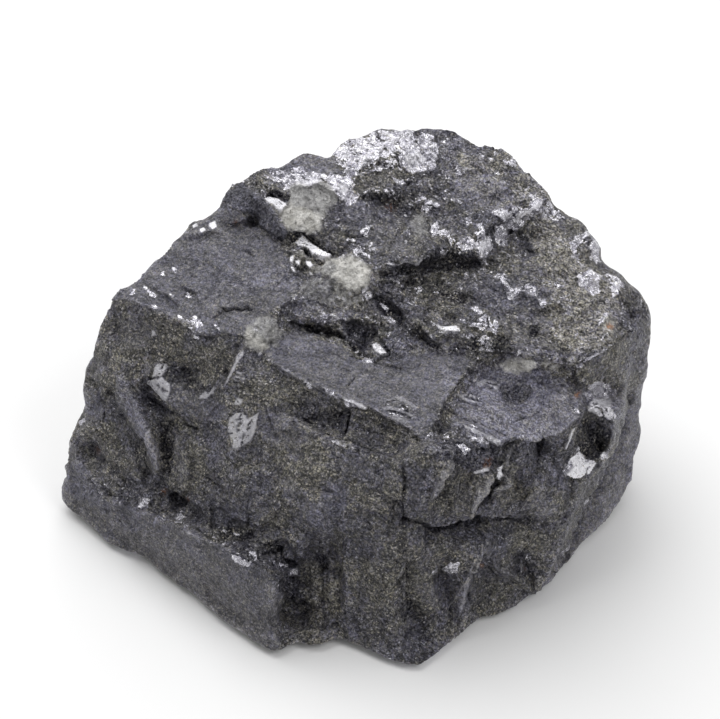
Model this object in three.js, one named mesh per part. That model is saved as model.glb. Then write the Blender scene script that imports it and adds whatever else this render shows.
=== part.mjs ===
import * as THREE from 'three';
import { mergeVertices } from 'three/addons/utils/BufferGeometryUtils.js';

// Galena hand specimen: one broken lump of lead sulphide, grown together from
// cubes that share one orientation, with small patches of pale gangue in it.
// Millimetres, Z up. The flat broken underside rests on Z = 0, the sharp front
// corner points to -Y, and the highest crest lies towards +Y.

// ---------------------------------------------------------------- dimensions
const WIDTH_X = 96.7;       // left corner to right shoulder
const DEPTH_Y = 79.8;       // front corner to the bulge of the back wall
const HEIGHT_Z = 51.6;      // underside to the crest
const FACET_SPLIT = 2;      // every facet edge of the cage is cut in this many
const RELIEF = 0.42;        // mm, broken surface standing in or out of a facet
const RELIEF_SCALE = 4.6;   // mm, size of the coarsest bumps of that relief
const FOOT_BAND = 3.0;      // mm above the underside where the relief dies out
const CAGE_SIZE = [96.7, 79.8, 51.6];  // size the corner table was measured at

// ------------------------------------------------------------- corner table
// Corners of the cage, x, y, z in mm, grouped by feature.
const CORNERS = [
  // outer rim, left corner over the crest to the right corner (0 to 74)
  -48.4,-4.2,2, -47.8,-3.7,5, -47.2,-3.5,6, -47.3,-2.8,8, -46.9,-2.4,9, -46.9,-2.3,10, -45.9,-1.6,12.5, -45.2,-0.9,15,
  -43.3,0,17.5, -43.5,0.3,18.3, -43.3,2,22.5, -42.6,2.7,25.5, -41.5,3.4,29, -40.1,3.9,32.5, -39,4.5,35.2, -37.8,4.9,37.5,
  -35.9,6.3,38.8, -33.6,7.5,39.5, -30.9,10.1,41, -28.3,13.5,42.5, -25.3,15.9,43.8, -22.6,17.2,44.5, -20.5,19.2,45.5, -20.2,20.2,47,
  -19.1,21.4,48, -17.9,21.5,48, -16.4,23.2,48.3, -13.7,24.2,48.6, -11,25.2,48.8, -9.3,26.9,49.5, -7.5,27.6,50, -5.4,27.4,49.8,
  -3.4,27,49.5, -1.8,28.7,50.3, -0.1,30.2,51, 1.5,30.1,50.8, 3.4,31.2,51.2, 5.2,31.8,51.5, 7.8,31.9,51.5, 10.3,31.5,51.2,
  11.8,32.3,51.6, 12.6,32.5,51.5, 14.8,32.1,51.2, 17.2,31.7,50.8, 19.1,30.6,50.2, 21,29.3,49.5, 21.8,30,49.6, 23.8,30.4,49.3,
  26.4,29,48.2, 27.8,27.6,47.5, 29.2,26.1,46.8, 30.8,24.4,46, 32.3,21.9,45.2, 33.3,20.1,44.6, 34.5,18.1,44, 36.9,17.8,43.2,
  38,16.9,42.7, 39,13.5,41.5, 40.1,11.1,40.8, 42.6,9.3,39.8, 44.3,7.8,38.7, 46.1,6.3,37.5, 47.1,5.1,36, 48.1,4,33,
  48.3,3.4,30, 47.9,2.6,27.5, 48.2,1.9,25.5, 47.6,1.7,22, 46.7,0.8,19, 47.8,2.4,14.5, 48.2,1.3,11, 47.5,-0.7,7.5,
  46.9,-2.2,4, 46,-2.8,3, 45.4,-4.1,2.2,
  // outer rim, right corner along the foot of the front faces to the left corner (75 to 120)
  42.2,-8.4,1.5, 40.2,-10.9,1.3, 38.1,-13.4,1.2, 35.4,-17.9,1.2, 33.8,-19.6,1.2, 32.4,-21.8,1.2, 29.5,-24.2,1.2, 27.9,-25.9,1.2,
  26.2,-27.5,1.2, 23.1,-29.3,1.2, 20.8,-29.8,1.2, 19.8,-30.4,1.2, 17.6,-32.9,1.2, 15.3,-35.4,1.2, 13,-37.8,1, 10.4,-39.9,1,
  8.9,-39.9,1, 6.8,-39.1,1, 4.2,-37.7,1.2, 1.8,-36.1,1.2, 0.1,-35.2,1.2, -1.7,-34.8,1.2, -2.5,-34.8,1.2, -4.5,-36.2,1.2,
  -6.5,-36.2,1.2, -8,-35.4,1.2, -8.7,-35.4,1.2, -10.9,-37,1.2, -11.8,-37,1.2, -12.9,-36.6,1.2, -15.4,-34.6,1.2, -18,-32.4,1.2,
  -20.4,-30.1,1.2, -22.8,-27.4,1.2, -25.1,-24.8,1.2, -28,-22.8,1.2, -29.1,-21.4,1.2, -31.4,-19.3,1.2, -33.4,-17.5,1.2, -34.2,-16.8,1.2,
  -36.2,-16.1,1.2, -39.6,-13.8,1.2, -41.8,-11.4,1.3, -44.1,-8.9,1.5, -45.7,-7.5,1.6, -47.2,-6.2,1.8,
  // smooth sloping plateau, upper left (121 to 142)
  -36.4,4.4,37.5, -34.9,3.4,37.7, -31.7,1.5,37.8, -28.4,-0.8,37.6, -25.1,-2.6,37.4, -22.4,-4.1,37.1, -19.5,-4.4,37.7, -16.7,-5,37.4,
  -33.5,5.1,38.9, -29.6,6.7,40.1, -25.8,11.3,42.2, -23,13.5,43.2, -20.8,15.3,43.7, -23.7,1.2,39, -27.3,2.6,38.9, -18.6,0.6,39.5,
  -18.4,7.5,42.1, -14,5.6,42.2, -15,1.6,40.5, -11.9,1.6,40.5, -17.3,-2.4,38.5, -13.9,-0.9,39.3,
  // raised diagonal bar behind the plateau (143 to 156)
  -19.2,17.5,46.1, -16.7,15.7,45.1, -14.2,13,44.7, -10.8,9.2,44, -18.3,19.8,48, -15.9,17.1,48.7, -13.5,14.6,48.3, -11.6,11.8,47.6,
  -10.1,9.6,46.3, -14.7,19.3,48.5, -12.5,17.3,47.7, -10.5,14.7,46.8, -9.1,11.6,45.6, -16.3,16.7,43.8,
  // crest behind the bar, left half, with two gangue lobes (157 to 179)
  -14.4,21.3,48.9, -10.7,21.1,49, -7.8,22.6,49.5, -4.7,20.9,49.9, -1,23.7,51.1, -1,18.8,49.4, -8.2,17.5,48.4, -4.1,15.1,48.5,
  -9.4,13,46.6, -5.5,11.2,46.9, -1.4,12.5,46.9, -8.1,11.4,44.5, -4,10.3,44.8, -2.3,7.4,44, -6.1,6.2,43.7, -8.6,6,43.3,
  -8,2.9,41.7, -3.2,3.7,44, -0.1,3.2,44.8, 2.2,1.2,44, -0.7,-0.4,42.8, -4,0.9,42.2, -0.1,8.5,45.3,
  // hollow and deep crevice behind the centre block (180 to 196)
  -10.3,-0.2,39.9, -6.4,-0.3,40.2, -2.4,-1.1,40.8, 1.8,-1.7,41.1, -7.9,-1.6,39, -4,-2.5,39.6, -0.6,-3.1,39.5, 2.2,-3.3,39.2,
  -12.6,-3.9,38.1, -13.8,-5.9,36.7, -10.4,-2.3,38, -8,-2,37, -4.8,-2.6,37, -1.4,-3.8,37, 1.8,-5.4,36.7, 4.5,-7.4,36.9,
  5.8,-6.2,38,
  // centre block: smooth top, bevel and front edge (197 to 226)
  -10.2,-4.7,37.1, -7.6,-4.7,37.1, -4.5,-5.4,37.1, -1.2,-7.2,36.8, 1.8,-8.9,36.6, 6.4,-9.8,36.9, -3.2,-10.3,36.3, 1.5,-13.5,36.1,
  7.5,-15,36.3, 12.1,-14.5,36.9, -16.1,-6.7,35.6, -13.7,-8.5,35.5, -10.1,-10.8,35.4, -7.3,-13.1,35.2, -4.3,-14.9,35, -0.8,-17,34.9,
  3,-19.1,34.9, 5.7,-18.3,35.8, 6.3,-21,34.6, 8.9,-23.2,34.1, 11,-24.9,34.1, 9.3,-19.2,36, 18.8,-11.7,38.4, 16.3,-16.1,37.5,
  14.2,-19.5,36.4, 12.4,-22.6,35.2, 13.7,-10.4,37.8, 16.1,-8.9,38.2, 11.9,-8.6,37.9, 8.4,-7.3,37.9,
  // foot of the step on the right of the centre block (227 to 230)
  20.5,-10.5,35.9, 17.9,-14.8,35.2, 15.8,-18.6,34.5, 13.6,-23,33.6,
  // rough crest and shoulder, middle (231 to 276)
  2.3,23.9,51, 3.1,22.4,49.7, 5.5,26.1,51.5, 9.6,26.7,51.1, 13.2,27.6,50.4, 5.5,18.5,49.6, 7.9,22.2,49.8, 3.4,16.3,47.5,
  7.9,16.5,47.2, 11.1,18.3,48.6, 14.6,16.5,47.3, 17.5,14.4,46.3, 21.1,17.5,46.7, 3,10,46.1, 7.5,10.1,46.7, 11,11.1,46.7,
  14.9,10.2,46, 17.9,8.8,45.5, 6.9,5.3,45.5, 3.8,4.1,44.5, 12.5,7.2,45.7, 19.1,7.5,45.1, 14.4,22.1,48.7, 17,26.2,49.5,
  19.3,21.8,48.2, 21.4,26.6,49.2, 24.3,23.3,47.9, 16.8,19,47.5, 4.9,2.7,42.1, 8,3.4,42.5, 12.8,6,41.9, 17.3,7.5,41.5,
  20.8,7.3,42.1, 3.8,0.6,40.1, 6.4,-2.1,39.4, 8,-0.5,41, 12.4,0.7,41, 17.2,2.2,40.8, 11.5,-3.1,40.5, 14.6,-3.1,40.3,
  18.9,-2.3,40.4, 8.9,-4.7,39.6, 12.2,-6.4,39.9, 14.8,-7.1,39.5, 17,-7.1,39.3, 20.3,-6.5,39.8,
  // upper right slab, ridge, hollow and front edge (277 to 323)
  26.6,20.2,46.5, 23.3,19.1,46.5, 24.6,14.7,46.8, 28.3,16.4,46.6, 31.4,19,45.9, 22.5,12.6,46.4, 20.3,9.9,46.1, 20.6,6.1,44.9,
  23,10.6,43.5, 25.3,14.2,43.5, 27.7,14,43, 30,16.2,44.2, 24.6,7.4,42.8, 27.9,9.1,42.7, 23.4,2.6,42.5, 21.7,-0.8,41.6,
  25.5,-1.2,41.9, 30.3,-0.6,41.4, 35.9,0.2,40.8, 40.7,1.1,40.1, 32.3,-6.1,39.9, 37.1,-4.7,39.7, 26.1,-6.6,40.3, 29,4.8,42.8,
  34.7,6.8,42.5, 39.3,4.4,41.1, 33.5,12.9,44, 35.8,10.9,42.9, 42.4,3.2,40.4, 22.9,-7.9,39.8, 23.2,-9.9,39, 26.5,-11.4,38.9,
  30.1,-11.9,38.5, 34.1,-12,38, 29.8,-9,39.3, 38.2,-9.9,38.8, 41.9,-4.6,37, 44.2,-1.4,36.4, 46,1.6,35.3, 43.1,-0.2,37.5,
  40.2,-4.8,38.9, 36.4,-11.6,36, 40.5,-7.4,32.5, 44.8,-1.3,29.8, 37.5,-10.5,30.7, 41.4,-6.1,25.9, 43.2,-4.1,26.9,
  // foot of the riser under the slab (324 to 328)
  23.8,-10,35.9, 26.8,-11.4,34.6, 30.8,-11.1,34, 34.3,-10.1,33.5, 35.4,-12.4,32.7,
  // right block: top and front edge (329 to 347)
  22.9,-13,34.6, 21.2,-16.2,34.4, 24.8,-13,33.2, 26.3,-13.9,32.5, 28.3,-14,33.5, 18.9,-18.3,34.2, 23.4,-18.5,33.4, 28.8,-17.6,32.6,
  32.9,-14.3,32.7, 15.3,-21.9,33.8, 17.4,-21.5,33.6, 20.1,-22.5,32.9, 22.5,-23.4,32.1, 25.9,-22.1,31.9, 29.4,-21.6,31.3, 32.1,-19.7,31.4,
  35.1,-16.4,31.5, 38,-14.4,32, 40.5,-14.3,31.5,
  // right block: ribbed front wall, cross crack, toe (348 to 402)
  11,-28.6,36.1, 11.4,-29.2,32, 14,-28.3,34.8, 13.3,-29.8,30.5, 12,-30.9,26.4, 16.6,-26.1,33.2, 16.2,-26.9,27.8, 14.7,-28.7,23.2,
  19.9,-25.9,30.5, 18.9,-27.6,26, 18.1,-28.3,22.4, 21.7,-23.8,29, 21.3,-25.2,23, 23.4,-25,27, 22.3,-26.2,23, 22.9,-24,31.3,
  26.1,-22.1,27.4, 25.2,-23.7,21.6, 28.9,-22.2,26.5, 27.5,-24,21.2, 30.1,-20.4,27.9, 31.7,-20.4,22.7, 33.5,-19.6,29.2, 32.4,-21.2,20.2,
  37.1,-14.1,27.4, 38.7,-13.9,23, 36.8,-16.6,24.5, 34.6,-19.6,23.4, 36.4,-18.7,22.1, 39.4,-15.9,22.7, 40.7,-14.7,29, 40.3,-15.5,25.5,
  10.5,-30.9,23.3, 13.1,-29.3,20.5, 18.3,-26.9,19.4, 23,-25,17.5, 27.9,-23.1,15.6, 32,-22.1,15.7, 11.3,-32,19.1, 15.1,-30.7,17.8,
  18.9,-29.7,16.6, 23.1,-27.1,14.2, 27.9,-25.3,12.3, 31.2,-23.2,12.5, 18.1,-31.4,10.9, 16.9,-32.5,6.4, 13.8,-31.6,10, 21,-28.3,7.7,
  24.1,-27.7,8.1, 28.2,-25.9,7.4, 20.3,-29.4,3.8, 24.3,-28.3,3.6, 13.1,-33.9,4.6, 11.4,-32.4,14.2, 15.5,-33.2,2.7,
  // right block: outer edge and the side wall behind it (403 to 453)
  41.8,-13.6,31.7, 41.7,-14,29.1, 41.4,-14.5,26.7, 40.7,-15,24.9, 40.1,-15.6,23.1, 39.4,-16.6,21.4, 38.7,-17.3,19.8, 37.4,-18.5,18.1,
  36.2,-19.6,16.5, 35.5,-20.2,15, 35.1,-20.7,13.3, 34.5,-21.3,11.7, 34,-21.9,10, 32.6,-23,7.6, 30.9,-24.5,5.7, 29.6,-25.5,4.3,
  45,-0.2,19.7, 43.4,-6.9,25.7, 44.8,-0.9,17.3, 43.2,-7.5,23.2, 44.4,-1.9,15.1, 42.8,-8.2,20.9, 43.5,-3.2,13.9, 42.1,-9.1,19.4,
  42.9,-4.3,12.4, 41.5,-10,17.8, 42.1,-5.6,11, 40.7,-11.1,16.2, 41.2,-6.9,9.7, 39.9,-12.1,14.8, 39.8,-8.8,8.6, 38.6,-13.7,13.4,
  38.4,-10.7,7.7, 37.3,-15.1,12.1, 37.6,-11.9,6.7, 36.5,-16.1,10.8, 37.1,-12.8,5.3, 36.1,-16.8,9.3, 36.4,-13.9,4, 35.5,-17.6,7.8,
  35.8,-14.9,2.8, 34.9,-18.4,6.4, 34.3,-17.1,1.3, 33.4,-20.1,4.5, 45.8,-0.9,14.5, 45.4,-2.7,9.4, 43,-6.3,7.1, 40.8,-8.8,6.1,
  38.8,-11.9,3.7, 36.5,-14.7,2.8, 44.4,-2.6,13.8,
  // front corner wedge (454 to 469)
  7.3,-29.4,33.8, 7.7,-30.4,29.1, 7.9,-31.7,24.1, 8.1,-33.1,20.3, 8.2,-33.9,16.8, 8.9,-35.2,10.4, 9.6,-35.9,3.3, -0.8,-30.7,13.3,
  3,-32.9,16.9, 6,-34.2,17.7, -0.9,-32.5,7.6, 3,-34.6,9.9, 6.3,-35.9,11.2, -0.1,-34.1,3.6, 3.8,-36.2,4.8, 7.3,-37.7,5.3,
  // upright recess between the lower left block and the wedge (470 to 475)
  -7.9,-30,4.9, -5.1,-27.9,11.7, -5.1,-29.8,4.7, -7.7,-30,2.2, -2.7,-31,8.3, -7.5,-28.5,10.1,
  // long front left face: bevel riser, flutes, pits (476 to 549)
  -7.7,-14.9,32.8, -13.7,-11.7,33.5, -10.8,-13.4,33, -3.9,-17.1,32.7, -0.1,-19.2,32.2, 3.7,-21.5,31.8, 7.4,-23.9,32.2, -12.1,-15.2,30.3,
  -7.7,-17.8,30.9, -4.3,-19.7,31, -0.8,-21.7,31.1, 2.2,-23.5,31.4, 5.2,-25.3,31.4, -37.7,2.8,32.6, -34.3,0.7,33.3, -30.1,-1.9,33.4,
  -26,-3.9,34, -21.9,-5.8,34.6, -19.3,-7.8,34.9, -17.4,-8.2,35.2, -39.5,0.4,28, -36,-2.9,28, -33.1,-2.8,28.6, -30.1,-5.5,29.7,
  -28.8,-7.6,27.9, -25.3,-6.1,30.7, -21.6,-8.6,31.9, -17.9,-10.1,32.2, -41.3,-1.8,22.8, -40.2,-2.5,22, -38,-4.8,20.1, -35.8,-7.6,18.3,
  -35.5,-5.5,25, -33.1,-9,22.8, -31,-12.9,19.3, -32.3,-5.6,25.1, -29.8,-9.5,22.2, -29,-12.8,18.3, -26.8,-9.6,26.5, -41.4,-4.3,18.6,
  -22.8,-11,27.7, -24.5,-11.7,24.6, -17.1,-13.2,30.8, -15.2,-15.4,30, -17.1,-16.6,26.6, -19.1,-13.9,27.2, -21.1,-15.7,23.6, -12.4,-18.5,27.2,
  -43.9,-3.9,15, -42.3,-4.9,13.2, -43.5,-6,10.7, -38.7,-8.1,14, -38.9,-6.3,17.2, -33.7,-12.7,14.8, -30.3,-14.9,14.7, -28.3,-15.9,12.9,
  -25.3,-17.6,16.8, -22.8,-17.4,19.9, -20.7,-19.4,18.5, -15.5,-20.9,22.1, -10,-22,25.2, -4.6,-25,26, 0.7,-26.8,27.7, 4.4,-28.8,27.5,
  -17.2,-23.7,16.3, -10.8,-26.4,18.9, -5.8,-28.6,20, -1.6,-30.6,20.9, 3.3,-32.2,22.1, 5.9,-31.6,24, -6.1,-26.4,23.1, -21.2,-21.4,15.7,
  -0.8,-28.6,24.2, -14,-23.2,20.1,
  // lower left block: ledge, rim and outer wall (550 to 587)
  -40.8,-9.1,10.5, -36.4,-12.3,11.7, -32.1,-15.2,12.3, -27.4,-18.3,12.7, -23.7,-20.5,13.9, -18.5,-24.2,14.1, -13.7,-27.1,14.8, -8,-29.4,16.3,
  -45.7,-5.6,7.2, -43.4,-7.8,7.9, -40.9,-9.9,8.6, -36.4,-13.6,10.1, -31.9,-17.5,11.9, -27.4,-21.3,13, -23.4,-24.7,13.9, -19.3,-28.3,15,
  -15.3,-31.8,15.9, -12.1,-34.5,16.1, -10.1,-35.7,15.8, -41.1,-10.8,4.7, -35.7,-15.5,5.9, -30.4,-20,7, -25.4,-24.6,7.1, -20.4,-29.2,6.3,
  -15.6,-33.6,6, -12.4,-36.4,6.2, -44.8,-7.4,4, -17.7,-30.4,13.1, -14.6,-33.5,11.9, -11.9,-35.7,11.1, -32.1,-18.4,7.6, -38.6,-13.5,2.8,
  -9.4,-27.4,11.2, -8.6,-28.4,6.6, -10.5,-29.7,2.4, -6,-34.7,3.2, -3.5,-34.1,3.4, -9.2,-34.7,3.4,
  // flat underside, outline of the back (588 to 603)
  -45.5,-0.3,0, -40.5,5.2,0, -35,10.7,0, -28.6,15.2,0, -21.1,19.7,0, -14.6,25.2,0, -6.6,29.7,0, 1.9,32.7,0,
  9.9,35.7,0, 15.9,33.2,0, 22.4,27.7,0, 28.4,22.2,0, 33.5,17.2,0, 38.5,10.7,0, 42,6.2,0, 44,0.7,0,
  // back: broken wall with a climbing ledge and upright steps (604 to 768)
  -43,3.6,5.7, -44.1,4.2,10.5, -44,4.2,16.5, -43.4,4.7,21.1, -39.8,8.6,5.7, -40.6,9.5,10.4, -40.6,9.5,16.9, -40.3,9.2,21.2,
  -40.2,9.1,25.1, -38.3,6.9,28.4, -38,6.6,32.2, -34,13.3,5.5, -35,14.5,10.1, -34.9,14.3,15.9, -34.8,14.3,22.1, -34.8,14.3,27.1,
  -32.6,11.8,28.7, -32.3,11.4,34.2, -32.9,16.9,4.6, -33.6,17.9,11.1, -33.4,17.5,17.7, -32.7,16.6,20.8, -32.6,16.4,26.7, -30.7,13.8,29.2,
  -30.4,13.4,34.4, -27.1,20.5,5.6, -27.8,21.4,10.7, -27.9,21.6,17, -27.2,20.6,20.7, -26.9,20.2,25.9, -25,17.5,29.9, -24.7,17.2,34.4,
  -21.4,24.7,6.4, -22.1,25.7,10.8, -22.2,25.9,16.4, -21.2,24.4,20.8, -21.3,24.5,28.2, -20.1,22.9,29.9, -20,22.7,35, -19.3,21.7,40.7,
  -15,28.5,4.3, -15.8,30,10.5, -15.9,30.1,17.8, -15.8,29.9,21.1, -15.1,28.7,27.8, -13.9,26.5,30.2, -13.5,25.8,35.5, -13.3,25.4,40.4,
  -11.9,29.3,5.6, -12.4,30.2,10.6, -12.4,30.2,15.3, -12.2,29.9,21.7, -12.1,29.7,27.1, -10.8,27.4,30.6, -10.4,26.6,36.4, -10.3,26.5,40.9,
  -6.9,31.7,4.9, -6.9,31.8,10.7, -6.8,31.5,16, -7.5,32.7,20.7, -7.7,33.2,29, -5.9,29.9,30.2, -5.4,29,35.7, -5,28.2,40.9,
  -2.5,34.1,5.1, -2.1,33.1,11.2, -2.4,33.8,15.6, -2.8,34.8,21.1, -2.6,34.4,28.7, -1.5,31.7,31, -1.1,30.7,35.5, -1,30.4,41.4,
  1.4,35.3,5.5, 1,36.4,10.7, 0.9,36.6,16.3, 1,36.4,21.5, 0.9,36.8,29.1, 2.4,33,31.5, 2.6,32.6,36.7, 2.9,31.8,42.5,
  4.4,36.7,6.4, 4.1,37.8,11.5, 3.9,38.2,17, 3.8,38.6,22.9, 4.1,37.8,26.5, 4.1,37.8,33, 4.3,37,37.2, 4.6,36,43.9,
  9.5,38.5,5, 9.3,39.3,10.9, 9.2,39.5,15.5, 9.1,39.9,22, 9.1,39.8,26.9, 9.3,39.1,32.5, 9.5,38.5,38.7, 9.8,37.7,43.2,
  13.2,38.4,5.4, 13.5,39.4,10.1, 13.5,39.3,16.9, 13.5,39.4,22, 13.5,39.4,28.2, 13.4,39,32.6, 12.9,37.6,38.2, 13,37.7,43.3,
  16,37,6.2, 16.5,38.5,11, 16.5,38.4,16.5, 15.7,36.2,22.3, 15.7,36,26.9, 15.5,35.7,33.7, 15.1,34.4,38.5, 14.8,33.5,44.9,
  21.1,34.2,6, 22,35.5,9.4, 22,35.4,16.5, 20.5,33.3,21.4, 20.4,33.2,27.4, 20.4,33.1,33, 19.9,32.5,38.3, 19.4,31.7,44.6,
  26.5,30.7,5.9, 27.2,31.6,11.1, 27.1,31.5,16.4, 25.6,29.5,22.9, 26.9,31.2,27.2, 26.9,31.2,33.3, 26.2,30.3,37.8, 30.9,26.9,6,
  31.7,27.9,10.9, 31.7,27.9,16.6, 29.9,25.6,21.9, 31.2,27.3,27, 31,27.1,32.8, 30.4,26.3,38.5, 33.7,23.9,5.8, 35.2,25.3,10.8,
  34.8,24.9,15.9, 33,23.3,21.3, 33.5,23.7,27, 33.1,23.4,33.2, 32.8,23.1,38.4, 34.8,20.7,4.7, 35.9,21.7,11.9, 36.1,21.9,15.9,
  36.7,22.5,21.7, 37,22.7,27.6, 36.6,22.4,33, 35.9,21.8,38.8, 39.3,16.6,5.9, 39.9,17.1,10, 40,17.2,15.3, 40.7,17.7,22.5,
  41.1,18.1,26.5, 40.5,17.6,33.4, 43.3,11.6,5.6, 43.7,11.9,10.3, 43.8,12,16.4, 44.7,12.7,22.1, 44.7,12.7,28.1, 44.8,12.8,33.3,
  46,6.5,5.3, 47,7.2,10.2, 46.8,7.1,17, 48.2,8.1,22.6, 47.8,7.8,27.6,
  // flat underside, outline of the front, set in under the rim (769 to 785)
  40.1,-6.8,0, 35.9,-11.9,0, 31.7,-18,0, 27.8,-22.2,0, 22.2,-26.8,0, 15.6,-31.2,0, 11.3,-35.9,0, 5.6,-35.4,0,
  -1.3,-32.2,0, -7,-33,0, -13.7,-32.6,0, -18.5,-28.3,0, -23.4,-22.9,0, -29.6,-17.3,0, -35,-13.8,0, -39.9,-9.6,0,
  -44,-5.5,0,
  // flat underside, inner points (786 to 795)
  -20.1,-3.8,0, -0.1,-18.8,0, 14.9,-8.8,0, -10.1,11.2,0, 19.9,11.2,0, 4.9,23.2,0, 29.9,-0.8,0, -32,-0.8,0,
  -10.1,-10.8,0, 9.9,3.2,0,
];

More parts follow.
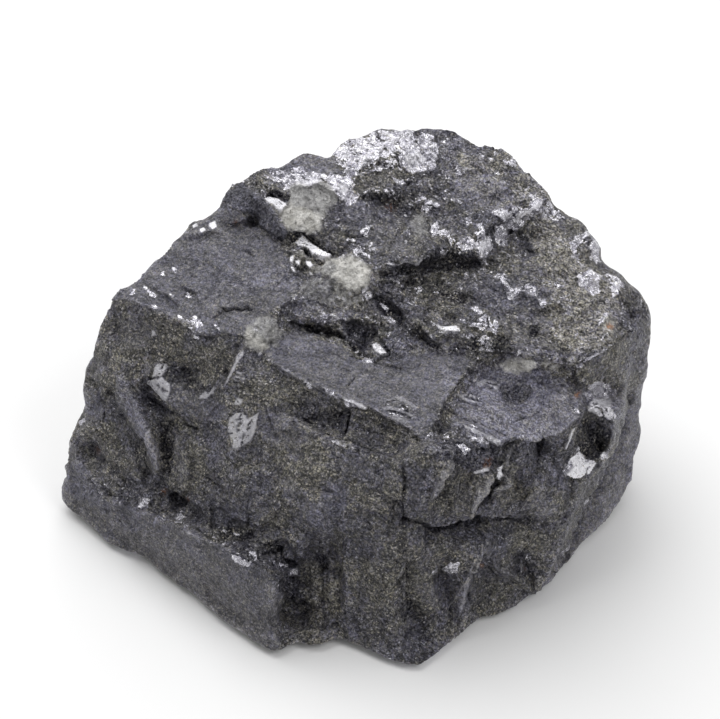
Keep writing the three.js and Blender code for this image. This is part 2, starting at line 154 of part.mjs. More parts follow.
// ------------------------------------------------------------- facet tables
// Three corner numbers a facet, counter-clockwise seen from outside.
const FACETS_FRONT_AND_TOP = [
  465,467,468, 566,567,556, 196,202,226, 203,212,204, 322,403,323, 322,347,403, 69,421,447, 69,68,421, 67,323,68, 312,310,318, 69,447,70, 72,71,448, 465,468,466, 92,91,469,
  92,469,93, 468,93,469, 459,466,469, 468,469,466, 567,578,579, 566,578,567, 465,464,467, 465,461,464, 467,464,586, 543,461,462, 465,462,461, 468,94,93, 95,94,467, 467,94,468,
  99,98,585, 586,585,98, 477,518,519, 523,519,520, 87,402,88, 400,89,88, 400,88,402, 400,394,459, 389,383,388, 271,268,270, 267,270,268, 538,488,487, 523,536,484, 485,484,536,
  212,479,480, 485,480,479, 485,479,484, 476,484,479, 271,270,275, 273,226,225, 206,223,225, 206,225,202, 202,225,226, 196,195,202, 206,218,221, 455,456,380, 457,386,380, 457,380,456,
  107,573,108, 573,109,108, 573,572,109, 109,572,110, 111,110,572, 111,572,112, 560,576,569, 118,569,576, 562,553,531, 506,508,505, 506,505,515, 517,522,521, 520,521,522, 518,521,519,
  520,519,521, 173,178,171, 136,137,134, 145,137,138, 160,31,159, 30,159,31, 158,159,28, 12,496,489, 490,489,496, 122,489,490, 122,490,123, 135,130,123, 491,123,490, 491,124,123,
  135,123,124, 312,318,319, 322,323,319, 64,314,313, 297,310,298, 312,298,310, 47,256,48, 47,46,256, 254,255,256, 48,256,257, 255,257,256, 303,301,304, 303,304,56, 301,58,304,
  297,294,299, 335,330,334, 452,78,77, 345,321,328, 318,328,321, 322,319,321, 318,321,319, 403,347,404, 378,404,347, 421,68,419, 323,419,68, 367,385,371, 411,410,371, 318,310,327,
  318,327,328, 310,309,327, 378,372,379, 372,373,379, 160,162,161, 262,261,268, 267,268,261, 246,241,240, 242,241,247, 246,247,241, 162,232,161, 246,240,239, 400,459,460, 459,469,460,
  400,460,89, 90,89,460, 90,460,91, 91,460,469, 586,464,472, 543,462,544, 543,544,548, 457,544,463, 462,463,544, 465,466,463, 465,463,462, 567,579,568, 567,582,556, 567,568,582,
  475,582,568, 485,536,537, 546,537,536, 538,537,548, 546,548,537, 101,587,102, 99,585,100, 101,100,587, 585,587,100, 586,98,97, 136,139,137, 138,137,139, 173,181,178, 173,180,181,
  203,198,210, 209,210,198, 477,478,209, 209,478,210, 476,210,478, 517,521,516, 518,516,521, 392,398,395, 392,395,388, 389,388,395, 459,394,401, 354,355,357, 244,179,250, 170,175,179,
  250,179,175, 267,266,269, 273,270,269, 267,269,270, 485,486,480, 487,480,486, 538,487,486, 538,486,537, 485,537,486, 212,213,204, 212,480,213, 538,539,488, 538,548,539, 548,544,539,
  523,483,519, 523,484,483, 477,519,483, 477,483,478, 476,483,484, 476,478,483, 203,211,212, 203,210,211, 212,211,479, 476,479,211, 476,211,210, 273,274,270, 270,274,275, 273,225,274,
  223,274,225, 455,349,454, 482,488,454, 455,454,539, 488,539,454, 354,350,351, 350,349,351, 354,351,355, 206,221,220, 206,220,223, 482,217,216, 218,222,221, 218,216,222, 217,222,216,
  0,120,576, 118,117,569, 562,570,580, 112,572,571, 12,11,496, 491,490,498, 508,497,505, 508,498,497, 490,496,497, 490,497,498, 560,559,576, 526,4,3, 9,8,505, 505,8,515,
  525,515,524, 178,174,171, 170,171,174, 170,174,175, 173,171,172, 160,164,162, 149,152,148, 26,148,152, 145,150,149, 145,151,150, 158,28,27, 30,29,159, 28,159,29, 122,16,121,
  15,121,16, 18,17,130, 12,489,13, 491,492,124, 312,320,313, 312,319,320, 64,313,320, 64,320,65, 66,65,320, 323,320,319, 66,320,67, 67,320,323, 63,315,64, 64,315,314,
  301,294,295, 297,298,295, 297,295,294, 298,296,295, 254,44,43, 46,45,256, 254,45,44, 254,256,45, 262,268,263, 262,248,247, 242,247,248, 242,248,283, 303,54,288, 255,278,257,
  60,59,305, 56,304,57, 58,57,304, 301,300,294, 303,300,301, 334,229,339, 221,229,220, 338,339,229, 338,229,222, 221,222,229, 74,450,75, 72,448,449, 72,449,73, 74,73,449,
  74,449,450, 75,451,76, 451,77,76, 411,436,410, 410,436,435, 389,397,390, 367,384,385, 367,365,384, 383,384,365, 378,347,346, 378,346,372, 322,346,347, 322,321,346, 345,372,346,
  345,346,321, 421,419,422, 378,422,404, 378,424,422, 297,299,311, 297,311,310, 310,311,309, 299,308,311, 309,311,308, 361,365,364, 367,366,364, 367,364,365, 335,341,342, 410,409,376,
  376,409,408, 367,369,366, 367,371,369, 410,376,375, 410,375,371, 371,375,369, 447,453,70, 71,70,453, 71,453,448, 406,405,379, 378,405,424, 378,379,405, 377,407,373, 373,407,379,
  406,379,407, 160,32,31, 160,161,32, 246,251,247, 262,247,251, 262,251,261, 242,258,241, 254,43,235, 42,235,43, 39,235,40, 35,161,231, 161,232,231, 246,239,245, 246,245,251,
  579,575,584, 584,575,587, 104,575,105, 104,103,575, 102,575,103, 102,587,575, 579,578,574, 579,574,575, 107,106,574, 105,574,106, 105,575,574, 107,574,573, 573,574,578, 586,473,585,
  586,472,473, 470,473,472, 585,473,587, 470,584,473, 584,587,473, 475,472,474, 461,474,464, 464,474,472, 579,583,568, 470,583,584, 579,584,583, 475,568,583, 470,472,583, 475,583,472,
  556,541,540, 540,541,549, 546,536,541, 536,549,541, 523,535,536, 536,535,549, 523,520,535, 520,522,535, 540,549,535, 467,586,96, 586,97,96, 95,467,96, 138,139,140, 173,140,180,
  173,172,140, 138,140,172, 209,198,197, 203,200,199, 203,199,198, 193,199,200, 501,516,502, 501,514,516, 501,500,514, 517,516,514, 188,128,189, 188,189,197, 84,398,85, 398,86,85,
  398,393,86, 87,393,402, 87,86,393, 400,402,393, 400,393,394, 392,393,398, 392,394,393, 84,399,398, 398,399,395, 84,83,399, 383,365,362, 361,360,362, 361,362,365, 457,458,386,
  386,458,401, 457,463,458, 459,401,458, 459,458,466, 466,458,463, 383,382,388, 170,179,169, 170,169,171, 266,272,269, 196,226,272, 273,272,226, 273,269,272, 196,194,195, 196,187,194,
  193,200,194, 193,194,187, 202,204,205, 206,202,205, 206,205,218, 544,545,539, 457,456,545, 457,545,544, 455,545,456, 455,539,545, 275,224,219, 223,224,274, 275,274,224, 223,220,224,
  219,224,220, 349,348,454, 350,348,349, 482,348,217, 482,454,348, 355,351,352, 455,380,352, 455,352,349, 349,352,351, 334,330,228, 334,228,229, 220,229,228, 227,219,228, 219,220,228,
  482,481,488, 487,488,481, 487,481,480, 480,481,213, 218,215,216, 213,481,215, 482,216,215, 482,215,481, 217,230,222, 350,230,348, 217,348,230, 338,230,350, 338,222,230, 573,577,572,
  572,577,565, 566,565,577, 566,577,578, 573,578,577, 540,547,555, 556,540,555, 566,556,555, 566,555,565, 572,565,564, 572,564,571, 565,555,564, 554,564,547, 547,564,555, 118,576,119,
  576,120,119, 560,551,550, 560,550,559, 526,559,550, 116,581,117, 569,117,581, 560,569,561, 560,561,551, 569,581,561, 570,561,581, 562,561,570, 580,114,571, 580,571,563, 562,563,553,
  562,580,563, 571,564,563, 554,553,563, 554,563,564, 506,515,528, 525,528,515, 496,504,497, 505,497,504, 9,505,504, 508,511,498, 501,499,500, 491,498,499, 500,499,511, 498,511,499,
  491,499,492, 501,492,499, 526,558,559, 2,558,3, 526,3,558, 2,1,558, 576,559,558, 0,558,1, 0,576,558, 525,524,5, 6,5,524, 525,5,526, 526,5,4, 515,8,7,
  515,7,524, 6,524,7, 160,159,163, 160,163,164, 158,163,159, 166,164,163, 149,148,144, 145,156,137, 137,156,133, 133,156,144, 145,149,156, 149,144,156, 22,21,133, 18,131,19,
  18,130,131, 134,137,131, 135,134,131, 135,131,130, 138,172,146, 145,138,146, 145,146,151, 171,169,168, 166,168,169, 151,146,168, 171,168,172, 172,168,146, 158,27,157, 26,152,157,
  26,157,27, 15,14,121, 489,14,13, 122,14,489, 122,121,14, 130,129,123, 130,17,129, 122,123,129, 122,129,16, 16,129,17, 60,305,61, 314,315,316, 313,314,316, 305,296,316,
  305,316,61, 295,296,302, 301,302,58, 301,295,302, 58,302,59, 305,302,296, 305,59,302, 283,248,252, 262,263,252, 262,252,248, 303,56,55, 303,55,54, 281,288,53, 288,54,53,
  281,53,52, 286,282,285, 283,285,282, 257,278,277, 257,277,50, 303,290,300, 299,294,293, 294,300,293, 299,293,306, 410,435,434, 410,434,409, 385,413,412, 411,371,412, 385,412,371,
  452,77,441, 451,441,77, 81,80,418, 81,418,397, 390,417,416, 390,397,417, 80,79,417, 416,417,79, 80,417,418, 397,418,417, 389,395,396, 389,396,397, 395,399,396, 390,391,384,
  385,384,391, 390,416,391, 419,420,422, 403,420,323, 323,420,419, 403,404,420, 404,422,420, 227,228,329, 330,329,228, 354,357,356, 361,356,360, 360,356,357, 342,363,364, 342,341,363,
  361,364,363, 448,427,429, 448,429,449, 431,449,429, 369,375,368, 366,369,368, 366,368,364, 342,364,368, 342,368,343, 376,374,375, 377,373,374, 372,374,373, 377,374,408, 376,408,374,
  309,326,327, 342,343,336, 335,342,336, 447,423,453, 424,453,423, 447,421,423, 421,422,423, 424,423,422, 424,425,453, 424,405,425, 448,425,427, 448,453,425, 161,33,32, 261,251,249,
  251,245,249, 244,250,249, 244,249,245, 254,253,255, 255,253,258, 254,235,253, 240,241,253, 241,258,253, 42,41,235, 40,235,41, 240,253,237, 235,237,253, 240,237,239, 239,237,236,
  232,236,237, 239,236,238, 244,245,238, 239,238,245, 162,238,232, 232,238,236, 461,471,474, 475,474,471, 543,471,461, 556,582,557, 556,557,541, 475,557,582, 475,471,557, 540,534,547,
  540,535,534, 533,534,522, 522,534,535, 139,142,140, 180,140,142, 198,191,197, 193,185,192, 193,192,199, 198,199,192, 198,192,191, 518,503,516, 516,503,502, 477,503,518, 517,514,512,
  500,512,514, 500,511,512, 136,134,127, 134,126,127, 134,125,126, 135,125,134, 135,124,125, 124,492,125, 492,126,125, 492,493,126, 501,493,492, 501,502,493, 126,493,127, 357,355,358,
  355,382,358, 360,357,358, 360,358,362, 383,362,358, 383,358,382, 388,382,387, 386,401,387, 392,388,387, 392,387,394, 394,387,401, 179,167,169, 166,167,164, 166,169,167, 244,167,179,
  244,238,167, 162,164,167, 162,167,238, 196,272,265, 266,265,272, 196,265,187, 195,194,201, 202,201,204, 202,195,201, 200,201,194, 203,204,201, 203,201,200, 178,181,182, 181,185,182,
  250,175,176, 250,176,259, 204,213,214, 204,214,205, 213,215,214, 218,205,214, 218,214,215, 275,219,276, 271,275,276, 227,307,219, 219,307,276, 306,276,307, 299,307,308, 299,306,307,
  562,552,561, 551,561,552, 562,531,552, 531,530,552, 510,530,513, 517,513,522, 533,522,513, 517,512,513, 510,513,512, 580,570,115, 580,115,114, 570,581,115, 116,115,581, 112,571,113,
  571,114,113, 551,527,550, 525,527,528, 525,526,527, 526,550,527, 496,11,10, 496,10,504, 9,504,10, 158,153,163, 149,153,152, 158,157,153, 152,153,157, 166,163,165, 151,165,150,
  22,133,143, 133,144,143, 148,143,144, 148,147,143, 22,143,23, 23,143,147, 137,133,132, 137,132,131, 133,21,132, 23,147,24, 26,25,148, 148,25,147, 147,25,24, 313,316,317,
  312,313,317, 312,317,298, 298,317,296, 296,317,316, 315,62,316, 61,316,62, 63,62,315, 263,284,252, 283,284,285, 283,252,284, 48,257,49, 257,50,49, 278,243,282, 242,243,258,
  242,283,243, 283,282,243, 255,243,278, 255,258,243, 278,282,279, 278,279,277, 286,279,282, 281,280,288, 277,279,280, 50,277,51, 281,52,51, 281,51,280, 277,280,51, 303,288,287,
  303,287,290, 286,290,287, 288,280,287, 286,287,279, 279,287,280, 263,289,284, 285,284,289, 286,285,289, 286,289,290, 300,290,289, 450,449,433, 435,450,433, 435,433,434, 431,433,449,
  409,434,433, 451,439,441, 385,414,413, 385,391,414, 78,445,79, 452,443,78, 78,443,445, 444,445,443, 399,82,396, 83,82,399, 81,397,82, 397,396,82, 416,415,391, 444,415,445,
  444,414,415, 391,415,414, 333,326,325, 309,308,325, 309,325,326, 354,353,350, 354,356,353, 338,350,353, 338,353,339, 341,359,363, 361,359,356, 361,363,359, 377,408,430, 377,430,429,
  431,430,408, 431,429,430, 377,428,407, 377,429,428, 427,428,429, 406,407,428, 375,370,368, 375,374,370, 345,370,372, 372,370,374, 333,337,326, 333,336,337, 328,327,337, 327,326,337,
  345,328,337, 406,426,405, 405,426,425, 427,425,426, 406,428,426, 427,426,428, 35,34,161, 161,34,33, 261,249,260, 267,260,266, 267,261,260, 266,260,259, 250,259,260, 250,260,249,
  39,234,235, 235,234,237, 39,38,234, 546,541,542, 541,557,542, 543,548,542, 546,542,548, 543,542,471, 471,542,557, 197,191,190, 188,197,190, 180,142,190, 188,190,142, 191,192,184,
  180,184,181, 181,184,185, 185,184,192, 180,190,184, 191,184,190, 477,495,503, 511,509,512, 506,509,508, 508,509,511, 510,512,509, 136,127,141, 128,141,127, 136,141,139, 139,141,142,
  188,141,128, 188,142,141, 355,381,382, 382,381,387, 380,381,352, 355,352,381, 386,381,380, 386,387,381, 259,176,264, 183,264,176, 266,259,264, 266,264,265, 187,264,183, 187,265,264,
  187,183,186, 183,182,186, 193,187,186, 193,186,185, 185,186,182, 183,177,182, 183,176,177, 175,177,176, 178,182,177, 178,177,174, 175,174,177, 306,293,292, 306,292,276, 271,276,292,
  271,292,268, 268,292,263, 227,329,324, 227,324,307, 308,307,324, 308,324,325, 329,325,324, 551,552,529, 530,529,552, 510,529,530, 551,529,527, 531,532,530, 530,532,513, 533,513,532,
  533,532,534, 554,532,553, 553,532,531, 554,547,532, 547,534,532, 528,527,507, 510,509,507, 510,507,529, 527,529,507, 506,528,507, 506,507,509, 166,155,168, 166,165,155, 151,168,155,
  151,155,165, 163,153,154, 163,154,165, 150,165,154, 149,150,154, 149,154,153, 21,20,132, 19,131,20, 131,132,20, 300,291,293, 300,289,291, 293,291,292, 263,291,289, 263,292,291,
  431,432,433, 409,433,432, 431,408,432, 408,409,432, 451,437,439, 75,437,451, 435,436,437, 75,450,437, 435,437,450, 411,437,436, 413,440,412, 441,439,440, 413,414,442, 413,442,440,
  441,440,442, 452,441,442, 452,442,443, 444,442,414, 444,443,442, 416,79,446, 79,445,446, 416,446,415, 445,415,446, 329,331,325, 335,331,330, 330,331,329, 356,340,353, 341,340,359,
  356,359,340, 339,353,340, 334,339,340, 335,334,340, 335,340,341, 345,344,370, 345,337,344, 336,344,337, 343,344,336, 343,368,344, 368,370,344, 37,233,38, 38,233,234, 237,234,233,
  37,36,233, 232,233,231, 232,237,233, 35,231,233, 35,233,36, 477,208,495, 477,209,208, 209,197,208, 197,189,208, 502,503,494, 503,495,494, 502,494,493, 127,493,494, 128,127,494,
  128,494,495, 412,440,438, 411,412,438, 411,438,437, 439,437,438, 439,438,440, 335,332,331, 335,336,332, 333,332,336, 333,325,332, 325,331,332, 189,207,208, 495,208,207, 128,207,189,
  128,495,207, 389,390,384, 389,384,383,
];
const FACETS_BACK = [
  1,588,0, 45,46,47, 602,764,603, 764,72,603, 41,39,40, 603,73,74, 72,73,603, 636,593,592, 593,636,644, 1,604,588, 604,1,2, 723,44,45, 723,45,47, 44,723,43,
  38,691,37, 71,72,764, 692,596,595, 684,692,595, 758,602,601, 602,758,764, 19,20,635, 20,21,635, 628,19,635, 629,636,592, 604,589,588, 590,608,615, 589,608,590, 608,589,604,
  14,614,13, 16,614,15, 614,14,15, 614,12,13, 691,36,37, 36,691,35, 715,42,43, 723,715,43, 715,41,42, 41,715,39, 715,723,714, 723,722,714, 722,713,714, 683,682,675,
  693,684,685, 693,692,684, 594,668,595, 668,594,660, 29,659,28, 636,645,644, 637,645,636, 646,645,638, 645,637,638, 655,646,647, 656,655,647, 598,724,599, 758,765,764, 70,765,69,
  765,71,764, 71,765,70, 745,600,599, 745,746,753, 763,62,63, 60,763,59, 763,60,61, 62,763,61, 719,711,720, 628,18,19, 591,629,592, 608,609,615, 17,621,16, 621,614,16,
  18,621,17, 621,18,628, 614,621,620, 621,627,620, 621,628,627, 613,12,614, 612,613,620, 613,614,620, 11,613,612, 613,11,12, 619,612,620, 619,618,612, 627,619,620, 35,33,34,
  32,33,675, 33,683,675, 691,33,35, 683,33,691, 48,723,47, 699,38,39, 699,691,38, 696,681,697, 681,696,688, 692,700,596, 700,597,596, 597,700,708, 708,709,717, 709,718,717,
  676,684,595, 668,676,595, 661,668,660, 652,594,593, 652,593,644, 594,652,660, 645,652,644, 652,661,660, 632,631,624, 619,626,618, 626,619,627, 639,646,638, 646,639,647, 631,639,638,
  639,631,632, 639,632,633, 641,634,635, 634,628,635, 628,634,627, 634,626,627, 626,634,633, 21,643,635, 643,25,26, 640,639,633, 634,640,633, 640,634,641, 666,674,673, 674,681,673,
  682,674,675, 674,667,675, 667,674,666, 659,667,658, 667,666,658, 667,32,675, 667,31,32, 31,667,30, 667,29,30, 667,659,29, 666,657,658, 649,657,656, 629,630,636, 630,637,636,
  637,630,638, 630,631,638, 686,687,695, 687,696,695, 696,687,688, 702,694,695, 694,686,695, 694,693,685, 686,694,685, 724,731,599, 731,724,732, 724,725,732, 725,724,717, 718,725,717,
  716,724,598, 597,716,598, 716,597,708, 716,708,717, 724,716,717, 759,765,758, 600,752,601, 752,758,601, 752,600,745, 752,745,753, 759,752,753, 752,759,758, 767,67,68, 67,767,66,
  762,767,761, 703,702,695, 703,711,702, 696,703,695, 718,710,719, 710,711,719, 711,710,702, 710,709,702, 709,710,718, 622,591,590, 622,590,615, 591,622,629, 609,616,615, 616,622,615,
  618,611,612, 3,604,2, 605,608,604, 605,609,608, 715,707,39, 707,699,39, 707,715,714, 707,698,699, 698,683,691, 699,698,691, 704,696,697, 704,703,696, 681,689,697, 689,674,682,
  674,689,681, 693,701,692, 701,700,692, 694,701,693, 700,701,708, 701,709,708, 709,701,702, 701,694,702, 661,669,668, 654,645,646, 655,654,646, 626,625,618, 625,632,624, 632,625,633,
  625,626,633, 25,23,24, 680,681,688, 672,680,688, 681,680,673, 680,672,673, 657,650,658, 650,657,649, 648,656,647, 648,649,656, 639,648,647, 640,648,639, 648,640,641, 649,648,641,
  665,657,666, 665,666,673, 672,665,673, 679,687,686, 672,679,671, 679,672,688, 687,679,688, 738,745,599, 731,738,599, 754,759,753, 746,754,753, 765,766,69, 767,766,761, 69,766,68,
  766,767,68, 762,768,767, 767,768,66, 768,65,66, 65,768,64, 768,762,763, 64,768,63, 768,763,63, 737,50,51, 617,616,609, 617,625,624, 625,617,618, 631,623,624, 630,623,631,
  623,617,624, 617,623,616, 616,623,622, 623,630,629, 622,623,629, 611,607,612, 11,607,10, 607,11,612, 605,4,5, 3,4,604, 4,605,604, 605,6,7, 6,605,5, 713,706,714,
  706,707,714, 706,698,707, 698,706,697, 705,704,697, 704,705,713, 706,705,697, 705,706,713, 712,704,713, 711,712,720, 703,712,711, 704,712,703, 690,689,682, 683,690,682, 698,690,683,
  690,698,697, 689,690,697, 677,676,668, 669,677,668, 684,677,685, 676,677,684, 679,678,671, 678,679,686, 678,677,669, 678,686,685, 677,678,685, 654,653,645, 653,654,661, 653,652,645,
  652,653,661, 663,654,655, 663,655,656, 643,22,25, 22,23,25, 22,643,21, 651,659,658, 650,651,658, 651,650,643, 651,643,26, 651,26,27, 28,651,27, 659,651,28, 642,649,641,
  642,650,649, 650,642,643, 642,641,635, 643,642,635, 657,664,656, 665,664,657, 664,663,656, 664,665,672, 664,672,671, 663,664,671, 739,746,745, 738,739,745, 739,731,732, 739,738,731,
  754,760,759, 759,760,765, 760,766,765, 766,760,761, 760,755,761, 760,754,755, 727,719,720, 740,739,732, 739,740,746, 52,737,51, 763,58,59, 57,757,751, 757,750,751, 757,58,763,
  58,757,57, 762,757,763, 56,57,751, 754,748,755, 750,744,751, 52,744,737, 50,730,49, 737,730,50, 48,730,723, 730,48,49, 730,722,723, 607,9,10, 605,606,609, 606,9,607,
  606,605,7, 654,662,661, 663,662,654, 662,663,671, 727,735,734, 726,718,719, 727,726,719, 726,725,718, 726,727,734, 747,754,746, 740,747,746, 747,748,754, 53,54,751, 744,53,751,
  53,744,52, 757,749,750, 54,55,751, 55,56,751, 743,744,750, 744,743,737, 749,743,750, 606,610,609, 610,617,609, 610,607,611, 610,606,607, 610,611,618, 617,610,618, 8,606,7,
  606,8,9, 670,669,661, 662,670,661, 670,678,669, 678,670,671, 670,662,671, 735,742,734, 742,749,748, 742,743,749, 733,726,734, 733,740,732, 725,733,732, 726,733,725, 748,756,755,
  749,756,748, 755,756,761, 756,762,761, 756,757,762, 756,749,757, 742,741,734, 741,742,748, 741,733,734, 733,741,740, 741,747,740, 747,741,748, 728,727,720, 728,735,727, 736,742,735,
  742,736,743, 728,736,735, 736,728,729, 743,736,737, 736,730,737, 736,729,730, 712,721,720, 721,712,713, 721,728,720, 728,721,729, 721,713,722, 730,721,722, 729,721,730,
];
const FACETS_UNDERSIDE = [
  794,795,787, 600,601,790, 794,789,795, 794,786,789, 592,789,591, 786,591,789, 795,788,787, 115,116,783, 790,791,598, 795,791,790, 795,789,791, 594,791,789, 592,593,789, 594,789,593,
  0,785,120, 0,588,785, 794,781,786, 786,781,782, 795,790,792, 795,792,788, 601,792,790, 601,602,792, 600,790,599, 790,598,599, 596,597,791, 598,791,597, 596,791,595, 594,595,791,
  116,784,783, 785,784,118, 602,603,792, 80,81,772, 787,788,774, 120,785,119, 785,118,119, 116,117,784, 118,784,117, 783,784,793, 786,782,793, 783,793,782, 590,591,793, 786,793,591,
  785,793,784, 783,782,113, 782,112,113, 97,98,778, 794,780,781, 794,787,780, 787,778,780, 107,780,106, 77,78,770, 788,772,773, 788,773,774, 787,774,776, 94,776,93, 93,776,92,
  788,792,771, 792,770,771, 788,771,772, 770,78,771, 80,772,771, 792,769,770, 74,769,603, 792,603,769, 588,589,785, 785,589,793, 590,793,589, 115,783,114, 783,113,114, 97,778,777,
  97,777,96, 787,777,778, 95,96,777, 787,776,777, 94,95,777, 94,777,776, 104,102,103, 781,780,108, 107,108,780, 782,781,111, 781,110,111, 782,111,112, 778,98,99, 92,776,775,
  90,775,89, 774,775,776, 80,771,79, 78,79,771, 74,75,769, 77,770,76, 770,769,76, 769,75,76, 781,109,110, 781,108,109, 106,780,779, 106,779,105, 778,779,780, 778,101,779,
  104,105,779, 104,779,102, 101,102,779, 778,100,101, 778,99,100, 772,81,82, 772,82,773, 773,82,83, 774,773,86, 90,91,775, 92,775,91, 773,83,84, 774,86,87, 773,85,86,
  773,84,85, 774,88,775, 774,87,88, 89,775,88,
];

// ------------------------------------------------------------------- relief
// Repeatable value noise on an integer lattice, in -1..1.
function lattice(i, j, k) {
  let h = Math.imul(i, 374761393) ^ Math.imul(j, 668265263) ^ Math.imul(k, 2147483647 - 1013904223);
  h = Math.imul(h ^ (h >>> 13), 1274126177);
  h = Math.imul(h ^ (h >>> 15), 2246822519);
  h ^= h >>> 16;
  return (h >>> 0) / 2147483647.5 - 1;
}
function noise(x, y, z) {
  const i = Math.floor(x), j = Math.floor(y), k = Math.floor(z);
  const f = x - i, g = y - j, h = z - k;
  const u = f * f * (3 - 2 * f), v = g * g * (3 - 2 * g), w = h * h * (3 - 2 * h);
  let s = 0;
  for (let c = 0; c < 8; c++) {
    const a = c & 1, b = (c >> 1) & 1, d = (c >> 2) & 1;
    s += (a ? u : 1 - u) * (b ? v : 1 - v) * (d ? w : 1 - w) * lattice(i + a, j + b, k + d);
  }
  return s;
}
function relief(p) {
  const s = 1 / RELIEF_SCALE;
  return 0.62 * noise(p.x * s, p.y * s, p.z * s)
       + 0.38 * noise(p.x * s * 2.3 + 17, p.y * s * 2.3 - 5, p.z * s * 2.3 + 9);
}

// -------------------------------------------------------------- lump builder
function galenaMass() {
  const scale = new THREE.Vector3(WIDTH_X / CAGE_SIZE[0], DEPTH_Y / CAGE_SIZE[1], HEIGHT_Z / CAGE_SIZE[2]);
  const corners = [];
  for (let i = 0; i < CORNERS.length; i += 3) {
    corners.push(new THREE.Vector3(CORNERS[i], CORNERS[i + 1], CORNERS[i + 2]).multiply(scale));
  }
  const facets = [...FACETS_FRONT_AND_TOP, ...FACETS_BACK, ...FACETS_UNDERSIDE];

  // outward direction at every corner, weighted by facet area
  const out = corners.map(() => new THREE.Vector3());
  const e1 = new THREE.Vector3(), e2 = new THREE.Vector3();
  for (let f = 0; f < facets.length; f += 3) {
    const [a, b, c] = [facets[f], facets[f + 1], facets[f + 2]];
    e1.subVectors(corners[b], corners[a]);
    e2.subVectors(corners[c], corners[a]);
    e1.cross(e2);
    for (const v of [a, b, c]) out[v].add(e1);
  }
  out.forEach((n) => n.normalize());

  // cut each facet in FACET_SPLIT squared smaller ones and share the points
  const points = [], index = [], known = new Map();
  const n = FACET_SPLIT;
  const pointOn = (tri, wa, wb, wc) => {
    const parts = [[tri[0], wa], [tri[1], wb], [tri[2], wc]].filter((q) => q[1] > 0).sort((p, q) => p[0] - q[0]);
    const key = parts.map((q) => q.join('x')).join('_');
    if (known.has(key)) return known.get(key);
    const p = new THREE.Vector3(), d = new THREE.Vector3();
    for (const [v, w] of parts) {
      p.addScaledVector(corners[v], w / n);
      d.addScaledVector(out[v], w / n);
    }
    if (p.z > 1e-6) {
      const hold = Math.min(1, p.z / FOOT_BAND);
      p.addScaledVector(d.normalize(), RELIEF * relief(p) * hold);
      p.z = Math.max(p.z, 0.15);
    }
    points.push(p.x, p.y, p.z);
    known.set(key, points.length / 3 - 1);
    return points.length / 3 - 1;
  };
  for (let f = 0; f < facets.length; f += 3) {
    const tri = [facets[f], facets[f + 1], facets[f + 2]];
    const at = (r, s) => pointOn(tri, n - r, r - s, s);
    for (let r = 0; r < n; r++) {
      for (let s = 0; s <= r; s++) {
        index.push(at(r, s), at(r + 1, s), at(r + 1, s + 1));
        if (s < r) index.push(at(r, s), at(r + 1, s + 1), at(r, s + 1));
      }
    }
  }

  const geometry = new THREE.BufferGeometry();
  geometry.setAttribute('position', new THREE.Float32BufferAttribute(points, 3));
  geometry.setIndex(index);
  // underside on Z = 0, middle of the box over the origin
  geometry.computeBoundingBox();
  const box = geometry.boundingBox;
  geometry.translate(-(box.min.x + box.max.x) / 2, -(box.min.y + box.max.y) / 2, -box.min.z);
  const shared = mergeVertices(geometry, 1e-4);
  shared.computeVertexNormals();
  return shared;
}

// ---------------------------------------------------------------- the object
const galena = new THREE.Mesh(
  galenaMass(),
  new THREE.MeshStandardMaterial({ name: 'galena', color: 0x55555a, metalness: 0.45, roughness: 0.5, flatShading: true }),
);
galena.name = 'galena_mass';

const group = new THREE.Group();
group.name = 'galena_specimen';
group.add(galena);

export default group;
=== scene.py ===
import math
import bpy
import numpy as np
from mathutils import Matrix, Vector
from mathutils.geometry import delaunay_2d_cdt


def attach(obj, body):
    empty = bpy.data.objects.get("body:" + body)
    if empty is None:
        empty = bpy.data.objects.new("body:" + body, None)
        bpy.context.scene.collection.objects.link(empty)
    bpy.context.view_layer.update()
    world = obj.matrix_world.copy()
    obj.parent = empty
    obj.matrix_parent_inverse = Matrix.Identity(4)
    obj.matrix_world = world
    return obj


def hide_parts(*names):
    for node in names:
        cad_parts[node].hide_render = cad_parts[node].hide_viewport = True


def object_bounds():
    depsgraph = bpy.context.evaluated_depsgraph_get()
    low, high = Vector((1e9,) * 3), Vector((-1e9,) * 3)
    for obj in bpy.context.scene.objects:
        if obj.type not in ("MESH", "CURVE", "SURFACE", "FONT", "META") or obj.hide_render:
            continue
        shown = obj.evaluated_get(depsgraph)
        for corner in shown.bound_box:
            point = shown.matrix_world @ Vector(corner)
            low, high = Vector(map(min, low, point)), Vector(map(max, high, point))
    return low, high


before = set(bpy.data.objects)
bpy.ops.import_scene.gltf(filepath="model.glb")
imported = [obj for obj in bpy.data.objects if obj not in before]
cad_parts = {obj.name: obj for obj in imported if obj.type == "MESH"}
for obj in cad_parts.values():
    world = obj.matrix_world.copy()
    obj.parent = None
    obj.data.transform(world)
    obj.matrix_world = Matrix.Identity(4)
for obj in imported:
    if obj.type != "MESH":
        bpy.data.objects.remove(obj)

CAD_LO, CAD_HI = [list(c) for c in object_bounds()]

# =====================================================================
# Numbers. Lengths in mm in this script, metres only on Blender objects.
# =====================================================================
# Camera of the reference view, in the row frame: looks down 40 degrees
# along +Y through a 100 mm lens on a 36 mm sensor, 720 x 719 pixels.
CAM = np.array([1.5539, -245.3881, 234.6601])
ELEV = math.radians(40.0)
F_PX = 2000.0
CX, CY = 360.0, 359.5
RIGHT = np.array([1.0, 0.0, 0.0])
UP = np.array([0.0, math.sin(ELEV), math.cos(ELEV)])
AHEAD = np.array([0.0, math.cos(ELEV), -math.sin(ELEV)])

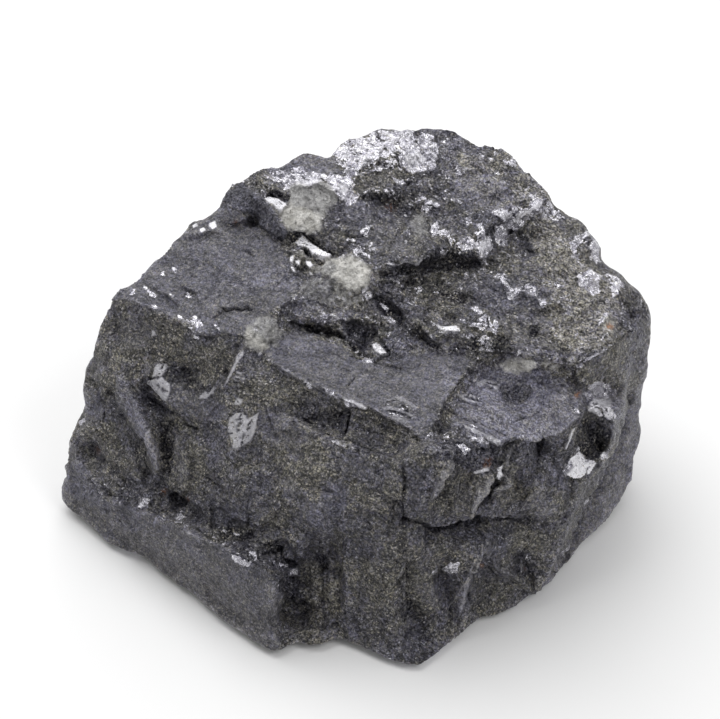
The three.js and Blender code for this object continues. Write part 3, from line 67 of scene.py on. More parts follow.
# Cleavage cube of the galena: A and B lie in the sloping top, C is its normal.
def crystal_axes():
    a = np.array([math.cos(math.radians(-31)), math.sin(math.radians(-31)), -0.10])
    c = np.array([-0.05, -0.29, 0.955])
    a /= np.linalg.norm(a)
    c -= c.dot(a) * a
    c /= np.linalg.norm(c)
    b = np.cross(c, a)
    return np.stack([a, b, c])
AXES = crystal_axes()

FINE_PX = 3.42     # longest edge on the faces seen in the reference view, in its pixels
SHARP_PX = 1.78     # the same inside the small features that need crisp borders
COARSE_MM = 1.50   # longest edge anywhere else

# =====================================================================
# The stone's features, as places in the reference view (pixels of the
# 720 x 719 frame, u to the right and v down), each read off
# =====================================================================
# ---- the large faces
R_PLATEAU = [(113,298),(140,278),(175,240),(212,217),(226,205),(246,217),(262,231),(284,250),(292,268),(300,285),(285,300),(262,318),(243,336),(225,333),(207,335),(190,327),(170,319),(150,309),(131,302)]
R_CENTRE = [(262,350),(290,332),(340,345),(365,362),(395,360),(440,348),(472,358),(445,402),(424,440),(392,421),(370,410),(345,401),(320,391),(300,382),(280,370)]
R_RIGHT = [(484,368),(560,378),(590,390),(596,400),(586,412),(580,416),(562,430),(545,440),(522,438),(500,443),(470,430),(445,432),(455,410)]
R_FARWALL = [(637,403),(643,416),(643,437),(634,481),(608,518),(572,562),(552,580),(534,591),(548,572),(566,541),(576,521),(584,501),(600,476),(610,453),(620,430),(625,404)]
R_SIDE = [(600,352),(620,339),(649,318),(654,340),(651,368),(638,402),(612,398),(592,392),(580,372)]
R_BLOCK = [(60,485),(74,482),(84,486),(100,496),(125,506),(150,514),(176,524),(200,535),(225,547),(240,556),(256,570),(272,584),(282,598),(280,652),(266,650),(222,619),(170,579),(109,545),(60,503)]
R_LONGFACE = [(113,300),(131,304),(150,311),(170,321),(190,329),(207,337),(243,340),(262,364),(285,374),(303,384),(345,402),(424,441),(403,470),(403,560),(345,560),(300,545),(262,541),(232,531),(200,515),(150,499),(100,481),(70,480),(64,455),(82,410),(86,364)]
R_WEDGE = [(300,545),(345,560),(403,560),(415,666),(405,667),(340,642),(300,645),(284,640),(284,580)]
R_FRONT = [(403,465),(425,447),(452,430),(500,443),(545,440),(562,431),(580,416),(614,406),(622,402),(617,430),(598,475),(582,500),(566,540),(538,587),(480,620),(418,667),(404,560)]
R_BAR = [(226,206),(228,194),(234,187),(241,185),(250,190),(258,194),(266,203),(274,214),(282,224),(289,233),(285,240),(276,240),(268,233),(260,222),(250,213),(240,210)]

# ---- fresh, bright cleavage: (strength, outline)
BRIGHT = [
 (0.50, [(345,161),(362,159),(378,160),(398,158),(398,171),(376,173),(362,177),(350,173)]),
 (0.8, [(496,226),(504,223),(511,227),(509,239),(502,246),(496,240)]),
 (0.15, [(536,232),(552,224),(566,232),(576,246),(586,262),(600,276),(612,292),(622,310),(618,330),(606,344),(592,350),(580,354),(566,350),(556,338),(548,318),(552,300),(546,282),(540,262),(532,246)]),
 (0.10, [(380,190),(420,186),(470,196),(500,220),(530,250),(540,290),(520,330),(480,345),(440,330),(400,300),(380,262),(372,222)]),
 (0.8, [(468,436),(480,438),(490,443),(484,446),(472,442)]),
 (0.7, [(452,448),(462,446),(470,450),(460,453)]),
 (0.9, [(589,400),(598,397),(608,400),(614,407),(611,415),(600,414),(592,410)]),
 (0.9, [(588,241),(596,243),(603,250),(606,258),(598,261),(591,253)]),
 (0.8, [(578,276),(588,272),(598,279),(601,289),(592,292),(582,287)]),
 (0.9, [(404,156),(416,155),(426,158),(424,165),(410,166)]),
 (0.8, [(300,181),(312,178),(322,182),(318,189),(304,189)]),
 (0.9, [(334,185),(344,184),(350,189),(344,196),(336,193)]),
 (0.80, [(398,158),(412,160),(428,157),(438,160),(436,168),(424,172),(408,174),(398,171)]),
 (1.0, [(490,215),(500,212),(512,213),(522,207),(532,202),(543,200),(544,209),(534,216),(526,222),(518,230),(508,228),(500,220)]),
 (1.0, [(461,240),(470,239),(480,243),(486,236),(493,238),(492,248),(486,258),(481,256),(479,248),(468,250),(460,246)]),
 (0.9, [(588,384),(598,381),(610,384),(618,392),(618,400),(606,398),(596,396),(589,392)]),
 (0.80, [(333,157),(340,150),(346,142),(352,140),(356,137),(366,140),(376,134),(386,131),(396,131),(408,133),(414,135),(416,139),(424,138),(434,139),(437,150),(438,162),(425,166),(420,170),(412,175),(403,168),(398,160),(394,154),(385,158),(378,158),(372,162),(366,168),(360,172),(357,168),(350,164),(343,160)]),
 (0.84, [(282,178),(292,180),(300,176),(305,171),(315,171),(325,175),(338,173),(350,178),(355,184),(351,192),(346,201),(338,199),(330,192),(326,184),(318,186),(308,188),(300,188),(292,192),(284,190)]),
 (0.5, [(262,176),(272,172),(286,172),(300,166),(306,171),(296,178),(282,182),(268,184)]),
 (0.9, [(344,190),(351,189),(359,194),(358,203),(350,206),(345,200)]),
 (1.0, [(393,182),(398,180),(404,181),(406,186),(396,188)]),
 (0.45, [(412,197),(419,196),(432,198),(440,203),(440,210),(431,209),(424,203),(416,203)]),
 (0.9, [(448,199),(460,199),(463,204),(452,204)]),
 (1.0, [(432,225),(437,222),(440,227),(436,232),(432,229)]),
 (1.0, [(465,217),(470,216),(473,222),(469,223)]),
 (1.0, [(474,224),(478,223),(483,231),(484,238),(482,243),(481,253),(477,250),(475,243),(477,236),(479,230)]),
 (1.0, [(458,242),(466,240),(473,243),(475,248),(467,249),(460,246)]),
 (1.0, [(483,251),(489,246),(493,244),(493,248),(486,255)]),
 (1.0, [(493,213),(499,210),(504,212),(508,211),(509,214),(504,219),(499,220),(493,218)]),
 (1.0, [(512,209),(520,206),(528,207),(533,202),(530,197),(536,197),(543,203),(541,208),(533,210),(527,215),(521,213),(518,225),(513,222),(510,216)]),
 (0.9, [(524,190),(529,189),(530,193),(525,193)]),
 (1.0, [(569,243),(575,238),(581,236),(588,231),(590,237),(583,240),(579,247),(575,255),(571,251)]),
 (1.0, [(602,276),(607,272),(613,277),(619,279),(622,284),(617,289),(612,285),(606,280)]),
 (1.0, [(493,274),(500,273),(506,272),(508,280),(510,288),(514,293),(519,289),(524,292),(524,284),(530,282),(535,290),(538,297),(531,298),(522,295),(515,299),(509,298),(505,290),(502,282),(495,279)]),
 (1.0, [(535,298),(543,300),(547,304),(540,306)]),
 (1.0, [(463,273),(468,273),(469,279),(464,280)]),
 (0.9, [(419,285),(423,283),(424,287),(420,289)]),
 (1.0, [(477,318),(484,315),(489,318),(492,324),(498,320),(501,326),(496,330),(501,335),(496,337),(488,332),(482,334),(475,332),(469,328),(474,323)]),
 (0.9, [(470,305),(476,306),(482,313),(479,316),(472,310)]),
 (0.9, [(321,316),(328,311),(336,315),(341,320),(332,323),(324,321),(317,321)]),
 (0.6, [(379,307),(386,311),(394,318),(389,320),(382,315)]),
 (0.5, [(372,321),(383,323),(383,327),(374,326)]),
 (1.0, [(361,359),(366,356),(374,360),(373,364),(364,364)]),
 (1.0, [(591,399),(600,397),(606,399),(612,404),(609,411),(615,413),(620,417),(612,421),(605,417),(599,419),(594,413),(592,406)]),
 (0.8, [(586,390),(591,392),(594,398),(588,397)]),
 (1.0, [(573,406),(581,409),(580,412),(574,410)]),
 (0.9, [(561,396),(565,396),(568,401),(563,400)]),
 (0.3, [(462,392),(470,393),(481,397),(485,403),(474,403),(464,399)]),
 (0.35, [(483,381),(492,378),(500,380),(501,388),(496,394),(490,391),(484,387)]),
 (0.55, [(443,437),(448,431),(456,429),(459,431),(453,440),(447,447),(442,446)]),
 (0.9, [(466,427),(472,426),(477,431),(472,434)]),
 (1.0, [(496,468),(500,466),(502,470),(498,478),(495,476)]),
 (1.0, [(563,470),(570,460),(576,455),(581,449),(584,453),(583,460),(590,461),(595,459),(593,465),(585,471),(577,476),(566,476)]),
 (0.8, [(602,452),(607,452),(604,458),(600,459)]),
 (0.26, [(380,398),(387,396),(394,393),(403,396),(412,402),(419,404),(418,410),(409,412),(404,418),(400,424),(390,423),(384,420),(388,414),(378,410)]),
 (0.25, [(410,423),(420,425),(426,431),(418,434),(410,430)]),
 (0.9, [(344,399),(352,400),(360,404),(367,409),(362,411),(354,408),(346,404)]),
 (0.9, [(305,386),(311,384),(314,387),(309,389)]),
 (0.8, [(326,388),(334,393),(340,399),(334,398),(326,393)]),
 (0.45, [(330,440),(341,441),(350,445),(359,449),(354,451),(344,448),(332,443)]),
 (0.6, [(183,320),(190,321),(196,317),(201,320),(203,326),(197,329),(190,325),(184,324)]),
 (0.8, [(189,328),(194,329),(201,337),(196,338)]),
 (0.8, [(211,324),(216,325),(221,331),(214,328)]),
 (0.9, [(177,316),(182,316),(183,320),(178,320)]),
 (0.8, [(151,306),(157,306),(159,311),(152,310)]),
 (0.7, [(129,296),(133,288),(136,290),(133,298)]),
 (0.7, [(142,288),(147,285),(149,291),(156,294),(156,299),(149,297)]),
 (0.7, [(162,271),(167,272),(167,277),(162,276)]),
 (0.7, [(172,267),(178,269),(179,273),(173,271)]),
 (0.7, [(186,291),(192,295),(193,299),(187,296)]),
 (0.6, [(169,290),(175,293),(176,298),(170,295)]),
 (0.9, [(79,421),(85,418),(86,424),(80,427)]),
 (1.0, [(231,557),(236,549),(241,555),(246,558),(252,563),(247,568),(240,565),(235,561)]),
 (1.0, [(249,552),(254,551),(259,557),(256,560),(250,556)]),
 (0.8, [(290,570),(296,568),(296,574),(291,574)]),
 (0.8, [(448,562),(457,561),(456,572),(448,576),(440,572)]),
 (0.7, [(430,568),(438,568),(437,574),(430,573)]),
 (0.7, [(528,558),(534,558),(535,563),(529,563)]),
 (0.7, [(576,330),(580,331),(579,336),(575,336)]),
 (1.0, [(584,360),(592,355),(600,350),(602,352),(594,358),(586,363)]),
 (0.8, [(578,364),(584,362),(584,367),(579,368)]),
 (0.8, [(600,318),(606,310),(610,312),(604,322),(599,325)]),
 (0.6, [(602,326),(605,328),(605,345),(602,344)]),
 (0.9, [(347,291),(350,291),(350,295),(347,295)]),
 (0.8, [(518,350),(522,351),(521,356),(517,355)]),
 (0.9, [(254,191),(257,193),(257,196),(253,194)]),
 (0.7, [(344,236),(350,237),(356,241),(352,244),(346,241)]),
 (0.7, [(360,231),(366,227),(372,224),(370,230),(363,235)]),
 (0.7, [(458,169),(461,170),(462,175),(459,174)]),
 (0.7, [(463,167),(467,168),(467,173),(463,172)]),
 (0.8, [(362,193),(369,191),(369,194),(363,196)]),
]

# ---- flat facets with sharp borders, painted near-white as a highlight where they would mirror the light: (lift mm, slope mm per px along u, along v, strength of the painted highlight, outline)
FLATS = [
 (0.05, 0.00, 0.000, 0.62, [(588,405),(600,402),(612,408),(617,414),(608,419),(597,417),(589,412)]),
 (0.04, 0.00, 0.000, 0.50, [(333,187),(340,184),(348,187),(350,191),(343,195),(337,192)]),
 (0.04, 0.00, 0.000, 0.45, [(300,183),(308,179),(318,181),(322,185),(312,188),(303,188)]),
 (0.04, 0.00, 0.000, 0.50, [(403,158),(412,155),(422,156),(428,160),(420,165),(408,165)]),
 (0.05, 0.00, 0.000, 0.62, [(589,403),(593,398),(600,399),(603,396),(608,399),(613,404),(609,408),(612,412),(604,414),(598,410),(592,411)]),
 (0.04, 0.00, 0.000, 0.50, [(592,390),(598,386),(604,388),(606,393),(599,395),(594,394)]),
 (0.03, 0.00, 0.000, 0.42, [(499,366),(506,361),(516,359),(525,360),(534,363),(534,369),(524,373),(510,373),(502,371)]),
 (0.05, 0.00, 0.000, 0.30, [(386,400),(393,396),(401,396),(409,400),(418,407),(414,408),(405,403),(396,401),(389,403)]),
 (0.05, 0.00, 0.000, 0.28, [(381,408),(390,406),(399,408),(409,413),(419,418),(414,420),(404,415),(393,411),(384,411)]),
 (0.04, 0.00, 0.000, 0.22, [(388,416),(398,416),(409,422),(405,425),(394,420)]),
 (0.04, 0.00, 0.000, 0.45, [(342,398),(350,399),(359,403),(368,408),(363,410),(353,405),(344,401)]),
 (0.04, 0.00, 0.000, 0.45, [(457,394),(466,394),(476,398),(484,403),(474,403),(464,399)]),
 (0.05, 0.00, 0.000, 0.50, [(475,383),(483,380),(492,380),(499,385),(499,390),(492,386),(484,384),(478,387)]),
 (0.05, 0.00, 0.000, 0.55, [(463,426),(472,429),(483,434),(494,440),(503,444),(497,445),(485,439),(473,434),(465,430)]),
 (0.05, 0.00, 0.000, 0.50, [(493,214),(500,212),(507,214),(514,214),(511,219),(502,219),(495,218)]),
 (0.05, 0.00, 0.000, 0.50, [(514,216),(520,212),(528,208),(536,203),(543,202),(541,207),(532,212),(524,217),(517,223)]),
 (0.05, 0.00, 0.000, 0.50, [(468,241),(476,242),(483,240),(488,237),(491,242),(486,249),(483,256),(480,252),(479,246),(471,245)]),
 (0.40, 0.00, 0.035, 1.0, [(265,197),(270,195),(276,197),(281,201),(287,204),(288,208),(283,211),(280,215),(275,211),(269,204)]),
 (0.40, 0.00, 0.045, 1.0, [(294,243),(302,235),(308,239),(316,245),(324,251),(332,257),(331,261),(326,262),(320,258),(316,255),(312,253),(308,249),(303,246),(299,247)]),
 (0.15, 0.00, 0.030, 0.8, [(310,252),(315,255),(320,257),(324,260),(323,262),(316,259),(311,256)]),
 (0.30, 0.00, 0.060, 1.0, [(570,459),(576,456),(580,451),(584,455),(585,461),(588,462),(593,461),(591,465),(586,468),(582,473),(577,476),(570,476),(564,472),(569,469),(573,466),(571,462)]),
 (0.20, 0.00, 0.060, 1.0, [(585,470),(590,466),(595,462),(597,463),(592,469),(586,474)]),
 (0.15, 0.00, 0.030, 0.9, [(577,450),(579,447),(582,447),(580,451)]),
 (0.15, 0.00, 0.030, 0.9, [(582,436),(585,431),(585,434),(583,438)]),
 (0.15, 0.00, 0.030, 1.0, [(600,453),(604,451),(606,452),(603,456),(600,458)]),
 (0.15, 0.00, 0.030, 0.8, [(322,271),(326,269),(328,272),(325,276)]),
 (0.15, 0.00, 0.030, 0.7, [(308,270),(311,272),(314,277),(311,276)]),
 (0.15, 0.00, 0.030, 1.0, [(305,260),(310,259),(313,264),(310,268),(306,264)]),
 (0.15, 0.00, 0.030, 1.0, [(290,257),(294,257),(293,264),(290,263)]),
 (0.15, 0.00, 0.030, 1.0, [(290,266),(294,268),(297,273),(293,272)]),
 (0.10, 0.00, 0.030, 0.9, [(295,262),(300,261),(300,266),(296,266)]),
 (0.20, 0.00, 0.030, 0.9, [(201,232),(206,230),(208,233),(203,236)]),
 (0.20, 0.00, 0.030, 0.9, [(211,226),(217,223),(219,229),(214,232),(210,229)]),
 (0.15, 0.00, 0.020, 0.8, [(194,228),(199,225),(201,229),(195,232)]),
 (0.20, 0.00, 0.000, 0.62, [(159,364),(166,364),(167,368),(163,376),(166,380),(172,385),(172,391),(168,401),(164,400),(157,392),(153,386),(148,384),(150,380),(155,379),(157,372)]),
 (0.12, 0.00, 0.000, 0.52, [(197,399),(204,391),(208,393),(213,386),(216,388),(207,399)]),
 (0.15, 0.00, 0.000, 0.58, [(235,405),(238,398),(243,399),(241,405)]),
 (0.08, 0.00, 0.000, 0.58, [(231,417),(237,413),(243,413),(247,419),(252,416),(259,412),(257,421),(255,432),(250,441),(244,445),(239,449),(234,448),(235,442),(231,437),(229,429)]),
 (0.10, 0.00, 0.000, 0.55, [(152,330),(156,330),(157,335),(153,336)]),
 (0.12, 0.00, 0.000, 0.55, [(238,371),(244,373),(243,375),(237,373)]),
 (0.12, 0.00, 0.000, 0.55, [(237,375),(243,377),(242,379),(236,377)]),
 (0.12, 0.00, 0.000, 0.50, [(236,379),(242,381),(240,382),(235,381)]),
 (0.12, 0.00, 0.000, 0.55, [(242,350),(244,352),(240,361),(236,369),(231,378),(227,386),(226,383),(230,374),(235,364),(238,356)]),
 (0.12, 0.00, 0.030, 0.9, [(432,325),(436,324),(440,329),(446,331),(452,332),(455,330),(457,334),(461,337),(453,337),(445,336),(438,332)]),
 (0.30, 0.00, 0.030, 0.9, [(371,344),(376,342),(382,347),(387,353),(380,354),(374,350)]),
 (0.20, 0.00, 0.020, 0.70, [(470,468),(475,465),(482,463),(485,465),(480,468),(474,470)]),
 (0.20, 0.00, 0.020, 1.0, [(496,474),(498,469),(501,466),(503,469),(501,473),(498,477)]),
 (0.25, 0.00, 0.030, 0.75, [(573,429),(576,427),(573,434),(569,441),(565,447),(563,447),(567,440),(570,434)]),
 (0.12, 0.00, 0.020, 0.6, [(480,433),(490,437),(500,441),(500,444),(490,440),(481,436)]),
]

# ---- pale quartz and calcite gangue: (strength, swell mm, outline)
GANGUE = [
 (1.00, 0.10, [(290,190),(294,186),(305,187),(312,191),(316,187),(325,184),(331,190),(336,200),(333,207),(326,213),(320,219),(322,231),(306,232),(289,229),(284,222),(281,214),(287,208),(289,198)]),
 (1.00, 0.16, [(322,265),(326,262),(335,261),(345,259),(351,256),(357,258),(366,264),(370,270),(371,280),(366,287),(358,290),(350,290),(344,284),(336,280),(328,278),(322,272)]),
 (0.95, 0.14, [(243,338),(245,333),(247,328),(255,327),(262,330),(266,336),(272,340),(270,345),(262,350),(254,348),(247,345)]),
 (0.70, 0.14, [(247,327),(254,319),(262,318),(268,316),(275,320),(280,330),(282,338),(276,345),(268,344),(262,336),(256,331)]),
 (0.50, 0.10, [(411,219),(415,213),(422,212),(427,217),(429,226),(428,236),(422,241),(416,238),(411,230)]),
 (1.00, 0.15, [(501,367),(506,361),(515,359),(525,360),(533,362),(535,368),(530,373),(520,374),(508,372)]),
 (0.45, 0.10, [(540,362),(550,361),(558,367),(562,372),(555,373),(545,368)]),
 (0.65, 0.05, [(296,249),(302,250),(307,254),(309,258),(304,260),(298,255)]),
 (0.60, 0.04, [(313,265),(318,262),(322,266),(320,272),(315,274)]),
 (0.44, 0.00, [(298,282),(318,278),(335,282),(350,292),(360,294),(364,300),(350,306),(330,304),(312,302),(300,294)]),
 (0.30, 0.00, [(603,318),(610,314),(618,320),(618,333),(611,341),(604,338)]),
]
# grey, glassier part of the patches
GREYGLASS = [
 [(290,190),(294,186),(305,187),(312,191),(316,187),(325,184),(331,190),(336,200),(333,207),(326,213),(318,214),(306,210),(294,208),(289,198)],
 [(247,327),(254,319),(262,318),(268,316),(275,320),(280,330),(282,338),(276,345),(268,344),(262,336),(256,331)],
 [(411,219),(415,213),(422,212),(427,217),(429,226),(428,236),(422,241),(416,238),(411,230)],
 [(298,282),(318,278),(335,282),(350,292),(360,294),(364,300),(350,306),(330,304),(312,302),(300,294)],
 [(322,266),(330,263),(338,268),(334,276),(326,276)],
]
# painted shade: crisp black in the crevices, and painted dark reflection on the mirror-dark facets: (strength, outline)
BLACK_SHADE = [
 (0.45, [(500,388),(506,380),(514,378),(524,382),(532,388),(530,395),(522,403),(513,404),(504,399)]),
 (0.55, [(536,378),(548,380),(560,386),(566,392),(560,392),(548,386),(538,384)]),
 (0.70, [(445,362),(452,366),(466,368),(476,372),(474,375),(462,372),(448,368)]),
 (0.7, [(434,500),(438,494),(441,491),(443,494),(440,499),(436,503)]),
 (0.8, [(487,448),(491,446),(494,449),(492,453),(488,453)]),
 (0.8, [(87,452),(90,443),(96,442),(98,451),(92,456)]),
 (0.6, [(88,480),(92,483),(94,487),(91,487)]),
 (1.0, [(167,499),(172,497),(177,498),(181,502),(179,506),(175,503),(170,501)]),
 (0.7, [(160,470),(164,467),(168,472),(164,475)]),
 (0.6, [(418,608),(426,612),(424,618),(416,624),(410,622)]),
 (1.0, [(268,192),(273,190),(280,190),(285,195),(291,195),(289,200),(286,204),(281,201),(276,197),(270,195)]),
 (0.3, [(245,216),(249,214),(254,217),(256,222),(262,225),(254,225),(247,222)]),
 (0.8, [(262,226),(270,230),(278,236),(284,238),(280,242),(270,236)]),
 (0.9, [(289,233),(296,231),(302,233),(299,238),(294,243),(288,244)]),
 (1.0, [(300,233),(305,233),(315,239),(325,246),(335,255),(333,257),(323,250),(313,243),(302,236)]),
 (0.9, [(301,248),(305,246),(309,248),(312,253),(316,256),(323,261),(325,264),(320,264),(313,258),(308,254),(305,252)]),
 (0.9, [(301,262),(305,264),(308,268),(304,270),(300,266)]),
 (0.8, [(293,262),(298,265),(302,270),(300,272),(294,268)]),
 (0.85, [(580,419),(590,421),(603,425),(610,429),(612,438),(606,449),(598,456),(588,457),(581,451),(578,440)]),
 (1.0, [(580,444),(588,444),(597,446),(601,449),(602,453),(599,457),(594,460),(589,459),(585,455),(581,452)]),
 (0.35, [(590,414),(593,413),(596,417),(603,419),(610,418),(608,422),(600,422),(593,419)]),
 (0.7, [(546,438),(548,438),(547,446),(545,456),(543,460),(542,458),(543,448)]),
 (0.9, [(379,337),(384,343),(390,351),(388,354),(382,347)]),
 (0.95, [(350,325),(354,324),(354,331),(351,333)]),
 (0.95, [(361,327),(365,329),(364,343),(361,345)]),
 (0.15, [(300,320),(312,322),(326,326),(340,330),(340,333),(326,330),(312,326),(300,323)]),
 (0.75, [(398,268),(412,262),(424,257),(438,253),(438,257),(424,262),(412,268),(400,273)]),
 (0.8, [(449,523),(462,518),(476,515),(476,519),(462,522),(450,526)]),
]
# duller, smoother and lighter ground within the broken top: (strength, outline)
SHEEN = [
 (0.12, [(536,232),(552,224),(566,232),(576,246),(586,262),(600,276),(612,292),(622,310),(618,330),(606,344),(592,350),(580,354),(566,350),(556,338),(548,318),(552,300),(546,282),(540,262),(532,246)]),
 (0.45, [(455,172),(470,168),(490,172),(505,180),(512,196),(500,206),(482,212),(466,208),(452,196)]),
 (0.55, [(486,292),(500,300),(520,304),(540,308),(548,318),(552,340),(540,352),(520,350),(508,340),(500,322),(488,310)]),
 (0.80, [(262,176),(285,168),(300,152),(312,154),(330,162),(345,172),(335,176),(318,171),(300,175),(282,182),(268,184)]),
 (0.60, [(340,206),(356,202),(370,208),(386,214),(398,222),(392,236),(376,246),(360,244),(348,232),(340,220)]),
 (0.55, [(376,238),(400,236),(420,244),(412,256),(392,262),(374,264),(366,252)]),
 (0.50, [(498,300),(516,308),(530,318),(520,330),(505,326)]),
]
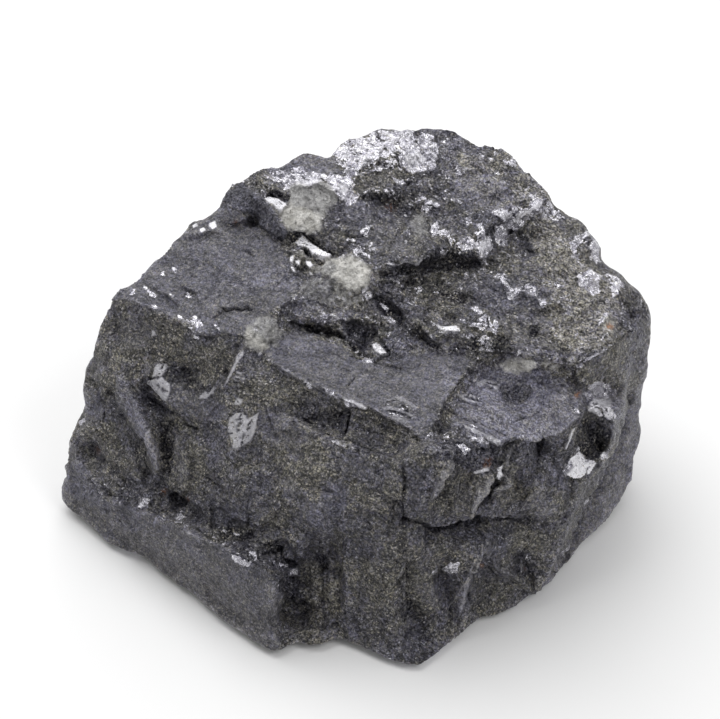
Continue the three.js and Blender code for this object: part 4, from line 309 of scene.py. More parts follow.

# thin lines over the broken faces, with painted shade along the dark ones and a painted highlight along the light ones:
# (half width px, height mm, how dark: painted shade, how light: painted highlight, line)
LINES = [
 (1.3, 0.35, 0.0, 0.38, [(446,454),(440,470),(434,486),(428,501)]),
 (1.6, -0.38, 0.88, 0.0, [(450,456),(445,472),(440,488),(435,504)]),
 (1.2, 0.35, 0.0, 0.42, [(482,471),(477,484),(472,498),(468,509)]),
 (1.6, -0.38, 0.88, 0.0, [(486,474),(482,488),(478,500),(474,510)]),
 (1.2, 0.35, 0.0, 0.42, [(509,465),(504,475),(499,485),(495,493)]),
 (1.5, -0.38, 0.88, 0.0, [(514,466),(509,478),(504,488),(500,497)]),
 (1.1, 0.28, 0.0, 0.38, [(536,474),(532,483),(527,493)]),
 (1.4, 0.42, 0.0, 0.46, [(477,545),(469,562),(460,582),(450,606),(440,630)]),
 (1.4, 0.28, 0.0, 0.3, [(480,560),(472,578),(463,600),(455,620)]),
 (2.0, -0.38, 0.79, 0.0, [(483,552),(476,570),(468,590),(461,608)]),
 (1.2, 0.28, 0.0, 0.38, [(409,557),(403,566),(397,576),(392,586)]),
 (1.5, -0.38, 0.79, 0.0, [(413,558),(407,570),(401,582),(396,592)]),
 (1.6, 0.35, 0.0, 0.34, [(492,562),(500,570),(508,578),(515,586)]),
 (1.4, -0.3, 0.79, 0.0, [(488,566),(496,575),(504,584),(510,590)]),
 (1.0, 0.21, 0.0, 0.34, [(418,508),(424,496),(430,484)]),
 (1.0, 0.21, 0.0, 0.34, [(458,470),(455,482),(452,494)]),
 (1.2, -0.3, 0.7, 0.0, [(566,494),(560,508),(553,524),(546,540)]),
 (1.0, 0.21, 0.0, 0.3, [(570,498),(564,512),(557,530),(549,548)]),
 (2.4, -0.30, 0.75, 0.0, [(509,441),(503,458),(497,475),(494,488)]),
 (1.6, -0.20, 0.55, 0.0, [(434,486),(429,500),(423,518)]),
 (0.8, 0.20, 0.0, 0.28, [(480,464),(476,482),(470,503)]),
 (2.0, -0.30, 0.55, 0.0, [(543,440),(537,456),(530,474),(524,488)]),
 (0.9, 0.20, 0.0, 0.26, [(466,470),(460,488),(452,512)]),
 (1.0, -0.25, 0.25, 0.0, [(300,388),(322,399),(345,410),(368,420),(392,430),(416,440)]),
 (0.9, 0.20, 0.0, 0.30, [(292,376),(316,388),(340,398),(362,407)]),
 (0.8, -0.15, 0.45, 0.0, [(312,376),(334,386),(352,394),(372,400)]),
 (0.8, -0.15, 0.40, 0.0, [(300,352),(324,360),(348,370),(372,378),(396,388)]),
 (0.8, -0.12, 0.35, 0.0, [(380,364),(400,371),(424,378),(444,386)]),
 (0.8, -0.15, 0.40, 0.0, [(404,398),(420,404),(436,410)]),
 (0.9, -0.20, 0.45, 0.0, [(452,412),(470,420),(490,428),(508,437)]),
 (0.8, -0.15, 0.40, 0.0, [(458,404),(474,408),(492,414),(508,420)]),
 (0.8, 0.15, 0.0, 0.30, [(462,416),(480,423),(498,431)]),
 (0.8, -0.2, 0.50, 0.0, [(418,452),(434,448),(450,446),(466,448)]),
 (0.9, -0.2, 0.50, 0.0, [(454,452),(470,446),(486,448),(500,456)]),
 # right of the corner, upper part
 (1.7, 0.55, 0.0, 0.42, [(481,464),(480,474),(478,482),(476,490),(473,497),(471,504),(469,512)]),
 (1.6, 0.45, 0.0, 0.36, [(506,478),(502,484),(497,490),(493,497)]),
 (1.4, 0.40, 0.0, 0.30, [(500,492),(498,500),(496,504)]),
 (1.6, 0.45, 0.0, 0.36, [(538,482),(534,488),(530,494),(527,498)]),
 (1.6, 0.45, 0.0, 0.34, [(447,452),(444,462),(441,472),(437,480),(434,490),(431,499)]),
 (1.5, -0.3, 0.7, 0.0, [(404,468),(405,484),(404,500),(403,518)]),
 (1.6, -0.4, 0.8, 0.0, [(446,496),(447,506),(446,512),(443,517),(441,520)]),
 (1.5, -0.3, 0.6, 0.0, [(443,470),(443,482),(441,492)]),
 (1.5, -0.5, 0.9, 0.0, [(417,523),(424,525),(430,528),(434,529)]),
 (1.7, -0.5, 0.95, 0.0, [(449,527),(460,525),(466,521),(472,519),(480,518),(490,519)]),
 (1.3, -0.3, 0.7, 0.0, [(499,518),(512,519)]),
 (1.3, 0.30, 0.0, 0.40, [(461,444),(470,442),(480,441),(488,444)]),
 (1.2, 0.30, 0.0, 0.45, [(456,453),(461,455),(465,453)]),
 (1.3, -0.3, 0.85, 0.0, [(465,450),(472,451),(478,449),(484,451),(489,448)]),
 (1.4, -0.3, 0.85, 0.0, [(468,458),(474,457),(479,459),(482,457)]),
 (1.8, -0.4, 0.8, 0.0, [(504,446),(503,456),(505,466),(506,476)]),
 (1.4, -0.3, 0.6, 0.0, [(515,444),(513,456),(514,468)]),
 (1.2, 0.25, 0.0, 0.30, [(524,448),(526,456),(528,462)]),
 (1.4, -0.3, 0.6, 0.0, [(556,446),(553,458),(550,470)]),
 (1.2, 0.25, 0.0, 0.30, [(519,508),(527,500),(536,494)]),
 (1.2, 0.25, 0.0, 0.32, [(501,509),(508,513),(517,514)]),
 (1.3, -0.3, 0.6, 0.0, [(566,494),(563,506),(560,518)]),
 # right of the corner, lower part
 (1.5, 0.40, 0.0, 0.38, [(479,540),(476,550),(473,558),(471,563)]),
 (1.5, 0.40, 0.0, 0.38, [(467,566),(465,573),(462,581),(457,590)]),
 (1.4, 0.35, 0.0, 0.30, [(466,580),(460,590),(453,600),(447,612)]),
 (1.3, 0.35, 0.0, 0.32, [(469,608),(464,614),(461,620),(457,626)]),
 (1.4, 0.35, 0.0, 0.36, [(405,562),(402,570),(399,578)]),
 (1.6, -0.4, 0.9, 0.0, [(406,574),(401,579),(397,585),(393,591)]),
 (1.2, -0.3, 0.6, 0.0, [(383,574),(382,581),(386,589)]),
 (1.6, -0.4, 0.8, 0.0, [(418,609),(414,614),(411,618),(406,624)]),
 (1.3, -0.3, 0.6, 0.0, [(476,562),(478,574),(474,588),(470,600)]),
 (1.2, 0.25, 0.0, 0.25, [(380,599),(388,605),(395,611),(401,616)]),
 (1.2, 0.25, 0.0, 0.25, [(376,611),(381,617),(386,623),(391,628)]),
 (1.2, 0.25, 0.0, 0.25, [(340,558),(346,560),(353,560)]),
 (1.3, 0.30, 0.0, 0.28, [(491,560),(503,568),(515,577)]),
 (1.3, -0.3, 0.5, 0.0, [(508,566),(518,572),(528,580)]),
 (1.3, 0.30, 0.0, 0.30, [(432,645),(438,636),(444,628)]),
 # long face
 (1.3, 0.30, 0.0, 0.30, [(292,420),(302,426),(312,430),(322,434),(331,437)]),
 (1.3, -0.4, 0.8, 0.0, [(299,416),(310,423),(321,430),(331,436)]),
 (1.4, 0.30, 0.0, 0.55, [(338,441),(345,443),(352,446),(358,449)]),
 (1.4, -0.4, 0.7, 0.0, [(366,443),(373,447),(380,451)]),
 (1.2, -0.4, 0.9, 0.0, [(348,413),(347,422),(344,430),(341,437)]),
 (1.3, -0.3, 0.5, 0.0, [(248,499),(246,511),(247,520),(244,527)]),
 (1.3, -0.3, 0.7, 0.0, [(203,477),(210,481),(217,487),(224,490)]),
 (1.3, -0.3, 0.7, 0.0, [(183,427),(190,427),(198,429)]),
 (1.2, -0.3, 0.6, 0.0, [(174,421),(174,429),(177,437)]),
 (1.3, 0.30, 0.0, 0.40, [(121,387),(124,393),(127,397)]),
 (1.2, 0.30, 0.0, 0.32, [(131,377),(135,386),(140,394)]),
 (1.4, -0.4, 0.7, 0.0, [(92,385),(97,392),(101,402),(102,418)]),
 (1.3, -0.3, 0.7, 0.0, [(88,455),(96,457),(105,461)]),
 (1.2, -0.3, 0.5, 0.0, [(149,392),(156,401),(163,410)]),
 (1.3, 0.25, 0.0, 0.30, [(96,492),(104,496),(112,502)]),
 (1.2, -0.3, 0.6, 0.0, [(236,466),(246,463),(256,468)]),
 (1.3, -0.3, 0.5, 0.0, [(280,500),(287,506),(294,510)]),
 (1.2, -0.3, 0.6, 0.0, [(372,506),(380,509),(386,516)]),
 (1.2, -0.3, 0.6, 0.0, [(366,520),(371,528),(374,534)]),
 # block and recess
 (1.3, -0.3, 0.6, 0.0, [(214,539),(219,538),(222,541)]),
 (1.3, -0.3, 0.6, 0.0, [(262,562),(270,571),(279,582)]),
 (1.3, -0.3, 0.6, 0.0, [(270,556),(280,566),(287,576)]),
 (1.3, -0.3, 0.7, 0.0, [(283,592),(291,582),(299,572)]),
 (1.2, 0.25, 0.0, 0.40, [(286,580),(292,574),(298,566)]),
 (1.2, 0.25, 0.0, 0.45, [(246,548),(252,553),(258,558)]),
 (1.2, -0.3, 0.5, 0.0, [(117,520),(124,525),(130,528)]),
 (1.4, -0.3, 0.5, 0.0, [(309,566),(309,582),(308,600)]),
 (1.4, -0.3, 0.5, 0.0, [(322,558),(321,576),(322,598)]),
 (1.4, 0.30, 0.0, 0.28, [(328,612),(328,624),(327,638)]),
 (1.4, 0.30, 0.0, 0.25, [(305,612),(306,624),(306,638)]),
]
# smooth patches on the broken faces: (strength, how light, outline)
CALM = [
 (0.8, 0.00, [(322,488),(330,484),(342,486),(346,496),(344,510),(336,516),(328,514),(321,504)]),
 (0.7, 0.10, [(258,408),(280,412),(300,424),(312,440),(300,446),(280,444),(262,440),(256,424)]),
 (0.6, 0.05, [(338,456),(352,454),(372,460),(376,476),(362,484),(344,480),(336,468)]),
 (0.6, 0.40, [(282,480),(290,484),(294,492),(290,496),(284,490)]),
 (0.6, 0.30, [(300,506),(312,502),(322,508),(330,524),(320,528),(306,518)]),
 (0.7, 0.30, [(286,450),(300,446),(304,456),(294,462),(286,458)]),
 (0.6, 0.05, [(120,316),(160,324),(156,342),(140,350),(120,344)]),
 (0.7, 0.10, [(170,384),(186,388),(206,396),(226,404),(226,418),(200,420),(176,410),(166,400)]),
 (0.6, 0.25, [(128,398),(140,410),(150,424),(158,444),(162,466),(154,470),(146,450),(136,430),(128,414)]),
 (0.6, 0.15, [(170,430),(178,438),(186,456),(190,476),(178,482),(172,462),(168,444)]),
 (0.8, 0.10, [(64,470),(76,452),(84,462),(96,484),(110,500),(100,500),(80,486),(62,500)]),
 (0.6, 0.30, [(86,402),(96,398),(100,412),(92,418),(86,414)]),
 (0.5, 0.05, [(240,490),(260,500),(280,512),(262,516),(244,508)]),
 (0.6, 0.05, [(205,500),(235,506),(246,520),(238,532),(215,520)]),
 (0.7, 0.35, [(524,502),(530,496),(538,492),(548,494),(555,500),(556,508),(548,514),(538,514),(530,510)]),
 (0.6, 0.45, [(546,464),(552,462),(557,466),(554,472),(548,470)]),
 (0.6, 0.40, [(560,472),(564,476),(563,486),(559,490),(557,480)]),
 (0.3, 0.20, [(430,585),(440,575),(450,585),(452,600),(445,615),(438,605)]),
 (0.6, 0.25, [(416,582),(428,580),(434,592),(438,604),(426,604),(418,594)]),
 (0.7, 0.30, [(344,620),(350,622),(357,628),(358,634),(352,636),(346,630)]),
 (0.7, 0.20, [(320,618),(335,616),(336,636),(322,638)]),
 (0.6, 0.20, [(450,622),(455,607),(460,592),(466,578),(470,585),(466,600),(460,612),(455,625)]),
 (0.5, 0.10, [(450,484),(470,480),(472,496),(464,508),(450,504)]),
 (0.5, 0.10, [(410,620),(424,628),(420,650),(408,654),(404,636)]),
]

# broad lighter ground, partly lighter tone and partly painted light on faces and recesses that the lamps leave darker:
# (strength, outline)
LIGHTER_TONE_AND_LIGHT = [
 (0.40, [(440,618),(468,610),(482,620),(466,638),(446,648),(434,640)]),
 (0.25, [(288,378),(320,394),(360,412),(400,430),(430,446),(420,452),(380,436),(330,416),(292,398)]),
 (0.50, [(536,232),(552,224),(566,232),(576,246),(586,262),(600,276),(612,292),(622,310),(618,330),(606,344),(592,350),(580,354),(566,350),(556,338),(548,318),(552,300),(546,282),(540,262),(532,246)]),
 (0.45, [(262,538),(282,542),(300,552),(306,562),(288,560),(268,552)]),
 (0.85, [(452,384),(476,372),(500,374),(540,380),(572,392),(580,410),(566,432),(540,440),(512,440),(486,430),(462,410)]),
 (0.50, [(226,200),(240,195),(250,207),(244,220),(231,217)]),
 (0.85, [(358,266),(380,269),(402,273),(405,285),(384,289),(360,285)]),
 (0.40, [(268,560),(294,566),(300,592),(299,625),(288,640),(272,620),(262,590)]),
 (0.90, [(390,340),(410,338),(440,342),(470,344),(466,354),(436,352),(400,352)]),
 (0.35, [(520,258),(545,256),(566,262),(572,290),(560,300),(530,296)]),
 (0.40, [(262,268),(290,264),(300,280),(286,292),(262,288),(240,292),(222,288),(240,280)]),
 (1.00, [(584,384),(592,380),(604,377),(614,381),(621,392),(622,408),(620,417),(606,418),(594,412),(587,402)]),
 (1.00, [(478,358),(500,354),(530,352),(560,354),(582,360),(584,380),(566,392),(545,384),(520,378),(498,376),(480,370)]),
 (0.75, [(296,308),(318,306),(345,312),(352,322),(340,330),(316,324),(298,322)]),
 (0.30, [(303,570),(312,562),(336,560),(341,600),(338,640),(302,642),(300,600)]),
 (0.35, [(330,157),(346,141),(366,137),(396,129),(416,136),(437,138),(440,162),(425,168),(410,176),(398,162),(372,164),(360,174),(344,164)]),
 (1.00, [(536,232),(552,224),(566,232),(576,246),(586,262),(600,276),(612,292),(622,310),(618,330),(606,344),(592,350),(580,354),(566,350),(556,338),(548,318),(552,300),(546,282),(540,262),(532,246)]),
 (0.70, [(440,140),(470,138),(500,150),(524,168),(545,190),(560,225),(540,232),(500,212),(470,205),(450,180)]),
 (0.50, [(440,368),(500,374),(560,380),(590,392),(582,416),(545,440),(500,443),(450,430),(444,400)]),
 (0.02, [(350,182),(400,200),(450,196),(480,206),(486,240),(440,246),(400,252),(372,244),(352,214)]),
 (0.35, [(262,176),(285,168),(300,152),(312,154),(330,162),(345,172),(335,176),(318,171),(300,175),(282,182),(268,184)]),
 (0.20, [(486,292),(500,300),(520,304),(540,308),(548,318),(552,340),(540,352),(520,350),(508,340),(500,322),(488,310)]),
]

# ---- painted shade in hollows, under ledges and on risers, and dull dark faces: (strength, outline)
DARK_AND_SHADE = [
 (0.70, [(580,424),(590,424),(600,430),(590,440),(580,447),(573,459),(564,468),(557,482),(553,477),(559,465),(568,450),(575,436)]),
 (0.14, [(403,470),(424,450),(452,440),(500,448),(545,446),(562,440),(560,470),(556,500),(552,540),(538,580),(480,616),(420,660),(404,640),(403,560)]),
 (0.12, [(120,420),(200,430),(290,470),(360,500),(400,520),(400,600),(360,560),(300,540),(250,530),(180,505),(110,470)]),
 (0.35, [(340,172),(352,168),(372,178),(400,178),(404,186),(376,190),(354,188)]),
 (0.22, [(440,500),(480,505),(520,520),(500,550),(460,552),(430,535)]),
 (0.60, [(378,149),(386,148),(393,152),(392,158),(383,158)]),
 (0.30, [(338,152),(346,150),(352,156),(348,164),(340,162)]),
 (0.55, [(546,206),(556,206),(562,216),(556,222),(548,218)]),
 (0.50, [(276,168),(290,166),(298,170),(294,177),(280,179)]),
 (0.45, [(346,136),(356,131),(376,127),(410,125),(412,130),(392,133),(372,136),(356,140),(346,143)]),
 (0.50, [(338,150),(347,152),(349,161),(342,165),(336,158)]),
 (0.40, [(446,140),(458,140),(462,148),(450,150)]),
 (0.40, [(440,138),(458,136),(470,145),(464,156),(448,156),(440,148)]),
 (0.35, [(130,496),(150,495),(156,508),(138,511)]),
 (0.85, [(440,440),(462,444),(492,452),(500,464),(480,470),(452,462),(438,452)]),
 (0.50, [(470,456),(486,458),(500,464),(512,476),(508,492),(494,498),(480,490),(472,476)]),
 (0.50, [(440,560),(462,556),(484,552),(486,566),(470,574),(448,576)]),
 (0.30, [(318,436),(336,436),(352,444),(346,452),(328,448)]),
 (0.50, [(430,426),(448,422),(462,434),(460,462),(452,486),(440,492),(432,462)]),
 (0.35, [(408,198),(424,196),(438,206),(442,226),(430,238),(414,226)]),
 (0.75, [(366,162),(380,159),(394,163),(393,172),(376,175)]),
 (0.30, [(330,246),(346,248),(364,252),(366,260),(346,258),(330,256)]),
 (0.15, [(292,321),(300,319),(312,321),(322,324),(336,328),(345,331),(345,336),(335,335),(322,332),(310,329),(298,328)]),
 (0.62, [(340,320),(352,321),(365,323),(378,326),(382,334),(376,345),(366,350),(356,345),(348,336),(340,328)]),
 (0.95, [(349,324),(354,323),(354,332),(350,334)]),
 (0.95, [(360,326),(365,328),(364,345),(360,347)]),
 (0.85, [(378,336),(384,344),(391,353),(388,356),(379,345)]),
 (0.40, [(220,220),(238,218),(242,228),(236,238),(222,234)]),
 (0.80, [(374,297),(384,295),(396,304),(404,318),(400,326),(392,320),(384,310),(376,306)]),
 (0.80, [(377,273),(392,268),(406,260),(420,252),(436,248),(452,247),(470,246),(479,252),(481,264),(470,270),(452,270),(436,272),(415,273),(395,277),(380,278)]),
 (0.55, [(380,280),(420,276),(440,280),(462,290),(470,300),(460,306),(440,302),(420,292),(396,290)]),
 (0.80, [(440,292),(456,291),(470,298),(466,305),(452,304),(442,299)]),
 (0.70, [(358,193),(372,191),(388,190),(402,196),(400,206),(386,208),(372,202),(360,202)]),
 (0.55, [(398,196),(412,190),(426,200),(432,214),(420,224),(408,216),(400,208)]),
 (0.70, [(398,176),(410,177),(424,172),(440,168),(440,176),(424,182),(410,187),(400,184)]),
 (0.25, [(360,173),(368,164),(380,163),(386,168),(380,176),(366,178)]),
 (0.75, [(400,322),(412,326),(424,333),(436,342),(446,350),(462,344),(480,336),(500,338),(516,345),(526,354),(548,354),(548,361),(522,360),(504,358),(480,352),(462,356),(444,356),(430,350),(414,338)]),
 (0.60, [(470,340),(490,338),(506,346),(508,358),(498,364),(480,364),(468,356)]),
 (0.80, [(414,326),(424,331),(434,338),(444,348),(440,350),(430,345),(420,336)]),
 (0.75, [(529,327),(534,323),(540,328),(538,337),(530,336)]),
 (0.75, [(514,232),(522,230),(528,240),(533,254),(527,254),(520,242)]),
 (0.65, [(500,228),(512,222),(516,230),(508,240),(500,238)]),
 (0.70, [(488,194),(497,189),(503,195),(498,203),(490,201)]),
 (0.50, [(480,238),(490,228),(502,222),(498,232),(488,242)]),
 (0.55, [(444,136),(462,138),(478,148),(470,154),(452,150)]),
 (0.50, [(484,150),(508,156),(514,168),(500,176),(486,166)]),
 (0.35, [(528,172),(545,185),(552,198),(534,196),(524,184)]),
 (0.20, [(478,372),(500,374),(535,376),(536,381),(500,381),(478,378)]),
 (0.45, [(470,362),(476,366),(455,400),(440,425),(428,440),(422,438),(436,412),(456,384)]),
 (0.30, [(572,370),(579,373),(582,386),(576,390),(571,382)]),
 (0.30, [(588,417),(593,412),(598,418),(605,421),(613,418),(606,424),(596,422)]),
 (0.40, [(538,436),(547,434),(550,448),(547,470),(541,474),(538,458)]),
 (0.60, [(502,442),(511,441),(512,462),(508,478),(502,478),(499,462)]),
 (0.50, [(456,447),(476,448),(500,444),(500,458),(480,462),(458,460)]),
 (0.70, [(430,496),(444,486),(447,492),(440,505),(430,504)]),
 (0.70, [(400,466),(407,466),(407,520),(408,560),(401,560),(400,520)]),
 (0.55, [(385,500),(395,498),(397,530),(388,530)]),
 (0.40, [(420,522),(432,526),(448,524),(462,518),(474,515),(490,516),(490,521),(470,521),(450,528),(430,532),(418,526)]),
 (0.60, [(396,556),(410,556),(414,580),(412,604),(400,606),(396,580)]),
 (0.70, [(400,606),(420,602),(428,616),(420,626),(404,622)]),
 (0.25, [(430,560),(456,560),(452,590),(440,625),(430,590)]),
 (0.50, [(470,562),(484,566),(482,600),(474,606),(466,596)]),
 (0.55, [(512,558),(536,554),(540,572),(524,582),(514,572)]),
 (0.65, [(228,536),(245,532),(262,539),(285,550),(301,562),(298,576),(286,600),(276,588),(266,572),(250,560),(232,550)]),
 (0.85, [(276,572),(300,570),(294,600),(284,600)]),
 (0.22, [(304,552),(320,548),(336,556),(339,600),(336,640),(302,640),(302,600)]),
 (0.42, [(304,566),(309,572),(307,600),(309,634),(303,632),(302,600)]),
 (0.40, [(320,560),(325,562),(323,590),(324,632),(319,632),(319,590)]),
 (0.42, [(334,570),(339,566),(341,600),(339,638),(335,634),(335,600)]),
 (0.85, [(316,554),(328,557),(326,572),(317,570)]),
 (0.60, [(86,444),(94,442),(98,448),(94,452)]),
 (0.90, [(166,496),(176,494),(184,500),(180,507),(172,504)]),
 (0.55, [(182,500),(200,505),(222,516),(240,530),(225,534),(204,524),(186,514)]),
 (0.60, [(104,384),(114,384),(122,400),(128,420),(118,422),(108,404)]),
 (0.65, [(164,364),(186,364),(192,378),(212,388),(206,396),(186,388),(168,384)]),
 (0.60, [(140,388),(150,392),(160,408),(156,414),(146,404)]),
 (0.55, [(128,424),(136,428),(150,466),(160,492),(148,494),(134,470),(126,446)]),
 (0.55, [(96,450),(116,462),(140,480),(136,488),(112,476),(96,462)]),
 (0.55, [(158,420),(166,424),(172,468),(170,480),(161,460)]),
 (0.62, [(286,400),(304,398),(330,408),(346,414),(344,433),(320,428),(300,420),(287,412)]),
 (0.45, [(285,380),(320,394),(345,405),(370,415),(400,430),(398,438),(360,424),(320,408),(285,394)]),
 (0.50, [(340,430),(362,434),(380,446),(376,454),(350,442)]),
 (0.55, [(182,424),(198,426),(200,432),(186,432)]),
 (0.60, [(245,346),(258,346),(258,355),(248,356)]),
 (0.50, [(214,352),(224,356),(230,368),(222,380),(214,372)]),
 (0.45, [(207,386),(212,380),(216,384),(210,390)]),
 (0.45, [(150,315),(200,336),(240,342),(236,350),(196,344),(150,324)]),
 (0.45, [(322,498),(340,500),(342,516),(326,514)]),
]

# ---- violet-grey metal skin on the dull faces, and olive-brown coating: (strength, outline)
VIOLET = [
 (0.7, [(434,430),(452,424),(480,432),(502,444),(500,462),(476,470),(450,466),(436,452)]),
 (0.6, [(224,536),(250,544),(285,566),(300,588),(296,604),(270,586),(240,564)]),
 (0.6, [(430,560),(458,558),(452,592),(440,628),(430,650),(410,655),(402,630),(420,640),(434,600)]),
 (0.6, [(404,466),(436,464),(434,490),(426,504),(408,512)]),
 (0.5, [(480,530),(512,530),(510,556),(486,556)]),
 (0.7, [(550,440),(562,448),(562,478),(556,492),(548,470)]),
 (0.6, [(240,540),(300,560),(283,598),(256,568),(236,560)]),
 (0.5, [(205,430),(228,430),(226,452),(206,450)]),
 (0.5, [(322,478),(350,482),(344,520),(324,512)]),
 (0.5, [(140,470),(160,478),(170,500),(150,498)]),
 (0.5, [(205,495),(250,505),(250,530),(215,522)]),
 (0.5, [(340,540),(372,540),(372,560),(345,558)]),
 (0.6, [(112,402),(124,402),(128,418),(116,421)]),
 (0.5, [(125,375),(140,400),(150,440),(160,470),(150,466),(138,430),(124,400)]),
 (0.5, [(84,386),(100,388),(102,420),(86,412)]),
 (0.7, [(454,440),(500,448),(498,466),(470,474),(452,466)]),
 (0.6, [(505,372),(540,372),(560,392),(540,394),(520,382)]),
 (0.6, [(340,320),(378,326),(364,350),(345,336)]),
 (0.6, [(355,455),(385,462),(380,500),(355,490)]),
]
OLIVE = [
 (0.6, [(66,492),(80,500),(120,520),(170,545),(215,570),(240,590),(262,640),(240,632),(200,604),(150,564),(100,546),(66,512)]),
 (0.7, [(536,232),(552,224),(566,232),(576,246),(586,262),(600,276),(612,292),(622,310),(618,330),(606,344),(592,350),(580,354),(566,350),(556,338),(548,318),(552,300),(546,282),(540,262),(532,246)]),
 (0.7, [(300,562),(338,566),(338,618),(300,618)]),
 (0.7, [(478,580),(520,575),(510,600),(480,612)]),
 (0.6, [(404,556),(432,580),(440,630),(426,640),(412,600)]),
 (0.6, [(440,466),(470,474),(470,512),(444,516)]),
 (0.6, [(200,345),(228,345),(226,372),(202,380)]),
 (0.6, [(172,445),(200,440),(212,470),(190,490),(172,476)]),
 (0.6, [(250,380),(275,382),(272,400),(250,402)]),
 (0.6, [(290,440),(330,455),(330,480),(290,480)]),
 (0.5, [(350,560),(400,560),(398,600),(350,596)]),
 (0.6, [(500,480),(536,484),(534,500),(505,500)]),
 (0.6, [(540,480),(562,490),(560,520),(540,520)]),
 (0.6, [(515,525),(545,530),(540,552),(515,550)]),
 (0.6, [(160,340),(200,345),(190,362),(160,360)]),
 (0.5, [(262,560),(282,590),(280,640),(262,620)]),
 (0.6, [(82,425),(110,425),(112,440),(86,442)]),
 (0.6, [(462,338),(505,341),(498,366),(466,358)]),
 (0.5, [(405,268),(470,270),(470,300),(410,296)]),
 (0.5, [(560,300),(600,300),(600,345),(562,345)]),
 (0.5, [(250,176),(268,170),(270,184),(254,188)]),
 (0.5, [(484,152),(512,160),(512,172),(486,168)]),
]
RUST = [(482,461,3.5),(577,394,3.5),(610,327,4.0),(182,500,3.0),(161,494,3.0),(96,452,3.0),(482,566,2.5),(526,571,2.0),(236,224,2.5),(390,205,5.0)]

# ---- open cracks, darkened with painted shade: (half width px, depth mm, darkness of the painted shade, line)
GROOVES = [
 (3.6, 0.9, 0.9, [(290,323),(302,326),(320,330),(338,334),(350,342),(360,350),(372,355),(388,353)]),
 (1.8, 0.4, 0.7, [(350,356),(366,359),(384,364),(402,368)]),
 (2.4, 0.6, 0.9, [(221,308),(227,310),(235,308),(239,310),(246,308),(253,312)]),
 (1.5, 0.3, 0.5, [(212,318),(220,313),(226,310)]),
 (1.8, 0.4, 0.6, [(294,422),(308,428),(322,433),(332,436)]),
 (1.8, 0.4, 0.6, [(336,440),(350,441),(366,449),(376,452)]),
 (2.0, 0.5, 0.7, [(349,413),(347,422),(344,432)]),
 (1.6, 0.3, 0.7, [(444,408),(452,412),(458,415)]),
 (1.6, 0.3, 0.7, [(462,417),(470,421),(480,424)]),
 (1.4, 0.2, 0.5, [(468,424),(484,432),(500,440)]),
 (1.6, 0.3, 0.6, [(516,421),(522,418),(532,416),(538,412)]),
 (1.6, 0.3, 0.6, [(539,403),(544,404),(552,407)]),
 (1.6, 0.3, 0.6, [(461,401),(470,403),(481,406)]),
 (3.0, 0.6, 0.9, [(400,521),(412,522),(424,523),(432,529),(447,526),(460,520),(472,516),(486,517),(500,519),(515,520)]),
 (1.8, 0.3, 0.6, [(200,475),(208,480),(213,485),(223,488)]),
 (2.0, 0.4, 0.6, [(182,424),(190,428),(197,430)]),
 (2.0, 0.4, 0.6, [(91,380),(96,390),(100,402),(102,424)]),
 (2.2, 0.5, 0.6, [(146,396),(152,403),(159,411)]),
 (2.2, 0.5, 0.6, [(160,430),(164,444),(165,458),(168,474)]),
 (2.2, 0.5, 0.6, [(82,458),(88,474),(93,486),(104,496)]),
 (1.8, 0.4, 0.6, [(210,540),(217,539),(223,543)]),
 (2.0, 0.4, 0.7, [(402,578),(398,586),(392,592)]),
 (2.4, 0.5, 0.7, [(418,610),(412,616),(406,623)]),
 (2.0, 0.4, 0.6, [(470,586),(470,598),(471,606)]),
 (2.4, 0.5, 0.7, [(448,494),(445,506),(441,519)]),
 (2.0, 0.2, 0.3, [(361,170),(368,165),(376,163),(386,167)]),
 (1.8, 0.2, 0.3, [(399,165),(404,170),(412,176)]),
 (1.8, 0.5, 0.9, [(303,235),(314,242),(330,256)]),
 (1.8, 0.4, 0.8, [(299,248),(306,250),(315,258),(324,264)]),
 (1.6, 0.4, 0.7, [(433,322),(437,325),(443,328)]),
 (1.8, 0.5, 0.8, [(480,238),(490,229),(500,220),(512,210)]),
 (2.0, 0.4, 0.6, [(492,198),(498,194),(503,199)]),
 (2.0, 0.4, 0.6, [(548,323),(556,315),(564,307)]),
 (1.8, 0.4, 0.6, [(598,300),(604,298),(608,303)]),
 (1.8, 0.4, 0.6, [(557,270),(563,274),(568,279)]),
 (2.2, 0.5, 0.6, [(378,286),(386,292),(398,298),(408,306)]),
 (2.0, 0.5, 0.6, [(336,222),(344,220),(352,224),(360,226)]),
 (2.0, 0.5, 0.6, [(344,232),(352,238),(362,236),(372,228)]),
 (2.0, 0.4, 0.6, [(338,244),(332,250),(326,258)]),
 (1.8, 0.4, 0.6, [(240,250),(247,250),(254,256)]),
 (1.8, 0.4, 0.6, [(256,236),(259,240)]),
 (1.8, 0.3, 0.6, [(308,382),(314,387),(322,390)]),
 (1.8, 0.3, 0.6, [(346,386),(351,381),(355,377)]),
 (2.0, 0.4, 0.6, [(402,412),(407,410),(408,418)]),
 (2.0, 0.4, 0.6, [(572,372),(577,380),(580,392)]),
 (2.4, 0.5, 0.6, [(603,346),(612,343),(622,337),(630,330)]),
 (1.8, 0.4, 0.6, [(620,322),(627,330),(620,338)]),
 (1.8, 0.3, 0.6, [(622,300),(632,312),(636,322)]),
 (1.8, 0.4, 0.6, [(578,474),(586,466),(594,462)]),
 (1.8, 0.4, 0.6, [(582,470),(577,477),(570,481)]),
 (2.0, 0.5, 0.6, [(554,352),(566,362),(576,366)]),
 (1.6, 0.3, 0.5, [(484,383),(491,386)]),
 (2.0, 0.4, 0.5, [(247,517),(246,524),(243,528)]),
]

